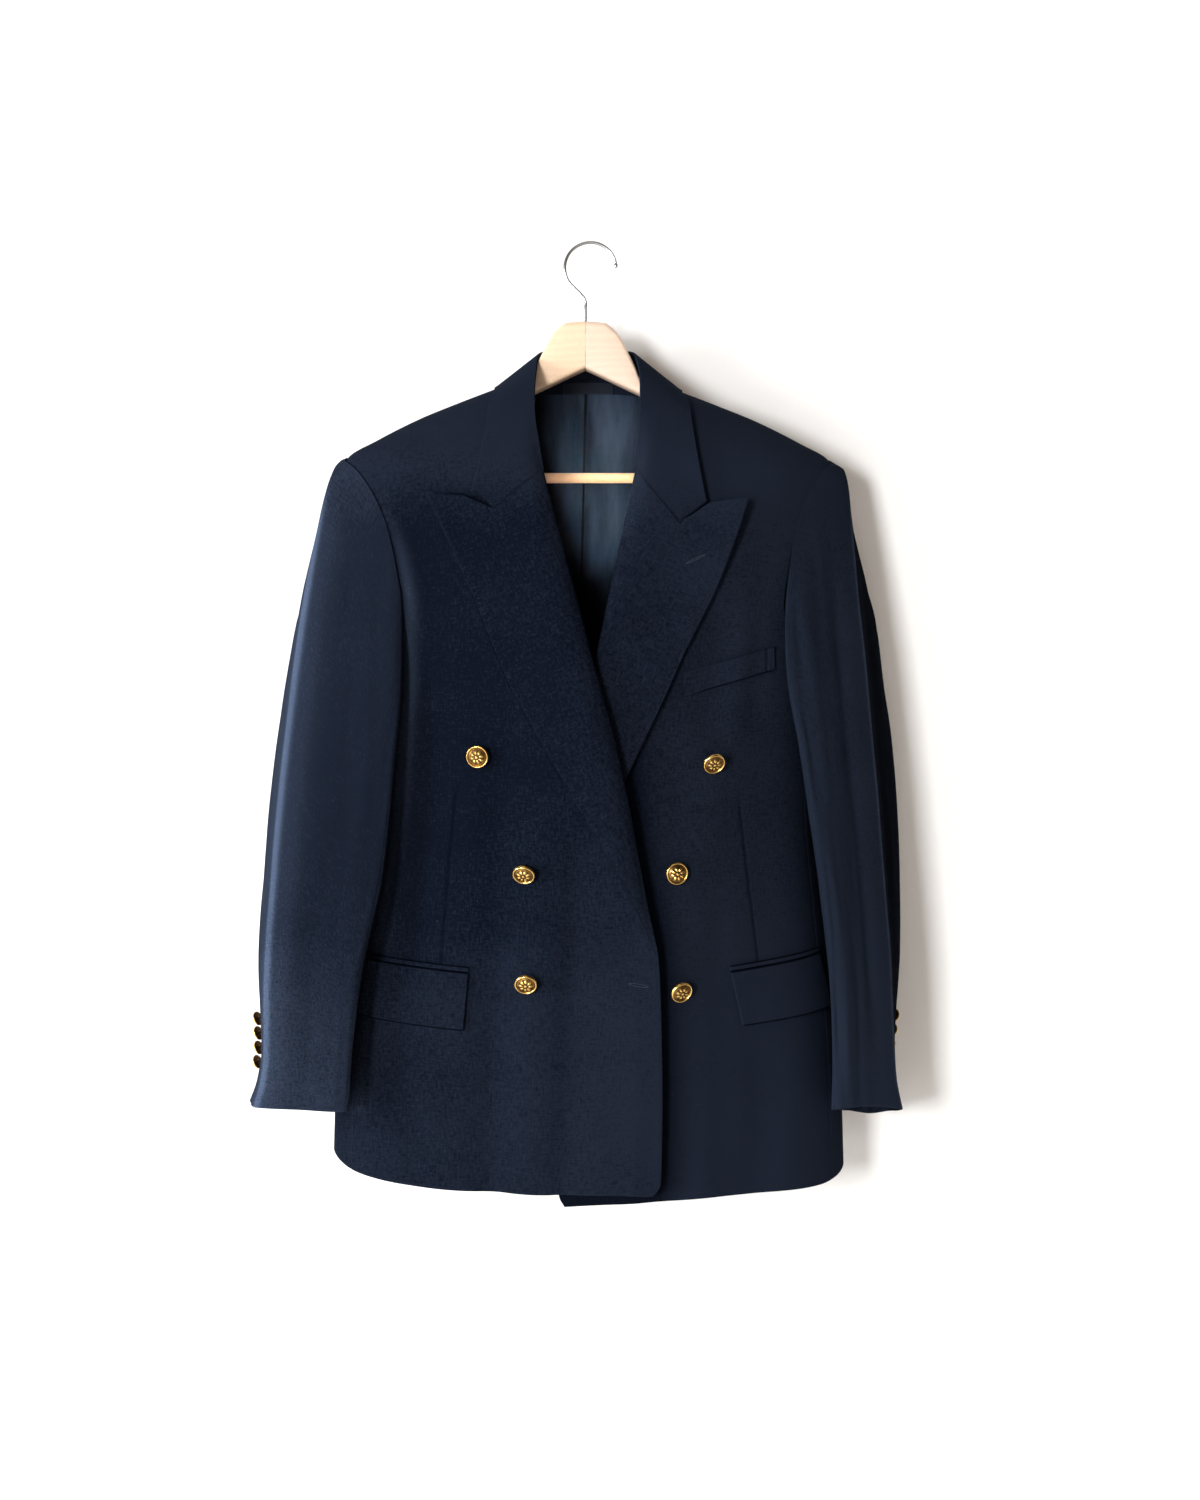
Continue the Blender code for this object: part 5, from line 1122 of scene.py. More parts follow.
def make_lining():
    reach = math.radians(LINING_REACH)
    angle = math.pi + np.linspace(-reach, reach, 121)
    neck_z = along(BACK_NECK_ROWS[::-1], 1, 180.0 - np.degrees(np.abs(angle - math.pi)))
    share = np.linspace(0.0, 1.0, 150) ** 1.2
    z = blend(neck_z[None, :] - 0.0008, LINING_FOOT, share[:, None])
    angle = np.repeat(angle[None, :], len(share), axis=0)
    x = body_point(angle, z)[..., 0]
    middle = -0.012 * np.clip((neck_z[0] - z) / 0.27, 0.0, 1.0) + 0.0005
    pleat = 0.0024 * hump(x, middle, 0.003) - 0.0016 * hump(x - middle, -0.0035, 0.0016)
    pleat = pleat * smooth_step(0.02, 0.12, share)[:, None]
    slackness = LINING_SLACK * smooth_step(0.0, 0.12, share)[:, None]
    waves = slack(x * 2.4, z * 1.3, 1.2) * smooth_step(0.0, 0.1, share)[:, None]
    folds = ridges(LINING_FOLDS, x, z) + waves
    lift = -(BODY_WALL + LINING_GAP + slackness + pleat + 0.0012) + folds * 0.9
    return panel("back_lining", angle, z, lift, LINING_WALL, (LINING_WALL / 2,) * 4, SATIN,
                 np.stack([x, z], axis=-1))


def make_label():
    x = np.linspace(-LABEL_SIZE[0] / 2, LABEL_SIZE[0] / 2, 60) + LABEL_X
    z = LABEL_TOP - np.linspace(0.0, LABEL_SIZE[1], 14)
    x, z = np.meshgrid(x, z)
    angle = math.pi - angle_at(x, z)
    share = (BACK_NECK_ROWS[0][1] - z) / (BACK_NECK_ROWS[0][1] - LINING_FOOT)
    slackness = LINING_SLACK * smooth_step(0.0, 0.12, share)
    wave = 0.0004 * np.sin(x * 190.0) + 0.0003 * np.sin(x * 83.0 + z * 120.0)
    lift = -(BODY_WALL + LINING_GAP + LINING_WALL + LABEL_GAP + slackness + 0.0016) + wave
    return panel("neck_label", angle, z, lift, LABEL_WALL, (LABEL_WALL / 2,) * 4, LABEL_WEAVE,
                 np.stack([x, z], axis=-1))


# ---- what lies on the fronts
def spaced_round(start_x, end_x, z, columns):
    start, end = angle_at(start_x, z[:, 0]), angle_at(end_x, z[:, -1])
    return body_point(spread(start, end, columns), z)[..., 0]


def laid_on_front(name, side, x, z, gap, thickness, finish, chart, gaps, painted_light=0.0):
    outer = shifted_in(on_front(side, x, z, gap + thickness), gaps)
    inner = shifted_in(on_front(side, x, z, gap), gaps)
    return cloth_wall(name, outer, inner, finish, chart, painted_light)


NOTCH_PART = {RIGHT: 0.413, LEFT: 0.394}
LAPEL_MESH, LAPEL_STEPS = 64, 15  # columns, and fine rows between two rows of the table
LAPEL_GRAIN = 22.0  # degrees that the lapel's twill leans


def peak_drop(side, part):
    """The peak's top edge under the straight line from roll to tip: a V at the notch."""
    notch = NOTCH_PART[side]
    low = [row for row in PEAK_ROWS[side] if row[0] <= notch]
    high = [row for row in PEAK_ROWS[side] if row[0] >= notch]
    return np.where(part <= notch, np.interp(part, *zip(*low)), np.interp(part, *zip(*high)))


def lapel_chart(side):
    rows = LAPEL_ROWS[side]
    at = np.linspace(0.0, len(rows) - 1, (len(rows) - 1) * LAPEL_STEPS + 1)
    roll_z, roll_x, edge_z, edge_x = (by_index([row[k] for row in rows], at) for k in range(4))
    notch = NOTCH_PART[side]
    part = np.concatenate([
        np.array([0.0, 0.012, 0.03, 0.055]), np.linspace(0.085, notch, 22)[:-1],
        np.linspace(notch, 0.97, LAPEL_MESH - 28), [0.985, 1.0],
    ])
    x = spread(roll_x, edge_x, part)
    fade = np.clip(1.0 - at / PEAK_FADE, 0.0, 1.0) ** 2
    z = spread(roll_z, edge_z, part) - fade[:, None] * peak_drop(side, part)[None, :]
    return x, z, roll_x, part


# How far a lapel's edge stands off the chest at its tip and lower down
TIP_STAND, EDGE_STAND = {RIGHT: 0.0016, LEFT: 0.01}, {RIGHT: 0.0006, LEFT: 0.0034}
PEAK_DARK = {RIGHT: (0.7, 1.05), LEFT: (0.42, 0.62)}  # parts of the way over which the painted shade along its peak's top edge fades
EDGE_DARK = {RIGHT: -0.7, LEFT: 0.0}  # the painted shade along its outer edge below the peak
PEAK_STAND = {RIGHT: 0.0042, LEFT: 0.0}  # how far the peak's top edge stands up halfway along
ROLL_PUFF = {RIGHT: 0.0105, LEFT: 0.005}  # how far the lapel swells up beside its roll


def lapel_lift(side, x, roll_x, part):
    """Height of the lapel's underside: the roll stands up at the fold, and the edge a little."""
    from_roll = np.abs(x - roll_x[:, None])
    at = np.arange(len(x)) / LAPEL_STEPS
    last = at[-1]
    stand = blend(TIP_STAND[side], EDGE_STAND[side], smooth_step(0.0, 2.6, at))
    stand = stand * (1.0 - smooth_step(last - 4.5, last - 0.5, at))
    out = smooth_step(0.35, 1.0, part) ** 1.5
    end = 1.0 - smooth_step(last - 1.6, last, at)
    swell = ROLL_PUFF[side] * (1.0 - np.exp(-from_roll / 0.014)) * hump(from_roll, 0.0, 0.05)
    rise = (swell - 0.0023 * hump(from_roll, 0.0, 0.0036)) * blend(0.1, 1.0, end)[:, None]
    peak = hump(part, 0.62, 0.16) * hump(at[:, None], 0.0, 0.8) * PEAK_STAND[side]
    return LAID_GAP * blend(-0.6, 1.0, end)[:, None] + rise + stand[:, None] * out[None, :] + peak


def lapel_form(side):
    """A lapel's chart with the height of its underside."""
    x, z, roll_x, part = lapel_chart(side)
    return x, z, roll_x, part, lapel_lift(side, x, roll_x, part)


def make_lapel(side):
    x, z, roll_x, part, gap = lapel_form(side)
    outer = on_front(side, x, z, gap + LAPEL_WALL)
    tuck = hump(x, roll_x[:, None], 0.0035)
    inner = on_front(side, x, z, gap - (gap + BODY_WALL + 0.001) * tuck)
    half = np.linalg.norm(outer[:, 0] - inner[:, 0], axis=-1) / 2
    width = np.linalg.norm(outer[:, -1] - outer[:, 0], axis=-1)
    half = np.minimum(half, 0.3 * width)
    gaps = (-SEAM_LAP, LAPEL_WALL / 4, half, np.minimum(LAPEL_WALL / 2, 0.2 * width))
    outer, inner = shifted_in(outer, gaps), shifted_in(inner, gaps)
    lean = math.radians(LAPEL_GRAIN) * side
    cosine, sine = math.cos(lean), math.sin(lean)
    chart = np.stack([x * cosine - z * sine, x * sine + z * cosine], axis=-1)
    notch = NOTCH_PART[side]
    # Painted shade along the gorge seam and the peak's top edge, and along the outer edge below the peak.
    seam = -0.55 * (part < notch) * smooth_step(0.03, 0.15, part)
    peak = -0.95 * (part >= notch) * (1.0 - smooth_step(*PEAK_DARK[side], part))
    painted_light = np.zeros(x.shape)
    painted_light[0] = seam + peak
    painted_light[1:, -1] = EDGE_DARK[side] * smooth_step(0.3, 0.4, -z[1:, -1])
    return cloth_wall(f"lapel_{SIDE_NAMES[side]}", outer, inner, WOOL, chart, painted_light)


def make_pocket(side):
    inner_x, inner_z, outer_x, outer_z, deep = POCKET_ROWS[side]
    part = np.linspace(0.0, 1.0, 60)
    top_z = blend(inner_z, outer_z, part)
    name = SIDE_NAMES[side]
    z = top_z[None, :] - np.linspace(0.0, JET_DEEP, 6)[:, None]
    x = spaced_round(inner_x, outer_x, z, part)
    puff = 0.0006 * np.sin(np.pi * np.linspace(0.0, 1.0, 6))[:, None]
    chart = np.stack([x, z + 0.37], axis=-1)
    # Painted shade in the grooves along the jets' top and bottom edges.
    dark = np.array([DARKEST, 0.0, 0.0, 0.0, 0.0, DARKEST])[:, None]
    jet = laid_on_front(f"pocket_jet_{name}", side, x, z, POCKET_GAP - 0.0004 + 0 * x + puff, WELT_WALL,
                        WOOL, chart, (0.0004, 0.0009, 0.0008, 0.0008), dark)
    down = np.linspace(0.0, deep, 30)
    lean = FLAP_LEAN[side] * down / deep
    z = top_z[None, :] - JET_DEEP - down[:, None]
    x = spaced_round(inner_x + lean, outer_x + lean, z, part)
    belly = 0.0012 * smooth_step(0.0, 0.5, down / deep)[:, None] * np.sin(np.pi * part)[None, :]
    stand = 0.0006 + 0.0016 * (down / deep)[:, None] ** 2
    chart = np.stack([x, z + 0.11], axis=-1)
    # Painted shade along the flap's top and bottom edges and at the right flap's outer end, then painted
    # light beside the sleeve.
    dark = DARKEST * ((down < 0.001) | (down > deep - 0.001))[:, None]
    dark = np.clip(dark - 0.6 * (side == RIGHT) * (part[None, :] > 0.99), DARKEST, 0.0)
    dark = dark + beside_sleeve(x, z, side)
    flap = laid_on_front(f"pocket_flap_{name}", side, x, z, POCKET_GAP + 0 * x + belly + stand, FLAP_WALL,
                         WOOL, chart, (0.001, 0.0011, 0.0011, 0.0011), dark)
    return [jet, flap]


def make_chest_welt():
    start_x, start_z, end_x, end_z = WELT_BOTTOM
    part = np.linspace(0.0, 1.0, 120)
    up = np.linspace(0.0, WELT_DEEP, 14)
    x = np.repeat(blend(start_x, end_x, part)[None, :], len(up), axis=0)
    z = blend(start_z, end_z, part)[None, :] + up[:, None]
    chart = np.stack([x, z + 0.23], axis=-1)
    fade = smooth_step(0.0, 0.55, part)[None, :]
    share = (up / WELT_DEEP)[:, None]
    rise = blend(-0.0017, 0.0004, fade) * share + blend(-0.0006, 0.0009, fade) * (1 - share)
    groove = hump((1.0 - part) * (end_x - start_x), 0.0075, 0.0011)[None, :]
    # Painted shade along the welt's bottom seam, its top edge and the groove near its outer end.
    dark = -0.8 * (share < 0.01) * smooth_step(0.02, 0.3, part)[None, :]
    dark = dark - 0.35 * (share > 0.99) * fade - 0.45 * groove
    height = LAID_GAP + rise - 0.0007 * groove
    return laid_on_front("chest_welt", LEFT, x, z, height, WELT_WALL, WOOL, chart, (WELT_WALL / 2,) * 4,
                         np.clip(dark, DARKEST, 0.0))


# ---- collar
def through(points, steps, corners=(), tight=()):
    """Smooth curves through rows of points, with a sharp turn at each corner row and a closer
    turn at each tight one."""
    before = np.diff(points, axis=0)
    slope = np.gradient(points, axis=0)
    slope[0], slope[-1] = before[0], before[-1]
    for k in tight:
        slope[k] *= 0.45
    leaving, arriving = slope.copy(), slope.copy()
    for k in corners:
        arriving[k], leaving[k] = before[k - 1], before[k]
    shaped = []
    for step in steps:
        k = min(int(step), len(points) - 2)
        shaped.append(bend(points[k], points[k + 1], leaving[k], arriving[k + 1], step - k))
    return np.array(shaped)


COLLAR_EDGE_STAND = {RIGHT: 0.0004, LEFT: 0.0026}  # how far its front edge lifts off the chest


def collar_half(side):
    rows = COLLAR_FRONT_ROWS[side]
    seam_z, edge_z = (np.array([row[k] for row in rows + COLLAR_BACK_ROWS]) for k in (1, 6))

    def angles(k, z):
        before = angle_at(side * np.array([row[k] for row in rows]), z[:len(rows)])
        return np.concatenate([before, np.radians([side * row[k] for row in COLLAR_BACK_ROWS])])

    def above(angle, z, height):
        in_front = np.where(np.cos(angle) > 0.0, drape(body_point(angle, z)[..., 0], z), 0.0)
        return off_body(angle, z, height + in_front)

    seam_angle, edge_angle = angles(0, seam_z), angles(5, edge_z)
    fold = np.array([(side * row[2], row[3], row[4]) for row in rows + COLLAR_BACK_ROWS])
    lift = COLLAR_GAP + COLLAR_WALL / 2
    seam = above(seam_angle, seam_z, lift)
    stations = np.arange(len(edge_z))
    stand_off = COLLAR_EDGE_STAND[side] * (1.0 - smooth_step(2.5, 5.0, stations))
    close = 0.0013 * smooth_step(2.0, 4.0, stations)
    edge = above(edge_angle, edge_z, lift + stand_off - close)
    middle_angle = blend(seam_angle, edge_angle, COLLAR_MIDDLE)
    middle_z = blend(seam_z, edge_z, COLLAR_MIDDLE)
    middle = above(middle_angle, middle_z, lift + COLLAR_SWELL)
    middle[0] = above(middle_angle[:1], middle_z[:1], lift + COLLAR_END_SWELL)
    stand = blend(seam, fold, 0.5)
    return np.array([seam, stand, fold, middle, edge])


ROLL_DRAW = {RIGHT: 0.0027, LEFT: 0.0021}  # how far the fold's end draws back to meet the roll
GORGE_REACH = 34  # fine stations over which the collar eases to the lapel's top edge


def gorge_shift(side, centre, steps):
    """Moves the collar's front end onto the lapel's top edge, from the roll to the notch."""
    x, z, roll_x, part, gap = lapel_form(side)
    top = on_front(side, x[:1], z[:1], gap[:1] + LAPEL_WALL / 2)[0]
    end = centre[:, 0]
    fall = np.searchsorted(steps, 2.0)
    length = lengths(end[fall:])
    share = length / length[-1] * NOTCH_PART[side]
    target = np.stack([np.interp(share, part, top[:, k]) for k in range(3)], axis=-1)
    target[:, 0] += side * ROLL_DRAW[side] * hump(length, 0.0, 0.01)
    shift = np.repeat((target[0] - end[fall])[None, :], len(end), axis=0)
    shift[fall:] = target - end[fall:]
    fade = 1.0 - smooth_step(0.0, GORGE_REACH, np.arange(centre.shape[1]))
    return shift[:, None, :] * fade[None, :, None]


def make_collar():
    right, left = collar_half(RIGHT), collar_half(LEFT)
    points = np.concatenate([right, left[:, -2::-1]], axis=1)
    last = points.shape[1] - 1
    ends = np.linspace(0.0, 1.0, 12)[:-1]
    stations = np.concatenate([ends, np.linspace(1.0, last - 1.0, (last - 2) * 10 + 1), last - ends[::-1]])
    by_station = np.moveaxis(points, 1, 0)
    smooth = through(by_station, stations)
    sharp = through(by_station, stations, corners=(1, last - 1))
    keep = np.array([0.0, 0.0, 0.0, 0.5, 1.0])[None, :, None]
    points = np.moveaxis(blend(smooth, sharp, keep), 0, 1)
    steps = [np.linspace(0.0, 1.5, 12)[:-1], np.linspace(1.5, 2.5, 18)[:-1], np.linspace(2.5, 4.0, 26)]
    steps = np.concatenate(steps)
    centre = through(points, steps, tight=(2,))
    centre = centre + gorge_shift(RIGHT, centre, steps)
    centre = centre + gorge_shift(LEFT, centre[:, ::-1], steps)[:, ::-1]
    outward = grid_normals(centre)
    gaps = (0.0, COLLAR_WALL / 4, 0.0, 0.0)
    at = np.array(stations)
    from_end = np.minimum(at, last - at)
    thin = 0.45 * smooth_step(3.0, 4.0, steps)[:, None] * smooth_step(4.0, 6.0, from_end)[None, :]
    half = (COLLAR_WALL / 2 * (1.0 - thin))[..., None]
    outer = shifted_in(centre + outward * (half - COLLAR_WALL / 2 * thin[..., None]), gaps)
    inner = shifted_in(centre - outward * COLLAR_WALL / 2, gaps)
    # Painted shade along the collar's outer edge near its ends and along both ends of its fall.
    painted_light = np.zeros(centre.shape[:2])
    painted_light[-1] = -0.35 * (at < 1.0) + DARKEST * (last - at < 4.5)
    painted_light[steps > 2.3, 0] = -0.55
    painted_light[steps > 2.3, -1] = -0.55
    painted_light[steps > 3.4, -1] = -0.95
    return cloth_wall("collar", outer, inner, WOOL, arc_map(centre), painted_light)


# ---- sleeves
SLEEVE_CREASE = {RIGHT: 0.55, LEFT: 0.85}  # how sharply each sleeve is pressed along its outer ridge


def sleeve_ring(side, turn, z):
    """x (outward) and y of a sleeve's outline at a height, round its four soft corners."""
    rows = SLEEVE_ROWS[side]
    ridge, front, inside, back = (
        np.stack([along(rows, column, z), along(rows, column + 1, z)], axis=-1)
        for column in (3, 1, 7, 5)
    )
    centre = (ridge + front + inside + back) / 4

    def between(a, b, swell):
        middle = (a + b) / 2
        return middle + unit(middle - centre) * swell

    corners = np.array([
        ridge, between(ridge, front, SLEEVE_SWELL[0]), front, between(front, inside, SLEEVE_SWELL[1]),
        inside, between(inside, back, SLEEVE_SWELL[2]), back, between(back, ridge, SLEEVE_SWELL[3]),
    ])
    turns = np.array(SLEEVE_CORNER_TURNS)
    count = len(turns)
    turn = np.asarray(turn) % 1.0
    k = np.searchsorted(turns, turn, side="right") - 1
    span = (np.roll(turns, -1) - turns) % 1.0
    t = ((turn - turns[k]) / span[k])[..., None]
    slope = (np.roll(corners, -1, axis=0) - np.roll(corners, 1, axis=0))
    slope = slope / (span + np.roll(span, 1)).reshape(-1, *([1] * (corners.ndim - 1)))
    leaving, arriving = slope.copy(), slope.copy()
    sharp = SLEEVE_CREASE[side]
    leaving[0] = blend(slope[0], (corners[1] - corners[0]) / span[0], sharp)
    arriving[0] = blend(slope[0], (corners[0] - corners[-1]) / span[-1], sharp)

    def pick(array, index):
        index = np.broadcast_to(index % count, array.shape[1:-1])
        return np.take_along_axis(array, index[None, ..., None], axis=0)[0]

    here, there = pick(corners, k), pick(corners, k + 1)
    out_here, out_there = pick(leaving, k), pick(arriving, k + 1)
    return bend(here, there, out_here, out_there, t, span[k][..., None])


def sleeve_point(side, turn, down):
    """Points of a sleeve's lining face; down runs from 0 at the armhole to 1 at the cuff."""
    turn, down = np.broadcast_arrays(np.asarray(turn, dtype=float), np.asarray(down, dtype=float))
    angle, hole_z = armhole(side, turn % 1.0)
    under = smooth_step(0.15, 0.35, turn % 1.0) * (1.0 - smooth_step(0.75, 0.9, turn % 1.0))
    stand = SLEEVE_STAND * under
    hole = off_body(angle, hole_z, stand)
    back_share = 0.5 - 0.5 * np.cos(2.0 * math.pi * (turn - 0.2))
    cuff_z = blend(CUFF_FRONT[side], CUFF_BACK[side], back_share)
    z = blend(hole_z, cuff_z, down)
    near = np.clip((hole_z - z) / CAP_BLEND, 0.0, 1.0)
    keep = ((1.0 - near) ** 2)[..., None]
    flat = sleeve_ring(side, turn, z)
    start = sleeve_ring(side, turn, hole_z)
    plan = flat + (np.stack([side * hole[..., 0], hole[..., 1]], axis=-1) - start) * keep
    z = z + (hole[..., 2] - hole_z) * keep[..., 0]
    return np.stack([side * plan[..., 0], plan[..., 1], z], axis=-1)


def sleeve_normal(side, turn, down):
    """Outward from the sleeve; the same on both sides of a seam."""
    step = 0.01
    round_it = sleeve_point(side, turn + step, down) - sleeve_point(side, turn - step, down)
    above, below = np.clip(down - step, 0.0, 1.0), np.clip(down + step, 0.0, 1.0)
    down_it = sleeve_point(side, turn, below) - sleeve_point(side, turn, above)
    return unit(np.cross(round_it, down_it)) * side


def facing(direction, tilt, turn):
    """A turn that takes +Z to a direction, then tilts it down and turns it to +X (degrees)."""
    level = Vector((direction[0], direction[1], 0.0)).normalized()
    level = Matrix.Rotation(math.radians(turn), 3, "Z") @ level
    sideways = level.cross(Vector((0.0, 0.0, 1.0)))
    axis = Matrix.Rotation(-math.radians(tilt), 3, sideways) @ level
    return axis.to_track_quat("Z", "Y").to_matrix().to_4x4()


# Soft folds of the sleeves: turn round the sleeve and share of its length at the fold's two ends,
# half width as a turn, depth
SLEEVE_FOLDS = {
    RIGHT: [
        (0.13, 0.1, 0.16, 0.95, 0.035, -0.0016), (0.22, 0.18, 0.24, 0.95, 0.03, 0.0014),
        (0.06, 0.3, 0.08, 0.98, 0.022, 0.0012), (0.3, 0.42, 0.22, 0.52, 0.03, -0.001),
        (0.7, 0.2, 0.72, 0.9, 0.04, -0.002), (0.55, 0.45, 0.66, 0.55, 0.04, -0.0022),
    ],
    LEFT: [
        (0.09, 0.1, 0.1, 0.9, 0.028, -0.004), (0.2, 0.08, 0.22, 0.95, 0.035, 0.002),
        (0.26, 0.3, 0.27, 0.95, 0.022, -0.001), (0.94, 0.16, 0.95, 0.8, 0.03, -0.003),
        (0.22, 0.575, 0.06, 0.6, 0.06, -0.0007), (0.7, 0.2, 0.72, 0.9, 0.04, -0.002),
        (0.55, 0.48, 0.66, 0.58, 0.04, -0.0022),
    ],
}
SLEEVE_ROUND, SLEEVE_LONG = 0.42, 0.64  # metres round and down a sleeve, about
SEAM_SINK = {RIGHT: 0.0, LEFT: 0.0017}  # how far the sleeve's front lies down into the armhole's seam


def sleeve_rise(side, turn, down):
    """Folds that run along the sleeve, gone at the armhole and soft at the cuff."""
    turn, down = np.broadcast_arrays(turn, down)
    rise = np.zeros(turn.shape)
    for start_turn, start, end_turn, end, width, depth in SLEEVE_FOLDS[side]:
        share = (down - start) / (end - start)
        fade = smooth_step(-0.15, 0.25, share) * (1.0 - smooth_step(0.8, 1.15, share))
        middle = blend(start_turn, end_turn, np.clip(share, 0.0, 1.0))
        away = (turn - middle + 0.5) % 1.0 - 0.5
        rise = rise + depth * fade * hump(away, 0.0, width)
    around = SLEEVE_ROUND * (0.5 - 0.5 * np.cos(2.0 * math.pi * turn))
    rise = (rise + slack(around, down * 0.63 + side, 1.4)) * smooth_step(0.0, 0.14, down)
    in_front = smooth_step(0.02, 0.08, turn % 1.0) * (1.0 - smooth_step(0.34, 0.4, turn % 1.0))
    return rise - SEAM_SINK[side] * in_front * (1.0 - smooth_step(0.0, 0.1, down))


def fine_between(table, steps):
    index = np.linspace(0.0, len(table) - 1, (len(table) - 1) * steps + 1)
    return np.interp(index, np.arange(len(table)), table)


SLEEVE_PAINTED_LIGHT = {RIGHT: 0.058, LEFT: 0.03}  # painted light on the sleeve's front
SLEEVE_TOP_PAINTED_LIGHT = {RIGHT: 1.15, LEFT: 0.3}  # how much of it there is at the armhole
CUFF_PALE = 1.9  # how much more of it there is at the cuff
RIDGE_WIDE = {RIGHT: 0.013, LEFT: 0.006}  # half width of the painted highlight on the pressed ridge, as a turn
# Painted highlight on the ridge; the strip behind it painted paler on the right sleeve and darker, as
# shade, on the left; painted light just in front of the ridge.
RIDGE_HIGHLIGHT = {RIGHT: 1.0, LEFT: 0.34}
BEHIND_PAINTED_LIGHT = {RIGHT: 0.26, LEFT: -0.96}
BESIDE_RIDGE_PAINTED_LIGHT = {RIGHT: 0.15, LEFT: 0.0}


def sleeve_painted_light(side, turn, down):
    """Painted light and shade on a sleeve: a painted highlight on its pressed ridge, the strip behind it
    painted paler or darker, and its front painted paler.
    """
    away = (turn + 0.5) % 1.0 - 0.5
    behind = smooth_step(-0.24, -0.11, away) * (1.0 - smooth_step(-0.012, 0.0, away))
    ridge = hump(away, 0.0, RIDGE_WIDE[side])
    beside = hump(away, 0.02, 0.06) * (away > 0.0)
    press = RIDGE_HIGHLIGHT[side] * ridge + BEHIND_PAINTED_LIGHT[side] * behind + BESIDE_RIDGE_PAINTED_LIGHT[side] * beside
    low = 0.6 * (1.0 - smooth_step(0.1, 0.9, down)) + CUFF_PALE * smooth_step(0.66, 0.98, down)
    front = SLEEVE_PAINTED_LIGHT[side] * smooth_step(-0.08, 0.02, away) * (0.6 + low)
    front = front * blend(SLEEVE_TOP_PAINTED_LIGHT[side], 1.0, smooth_step(0.0, 0.22, down))
    return press * smooth_step(0.02, 0.12, down) + front


def make_sleeve_piece(name, side, turns):
    turn, down = np.meshgrid(fine_between(turns, 8), fine_between(SLEEVE_STEPS, 9))
    normal = sleeve_normal(side, turn, down)
    inner = sleeve_point(side, turn, down) + normal * sleeve_rise(side, turn, down)[..., None]
    outer = inner + normal * SLEEVE_WALL
    lap = SEAM_LAP if side == RIGHT else FLUSH_LAP
    gaps = (SLEEVE_WALL / 2 - lap, SLEEVE_WALL / 2, SLEEVE_WALL / 2 - SEAM_LAP, SLEEVE_WALL / 2 - SEAM_LAP)
    chart = np.stack([side * SLEEVE_ROUND * turn, -SLEEVE_LONG * down], axis=-1)
    outer, inner = shifted_in(outer, gaps), shifted_in(inner, gaps)
    return cloth_wall(name, outer, inner, WOOL, chart, sleeve_painted_light(side, turn, down))


# ---- buttons
BUTTON_SPOKES = 64
SHANK_RADIUS = 0.14  # in parts of the button's
HOLLOW_BACK = 0.7  # how browned a button's back is
GROOVE_BROWN, BUTTON_GROOVE = 0.9, (0.775, 0.035)  # the same in the groove; its place and half width
FACE_END = 0.74  # radius at which the face with its rosette ends
BUTTON_RADII = [*np.linspace(0.04, 0.72, 17), *np.linspace(0.745, 1.0, 15)]
# A button's profile in parts of its radius: distance from the axis, height
BUTTON_CURVE = [
    (0.0, 0.395), (0.2, 0.385), (0.45, 0.335), (0.62, 0.265), (0.735, 0.195), (0.775, 0.178), (0.8, 0.185),
    (0.835, 0.245), (0.875, 0.275), (0.915, 0.265), (0.96, 0.21), (0.99, 0.13), (1.0, 0.06),
]
BUTTON_BACK = [(0.985, 0.01), (0.93, -0.03), (0.7, -0.06), (0.4, -0.08), (0.16, -0.085)]


def button_relief(radius, around):
    """A plain rosette on the dome: eight petals round a boss, inside a milled ring."""
    petal = np.cos(4.0 * around) ** 2
    milling = 0.6 + 0.4 * np.cos(36 * around)
    inside, boss = hump(radius, 0.4, 0.15), hump(radius, 0.0, 0.13)
    valley, ring = hump(radius, 0.19, 0.05), hump(radius, 0.675, 0.035)
    return 0.085 * petal * inside + 0.06 * boss - 0.03 * valley + 0.03 * ring * milling


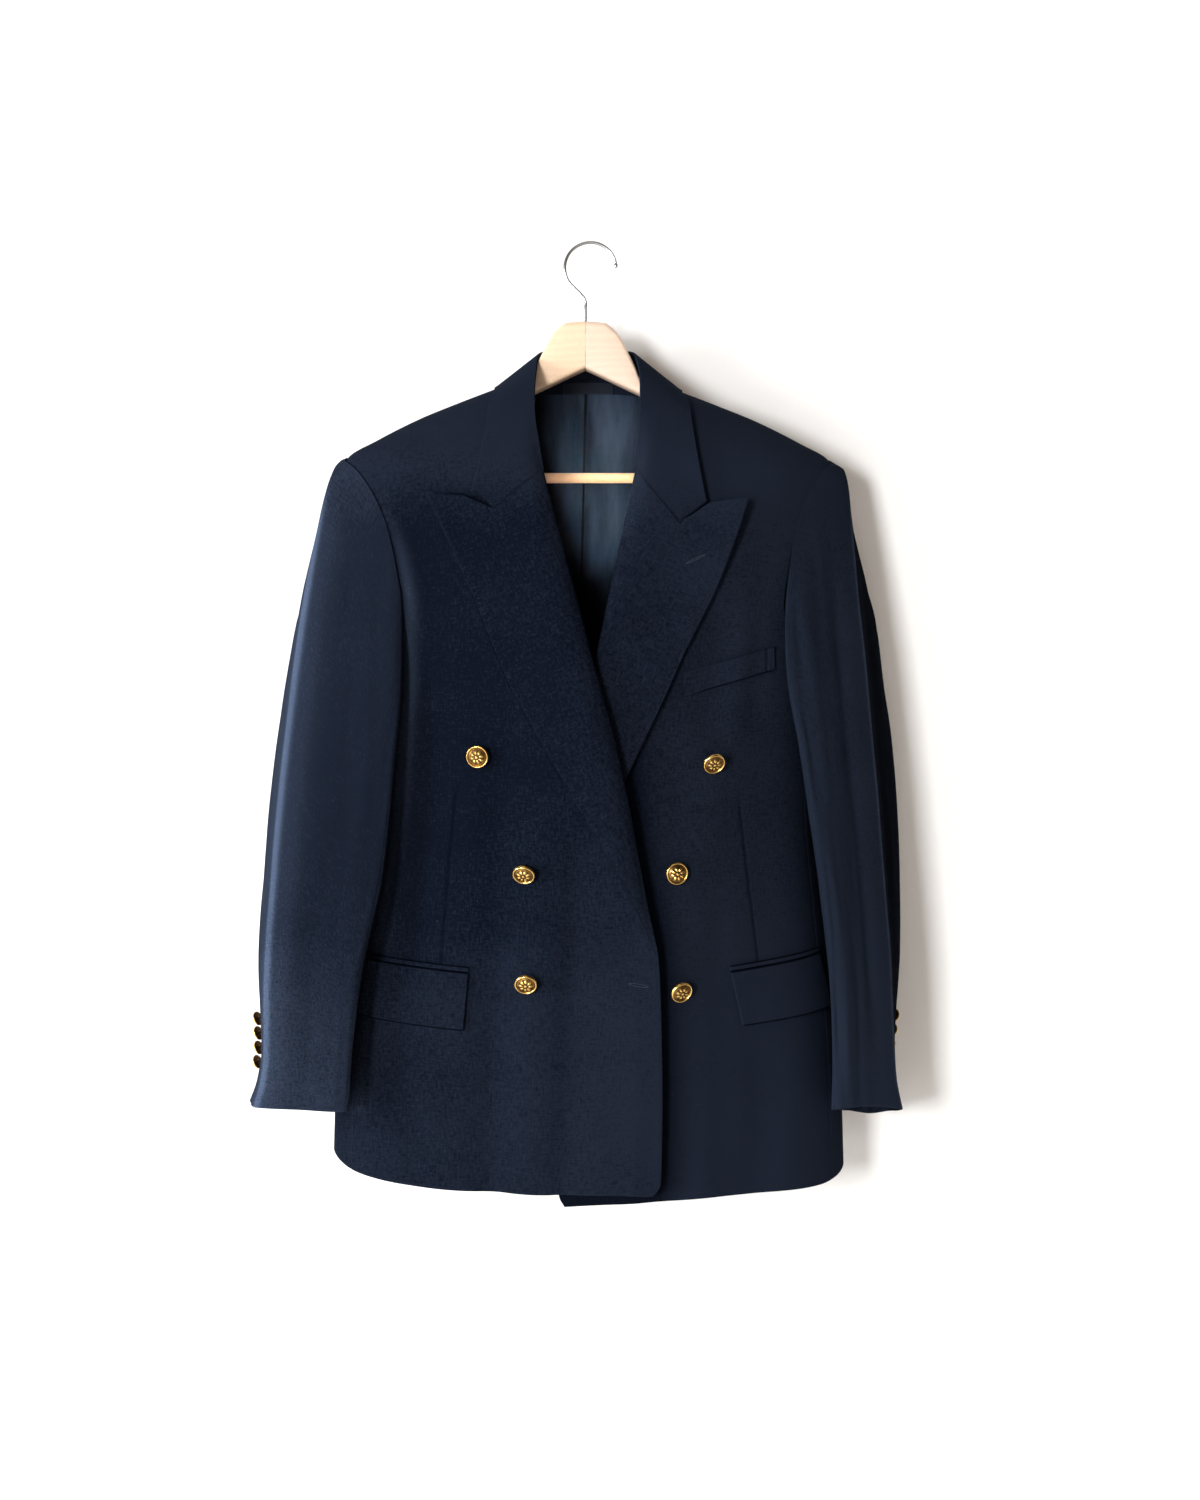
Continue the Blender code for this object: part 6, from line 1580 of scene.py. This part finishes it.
def make_button(node, anchor, direction, radius, stand, gap, tilt, turn, spin):
    """A gilt button with its shank: rings of points from the middle of its face round to its back."""
    lean = math.radians(tilt)
    stand = (math.sin(lean) + stand) * radius
    centre = Vector(anchor) + Vector(direction).normalized() * stand
    shank = (stand - gap) / math.cos(lean) - SHANK_RADIUS * radius * math.tan(lean)
    spun = Matrix.Rotation(math.radians(spin), 4, "Z")
    place = Matrix.Translation(centre) @ facing(direction, tilt, turn) @ spun
    around = np.linspace(0.0, 2.0 * math.pi, BUTTON_SPOKES, endpoint=False)
    curve = np.array(BUTTON_CURVE)
    points, hollow = [(0.0, 0.0, float(curve[0][1] + button_relief(0.0, 0.0)))], [0.0]
    for r in BUTTON_RADII:
        relief = button_relief(r, around)
        height = float(np.interp(r, curve[:, 0], curve[:, 1])) + relief
        points += list(zip(r * np.cos(around), r * np.sin(around), height))
        groove = GROOVE_BROWN * hump(r, *BUTTON_GROOVE) + 0.0 * around
        face = np.clip(groove + 0.72 - relief * 13.0, 0.0, 1.0)
        hollow += list(face if r < FACE_END else groove)
    for r, height in BUTTON_BACK + [(SHANK_RADIUS, -shank / radius)]:
        points += list(zip(r * np.cos(around), r * np.sin(around), np.full(len(around), height)))
        hollow += [HOLLOW_BACK] * len(around)
    points.append((0.0, 0.0, -shank / radius))
    hollow.append(HOLLOW_BACK)
    n, last = BUTTON_SPOKES, len(points) - 1
    caps = [(0, 1 + k, 1 + (k + 1) % n) for k in range(n)]
    foot = last - n
    ends = [(foot + k, last, foot + (k + 1) % n) for k in range(n)]
    sides = [[1 + corner for corner in face] for face in ring_quads((last - 1) // n, n)]
    placed_points = [place @ (Vector(point) * radius) for point in points]
    mesh = new_mesh(f"{node}_gilt", placed_points, caps + sides + ends)
    values = np.array(hollow, dtype=np.float32)
    mesh.attributes.new("hollow", "FLOAT", "POINT").data.foreach_set("value", values)
    return closed(f"{node}_gilt", mesh, GILT)


def make_front_buttons():
    made = {}
    for suffix, side, x, z, tilt, turn, spin in FRONT_BUTTONS:
        x, z = np.array([x]), np.array([z])
        anchor = on_front(side, x, z, 0.0)[0]
        direction = body_normal(angle_at(x, z), z)[0]
        node = f"button_{suffix}"
        made[node] = make_button(node, anchor, direction, BUTTON_RADIUS, FRONT_STAND, 0.0,
                                 tilt, turn, spin)
    return made


def make_cuff_buttons(side):
    made = {}
    turn = CUFF_BUTTON_TURN[side]
    _, hole_z = armhole(side, turn)
    for number, height in enumerate(CUFF_BUTTON_HEIGHTS, start=1):
        down = (hole_z - height) / (hole_z - CUFF_BACK[side])
        outward = sleeve_normal(side, turn, down)
        here = sleeve_point(side, turn, down) + outward * SLEEVE_WALL
        node = f"cuff_button_{SIDE_NAMES[side]}_{number}"
        made[node] = make_button(node, here, (outward[0], outward[1], 0.0), CUFF_BUTTON_RADIUS, CUFF_STAND,
                                 CUFF_SHANK_GAP, CUFF_BUTTON_TILT, 0.0, CUFF_BUTTON_SPIN * number)
    return made


# ---- hanger
def roof(x, y):
    """Heights of the body's form over places."""
    low = np.full(np.shape(x), ROOF_RANGE[0])
    high = np.full(np.shape(x), ROOF_RANGE[1])
    for _ in range(ROOF_HALVINGS):
        z = (low + high) / 2
        half, front, side, back = (along(BODY_ROWS, column, z) for column in (1, 2, 3, 4))
        reach = np.where(y < side, side - front, back - side)
        outside = (np.abs(x - BODY_X) / half) ** ROUNDNESS + (np.abs(y - side) / reach) ** ROUNDNESS > 1.0
        high = np.where(outside, z, high)
        low = np.where(outside, low, z)
    return low - left_drop(x, low)


def under_roof(x, y, depth):
    step = 0.002
    slope_x = (roof(x + step, y) - roof(x - step, y)) / (2 * step)
    slope_y = (roof(x, y + step) - roof(x, y - step)) / (2 * step)
    return roof(x, y) - depth * np.sqrt(1.0 + slope_x**2 + slope_y**2)


HEAD_END = 0.054  # x at which the head's own top ends and the arm follows the shoulder
ARM_SHARP = 50.0  # degrees at which an edge of the wood shows
# Round the arm's section: part of the half thickness, then how far below the top or above the foot
ARM_ROUND_TOP = [
    (-1.0, 0.007), (-0.97, 0.0042), (-0.86, 0.0018), (-0.66, 0.0005), (-0.35, 0.0001), (0.0, 0.0),
    (0.35, 0.0001), (0.66, 0.0005), (0.86, 0.0018), (0.97, 0.0042), (1.0, 0.007),
]
ARM_ROUND_FOOT = [
    (1.0, 0.005), (0.97, 0.0026), (0.86, 0.001), (0.6, 0.0002), (0.0, 0.0),
    (-0.6, 0.0002), (-0.86, 0.001), (-0.97, 0.0026), (-1.0, 0.005),
]


def make_arm(side):
    """One wooden half: level rings round its section, from the joint in the middle to its end."""
    x = np.concatenate([
        np.linspace(SEAM / 4, 0.05, 46)[:-1], np.linspace(0.05, 0.185, 64)[:-1],
        np.linspace(0.185, 0.1862, 5)[:-1], np.linspace(0.1862, 0.222, 22),
    ])
    bottom, y, thick = (along(ARM_ROWS, column, x) for column in (2, 3, 4))
    head = [row for row in ARM_ROWS if row[1] < 0.0]
    head_top = along(head, 1, np.minimum(x, head[-1][0]))
    place_x = HEAD_X + side * x
    share = smooth_step(HEAD_END + 0.004, HEAD_END + 0.026, x)
    ring = []
    for part, drop in ARM_ROUND_TOP:
        across = y + part * thick / 2
        covered = under_roof(place_x, across, BODY_WALL + REST_GAP)
        level = blend(head_top, covered, share) - drop
        ring.append(np.stack([place_x, across, level], axis=-1))
    for part, rise in ARM_ROUND_FOOT:
        ring.append(np.stack([place_x, y + part * thick / 2, bottom + rise], axis=-1))
    ring = np.stack(ring, axis=1)
    rings, count = ring.shape[:2]
    ends = [tuple(range(count)), tuple(range((rings - 1) * count, rings * count))[::-1]]
    name = f"hanger_arm_{SIDE_NAMES[side]}"
    mesh = new_mesh(name, ring.reshape(-1, 3).tolist(), ring_quads(rings, count) + ends)
    arm = closed(name, mesh, MAPLE_SHADED_HALF if side == RIGHT else MAPLE_LIT_HALF)
    mesh.set_sharp_from_angle(angle=math.radians(ARM_SHARP))
    return arm


def make_hook():
    """The bent wire: a straight stem, a bend, the loop and a small ball at its end."""
    foot = ARM_ROWS[0][1] - HOOK_SOCKET + 0.0005
    centre_z = HOOK_WIRE - HOOK_LOOP
    knots = [(HEAD_X, z) for z in (foot, *HOOK_STEM)] + HOOK_NECK
    for degrees in np.linspace(HOOK_START_ANGLE, HOOK_TIP_ANGLE, 15):
        around = math.radians(degrees)
        knots.append((HOOK_LOOP_X + HOOK_LOOP * math.cos(around), centre_z + HOOK_LOOP * math.sin(around)))
    knots = np.array([(x, HOOK_Y, z) for x, z in knots])
    path = through(knots, np.linspace(0.0, len(knots) - 1, HOOK_RINGS))
    left = lengths(path)[-1] - lengths(path)
    radii = np.full(len(path), HOOK_WIRE * 0.97)
    near = left < 2 * HOOK_BALL
    ball = np.sqrt(np.maximum(HOOK_BALL**2 - (left[near] - HOOK_BALL) ** 2, 1e-10))
    radii[near] = np.maximum(radii[near] * (left[near] > HOOK_BALL), ball)
    return tube("hanger_hook", path, radii, HOOK_SIDES, CHROME)


def make_bar():
    low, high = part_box("hanger_bar")
    radius = (high[2] - low[2]) / 2 * BAR_EASE
    x = np.linspace(low[0], high[0], BAR_RINGS)
    path = np.stack([x] + [np.full(BAR_RINGS, (low[k] + high[k]) / 2) for k in (1, 2)], axis=-1)
    return tube("hanger_bar", path, np.full(BAR_RINGS, radius), BAR_SIDES, MAPLE_BAR)


# ---- stitches
def stitch_tree():
    """Stitches set at even steps along a path: a length of thread at each, pressed flat."""
    tree = bpy.data.node_groups.new("stitches", "GeometryNodeTree")
    face = tree.interface
    face.new_socket("Path", in_out="INPUT", socket_type="NodeSocketGeometry")
    for name, value in (("Step", 0.004), ("Length", 0.002), ("Thickness", 0.0003)):
        face.new_socket(name, in_out="INPUT", socket_type="NodeSocketFloat").default_value = value
    face.new_socket("Thread", in_out="INPUT", socket_type="NodeSocketMaterial")
    face.new_socket("Stitches", in_out="OUTPUT", socket_type="NodeSocketGeometry")

    start, end, curve, even, tangent, turn, bead, size, shape, put, real, smooth, paint = (
        tree.nodes.new(kind) for kind in (
            "NodeGroupInput", "NodeGroupOutput", "GeometryNodeMeshToCurve", "GeometryNodeResampleCurve",
            "GeometryNodeInputTangent", "FunctionNodeAlignRotationToVector", "GeometryNodeMeshUVSphere",
            "ShaderNodeCombineXYZ", "GeometryNodeTransform", "GeometryNodeInstanceOnPoints",
            "GeometryNodeRealizeInstances", "GeometryNodeSetShadeSmooth", "GeometryNodeSetMaterial",
        )
    )
    even.mode, turn.axis = "LENGTH", "X"
    for key, value in (("Segments", 8), ("Rings", 5), ("Radius", 0.5)):
        bead.inputs[key].default_value = value
    for source, output, target, key in (
        (start, "Path", curve, 0), (curve, 0, even, "Curve"), (start, "Step", even, "Length"),
        (start, "Length", size, "X"), (start, "Thickness", size, "Y"), (start, "Thickness", size, "Z"),
        (bead, "Mesh", shape, "Geometry"), (size, 0, shape, "Scale"), (even, 0, put, "Points"),
        (shape, 0, put, "Instance"), (tangent, 0, turn, "Vector"), (turn, 0, put, "Rotation"),
        (put, 0, real, 0), (real, 0, smooth, "Geometry"), (smooth, 0, paint, "Geometry"),
        (start, "Thread", paint, "Material"), (paint, 0, end, 0),
    ):
        tree.links.new(source.outputs[output], target.inputs[key])
    return tree


STITCHES = stitch_tree()


def make_stitches(name, paths, step, length, thickness, thread):
    """Stitches along paths of points, baked to a plain mesh."""
    points, edges = [], []
    for path in paths:
        first = len(points)
        points += [tuple(point) for point in path]
        edges += [(first + k, first + k + 1) for k in range(len(path) - 1)]
    guide = bpy.data.objects.new(name, new_mesh(name, points, [], edges))
    bpy.context.scene.collection.objects.link(guide)
    made = guide.modifiers.new("stitches", "NODES")
    made.node_group = STITCHES
    inputs = [item for item in STITCHES.interface.items_tree if item.in_out == "INPUT"]
    sockets = {item.name: item.identifier for item in inputs}
    for key, value in (("Step", step), ("Length", length), ("Thickness", thickness), ("Thread", thread)):
        made[sockets[key]] = value
    view = bpy.context.evaluated_depsgraph_get()
    view.update()
    baked = bpy.data.meshes.new_from_object(guide.evaluated_get(view))
    guide.modifiers.clear()
    guide.data = baked
    if not baked.materials:
        baked.materials.append(thread)
    return guide


PICK_INSET, PICK_SINK = 0.0048, 0.0001  # from the lapel's edge, and into its face


def lapel_stitch_paths(side):
    """Pick stitches a few millimetres in from a lapel's edge and its peak."""
    x, z, roll_x, part, gap = lapel_form(side)
    top = on_front(side, x, z, gap + LAPEL_WALL - PICK_SINK)
    tip = np.searchsorted(part, 0.955)
    notch = np.searchsorted(part, NOTCH_PART[side] + 0.03)
    edge = top[6:-6, :]
    width = np.linalg.norm(edge[:, -1] - edge[:, 0], axis=-1)
    inset = np.clip(1.0 - PICK_INSET / np.maximum(width, 0.012), 0.4, 1.0)
    columns = np.minimum(np.searchsorted(part, inset), len(part) - 1)
    return [[row[k] for row, k in zip(edge, columns)], list(top[4, notch:tip])]


def lapel_height(side, x, z):
    """Height of a lapel's face over the front, at places on the lapel."""
    chart_x, chart_z, _, _, gap = lapel_form(side)
    height = (gap + LAPEL_WALL).ravel()
    away = (x[:, None] - chart_x.ravel()) ** 2 + (z[:, None] - chart_z.ravel()) ** 2
    weight = 1.0 / (away + 1e-8) ** 2
    return (weight * height).sum(axis=1) / weight.sum(axis=1)


def buttonhole_path(side, start, end, width, on_lapel=False):
    """Once round a slot between two places on a front or on its lapel."""
    start, end = np.array(start), np.array(end)
    run = end - start
    length = float(np.linalg.norm(run))
    run = run / length
    cross = np.array([-run[1], run[0]])
    rounds = np.linspace(0.0, 2.0 * math.pi, 60)
    lengthways, sideways = (np.cos(rounds) * length / 2)[:, None], (np.sin(rounds) * width / 2)[:, None]
    flat = (np.abs(lengthways) / (length / 2)) ** 3
    place = (start + end) / 2 + lengthways * run + np.sign(sideways) * width / 2 * (1 - flat) * cross
    x, z = place.T
    height = lapel_height(side, x, z) if on_lapel else np.zeros(len(x))
    return on_front(side, x, z, height)


# ---- stage
WALL_TURN, WALL_LEAN = 0.09, 0.04  # how much nearer the wall is per metre to the right and up
WALL_GAP = 0.004  # between the jacket's back and the wall
WALL_TOP, WALL_REACH = 4.0, 6.0
FLOOR_Z, FLOOR_FRONT = -1.75, -6.0
COVE, COVE_STEPS = 0.6, 16  # radius of the bend from wall to floor, and its steps


def make_stage():
    """A white wall just behind the jacket, a little askew, that runs out into a floor."""
    high = -1.0
    for item in bpy.context.scene.objects:
        if item.type == "MESH" and not item.hide_render:
            points = np.empty(3 * len(item.data.vertices))
            item.data.vertices.foreach_get("co", points)
            x, y, z = points.reshape(-1, 3).T
            high = max(high, float((y + WALL_TURN * x + WALL_LEAN * z).max(initial=-1.0)))
    wall_y = high + WALL_GAP
    profile = [(wall_y, WALL_TOP)]
    for k in range(COVE_STEPS + 1):
        around = math.pi / 2 * k / COVE_STEPS
        profile.append((wall_y - COVE + COVE * math.cos(around), FLOOR_Z + COVE - COVE * math.sin(around)))
    profile.append((FLOOR_FRONT, FLOOR_Z))
    edges = (-WALL_REACH, WALL_REACH)
    points = [(x, y - WALL_TURN * x - WALL_LEAN * z, z) for y, z in profile for x in edges]
    faces = [(2 * k, 2 * k + 1, 2 * k + 3, 2 * k + 2) for k in range(len(profile) - 1)]
    mesh = new_mesh("backdrop", points, faces)
    mesh.shade_smooth()
    backdrop = placed("backdrop", mesh, WALL_PAINT)
    if mesh.polygons[0].normal.y > 0:
        mesh.flip_normals()


# Lights: name, place, target, width, height, power in watts, tint, spread in degrees
LIGHTS = [
    ("window_light", (-2.75, -5.75, -0.30), (0.0, 0.0, -0.48), 1.25, 1.8, 330.0, (0.98, 0.99, 1.0), 180.0),
    ("side_light", (-3.6, -1.7, -0.25), (0.0, 0.0, -0.48), 0.9, 1.6, 112.0, (0.93, 0.965, 1.0), 180.0),
    ("top_light", (-0.4, -1.6, 1.8), (0.0, 0.0, -0.3), 1.4, 1.2, 5.0, (1.0, 0.95, 0.90), 180.0),
    ("front_light", (0.3, -3.4, 0.1), (0.0, 0.0, -0.45), 1.6, 1.6, 4.0, (1.0, 0.87, 0.74), 180.0),
    ("neck_light", (0.01, -1.6, -0.285), (0.01, 0.0, -0.236), 0.03, 0.12, 0.052, (1.0, 0.9, 0.8), 4.0),
]
SKY_STRENGTH = 0.07


def make_light():
    for name, place, target, width, height, power, tint, spread_angle in LIGHTS:
        light = bpy.data.lights.new(name, "AREA")
        light.shape = "RECTANGLE"
        light.size, light.size_y = width, height
        light.energy = power
        light.spread = math.radians(spread_angle)
        light.color = tint
        item = bpy.data.objects.new(name, light)
        item.location = place
        item.rotation_euler = (Vector(target) - Vector(place)).to_track_quat("-Z", "Y").to_euler()
        bpy.context.scene.collection.objects.link(item)
    world = bpy.data.worlds.new("studio")
    world.use_nodes = True
    bpy.context.scene.world = world
    sky = world.node_tree.nodes["Background"]
    sky.inputs["Color"].default_value = BOUNCE
    sky.inputs["Strength"].default_value = SKY_STRENGTH


CAMERA_PLACE, CAMERA_LENS = (0.013, -2.387, -0.503), 57.6


def make_camera():
    camera = bpy.data.cameras.new("camera")
    camera.lens = CAMERA_LENS
    camera.sensor_width = 36.0
    camera.sensor_fit = "AUTO"
    camera.clip_start, camera.clip_end = 0.05, 60.0
    item = bpy.data.objects.new("camera", camera)
    bpy.context.scene.collection.objects.link(item)
    item.location = CAMERA_PLACE
    item.rotation_euler = (math.radians(90.0), 0.0, 0.0)
    bpy.context.scene.camera = item


# ---- all together
def add(piece, nodes):
    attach(piece, "root")
    if nodes:
        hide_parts(*nodes)
    return piece


# The cut of each sheet: width and length in metres, area in square metres, how it is held and on what
CUTS = {
    "front_right": (0.316, 0.871, 0.197, "hung", ["hanger_arm_right"]),
    "front_left": (0.281, 0.872, 0.186, "hung", ["hanger_arm_left"]),
    "side_right": (0.104, 0.502, 0.0447, "hung", ["front_right", "back_right"]),
    "side_left": (0.096, 0.513, 0.0418, "hung", ["front_left", "back_left"]),
    "back_right": (0.257, 0.873, 0.166, "hung", ["hanger_arm_right"]),
    "back_left": (0.258, 0.873, 0.166, "hung", ["hanger_arm_left"]),
    "lapel_right": (0.135, 0.493, 0.0326, "folded", ["front_right"]),
    "lapel_left": (0.142, 0.442, 0.0278, "folded", ["front_left"]),
    "pocket_jet_right": (0.127, 0.010, 0.00070, "laid", ["front_right"]),
    "pocket_jet_left": (0.102, 0.010, 0.00056, "laid", ["front_left"]),
    "pocket_flap_right": (0.127, 0.054, 0.0068, "laid", ["front_right"]),
    "pocket_flap_left": (0.106, 0.053, 0.0054, "laid", ["front_left"]),
    "chest_welt": (0.096, 0.022, 0.0020, "laid", ["front_left"]),
    "top_sleeve_right": (0.240, 0.650, 0.111, "hung", ["front_right", "back_right"]),
    "top_sleeve_left": (0.235, 0.650, 0.101, "hung", ["front_left", "back_left"]),
    "under_sleeve_right": (0.200, 0.612, 0.0822, "hung", ["front_right", "back_right"]),
    "under_sleeve_left": (0.195, 0.620, 0.0792, "hung", ["front_left", "back_left"]),
    "collar": (0.642, 0.114, 0.0415, "folded", ["front_right", "front_left", "back_right", "back_left"]),
    "back_lining": (0.401, 0.570, 0.175, "hung", ["back_right", "back_left"]),
    "neck_label": (0.051, 0.0104, 0.00050, "laid", ["back_lining"]),
}


# Step, length and thickness of the lapels' pick stitches and of the buttonholes' edging
PICKS, EDGING = (0.0055, 0.0016, 0.00042), (0.00055, 0.00075, 0.0007)


def main():
    make_camera()
    cloth = {}
    panels = {"front": make_front, "side": make_side_body, "back": make_back, "lapel": make_lapel}
    sleeves = {"top_sleeve": TOP_SLEEVE_TURNS, "under_sleeve": UNDER_SLEEVE_TURNS}
    for side, name in SIDE_NAMES.items():
        for kind, make in panels.items():
            cloth[f"{kind}_{name}"] = make(side)
        cloth[f"pocket_jet_{name}"], cloth[f"pocket_flap_{name}"] = make_pocket(side)
        for kind, turns in sleeves.items():
            cloth[f"{kind}_{name}"] = make_sleeve_piece(f"{kind}_{name}", side, turns)
    cloth["collar"] = make_collar()
    cloth["chest_welt"] = make_chest_welt()
    for name, piece in cloth.items():
        add(piece, [name])
    cloth["back_lining"] = add(make_lining(), ["back_lining"])
    cloth["neck_label"] = add(make_label(), ["neck_label"])
    buttons = make_front_buttons() | make_cuff_buttons(RIGHT) | make_cuff_buttons(LEFT)
    for node, piece in buttons.items():
        add(piece, [node])
    for side, name in SIDE_NAMES.items():
        add(make_arm(side), [f"hanger_arm_{name}"])
    add(make_bar(), ["hanger_bar"])
    add(make_hook(), ["hanger_hook"])
    trims = {name: [] for name in CUTS}
    for side, name in SIDE_NAMES.items():
        picks = make_stitches(f"pick_stitches_{name}", lapel_stitch_paths(side), *PICKS, THREAD)
        trims[f"lapel_{name}"].append(add(picks, []))
    holes = {
        "lapel_left": buttonhole_path(LEFT, (0.0943, -0.3239), (0.1118, -0.3152), 0.0016, on_lapel=True),
        "front_right": buttonhole_path(RIGHT, (0.0395, -0.7243), (0.0580, -0.7275), 0.0024),
    }
    for name, path in holes.items():
        worked = make_stitches(f"buttonhole_{name}", [path], *EDGING, HOLE_THREAD)
        trims[name].append(add(worked, []))
    make_stage()
    make_light()
    view = bpy.context.scene.view_settings
    view.view_transform, view.look, view.exposure = "Standard", "None", 0.0


main()
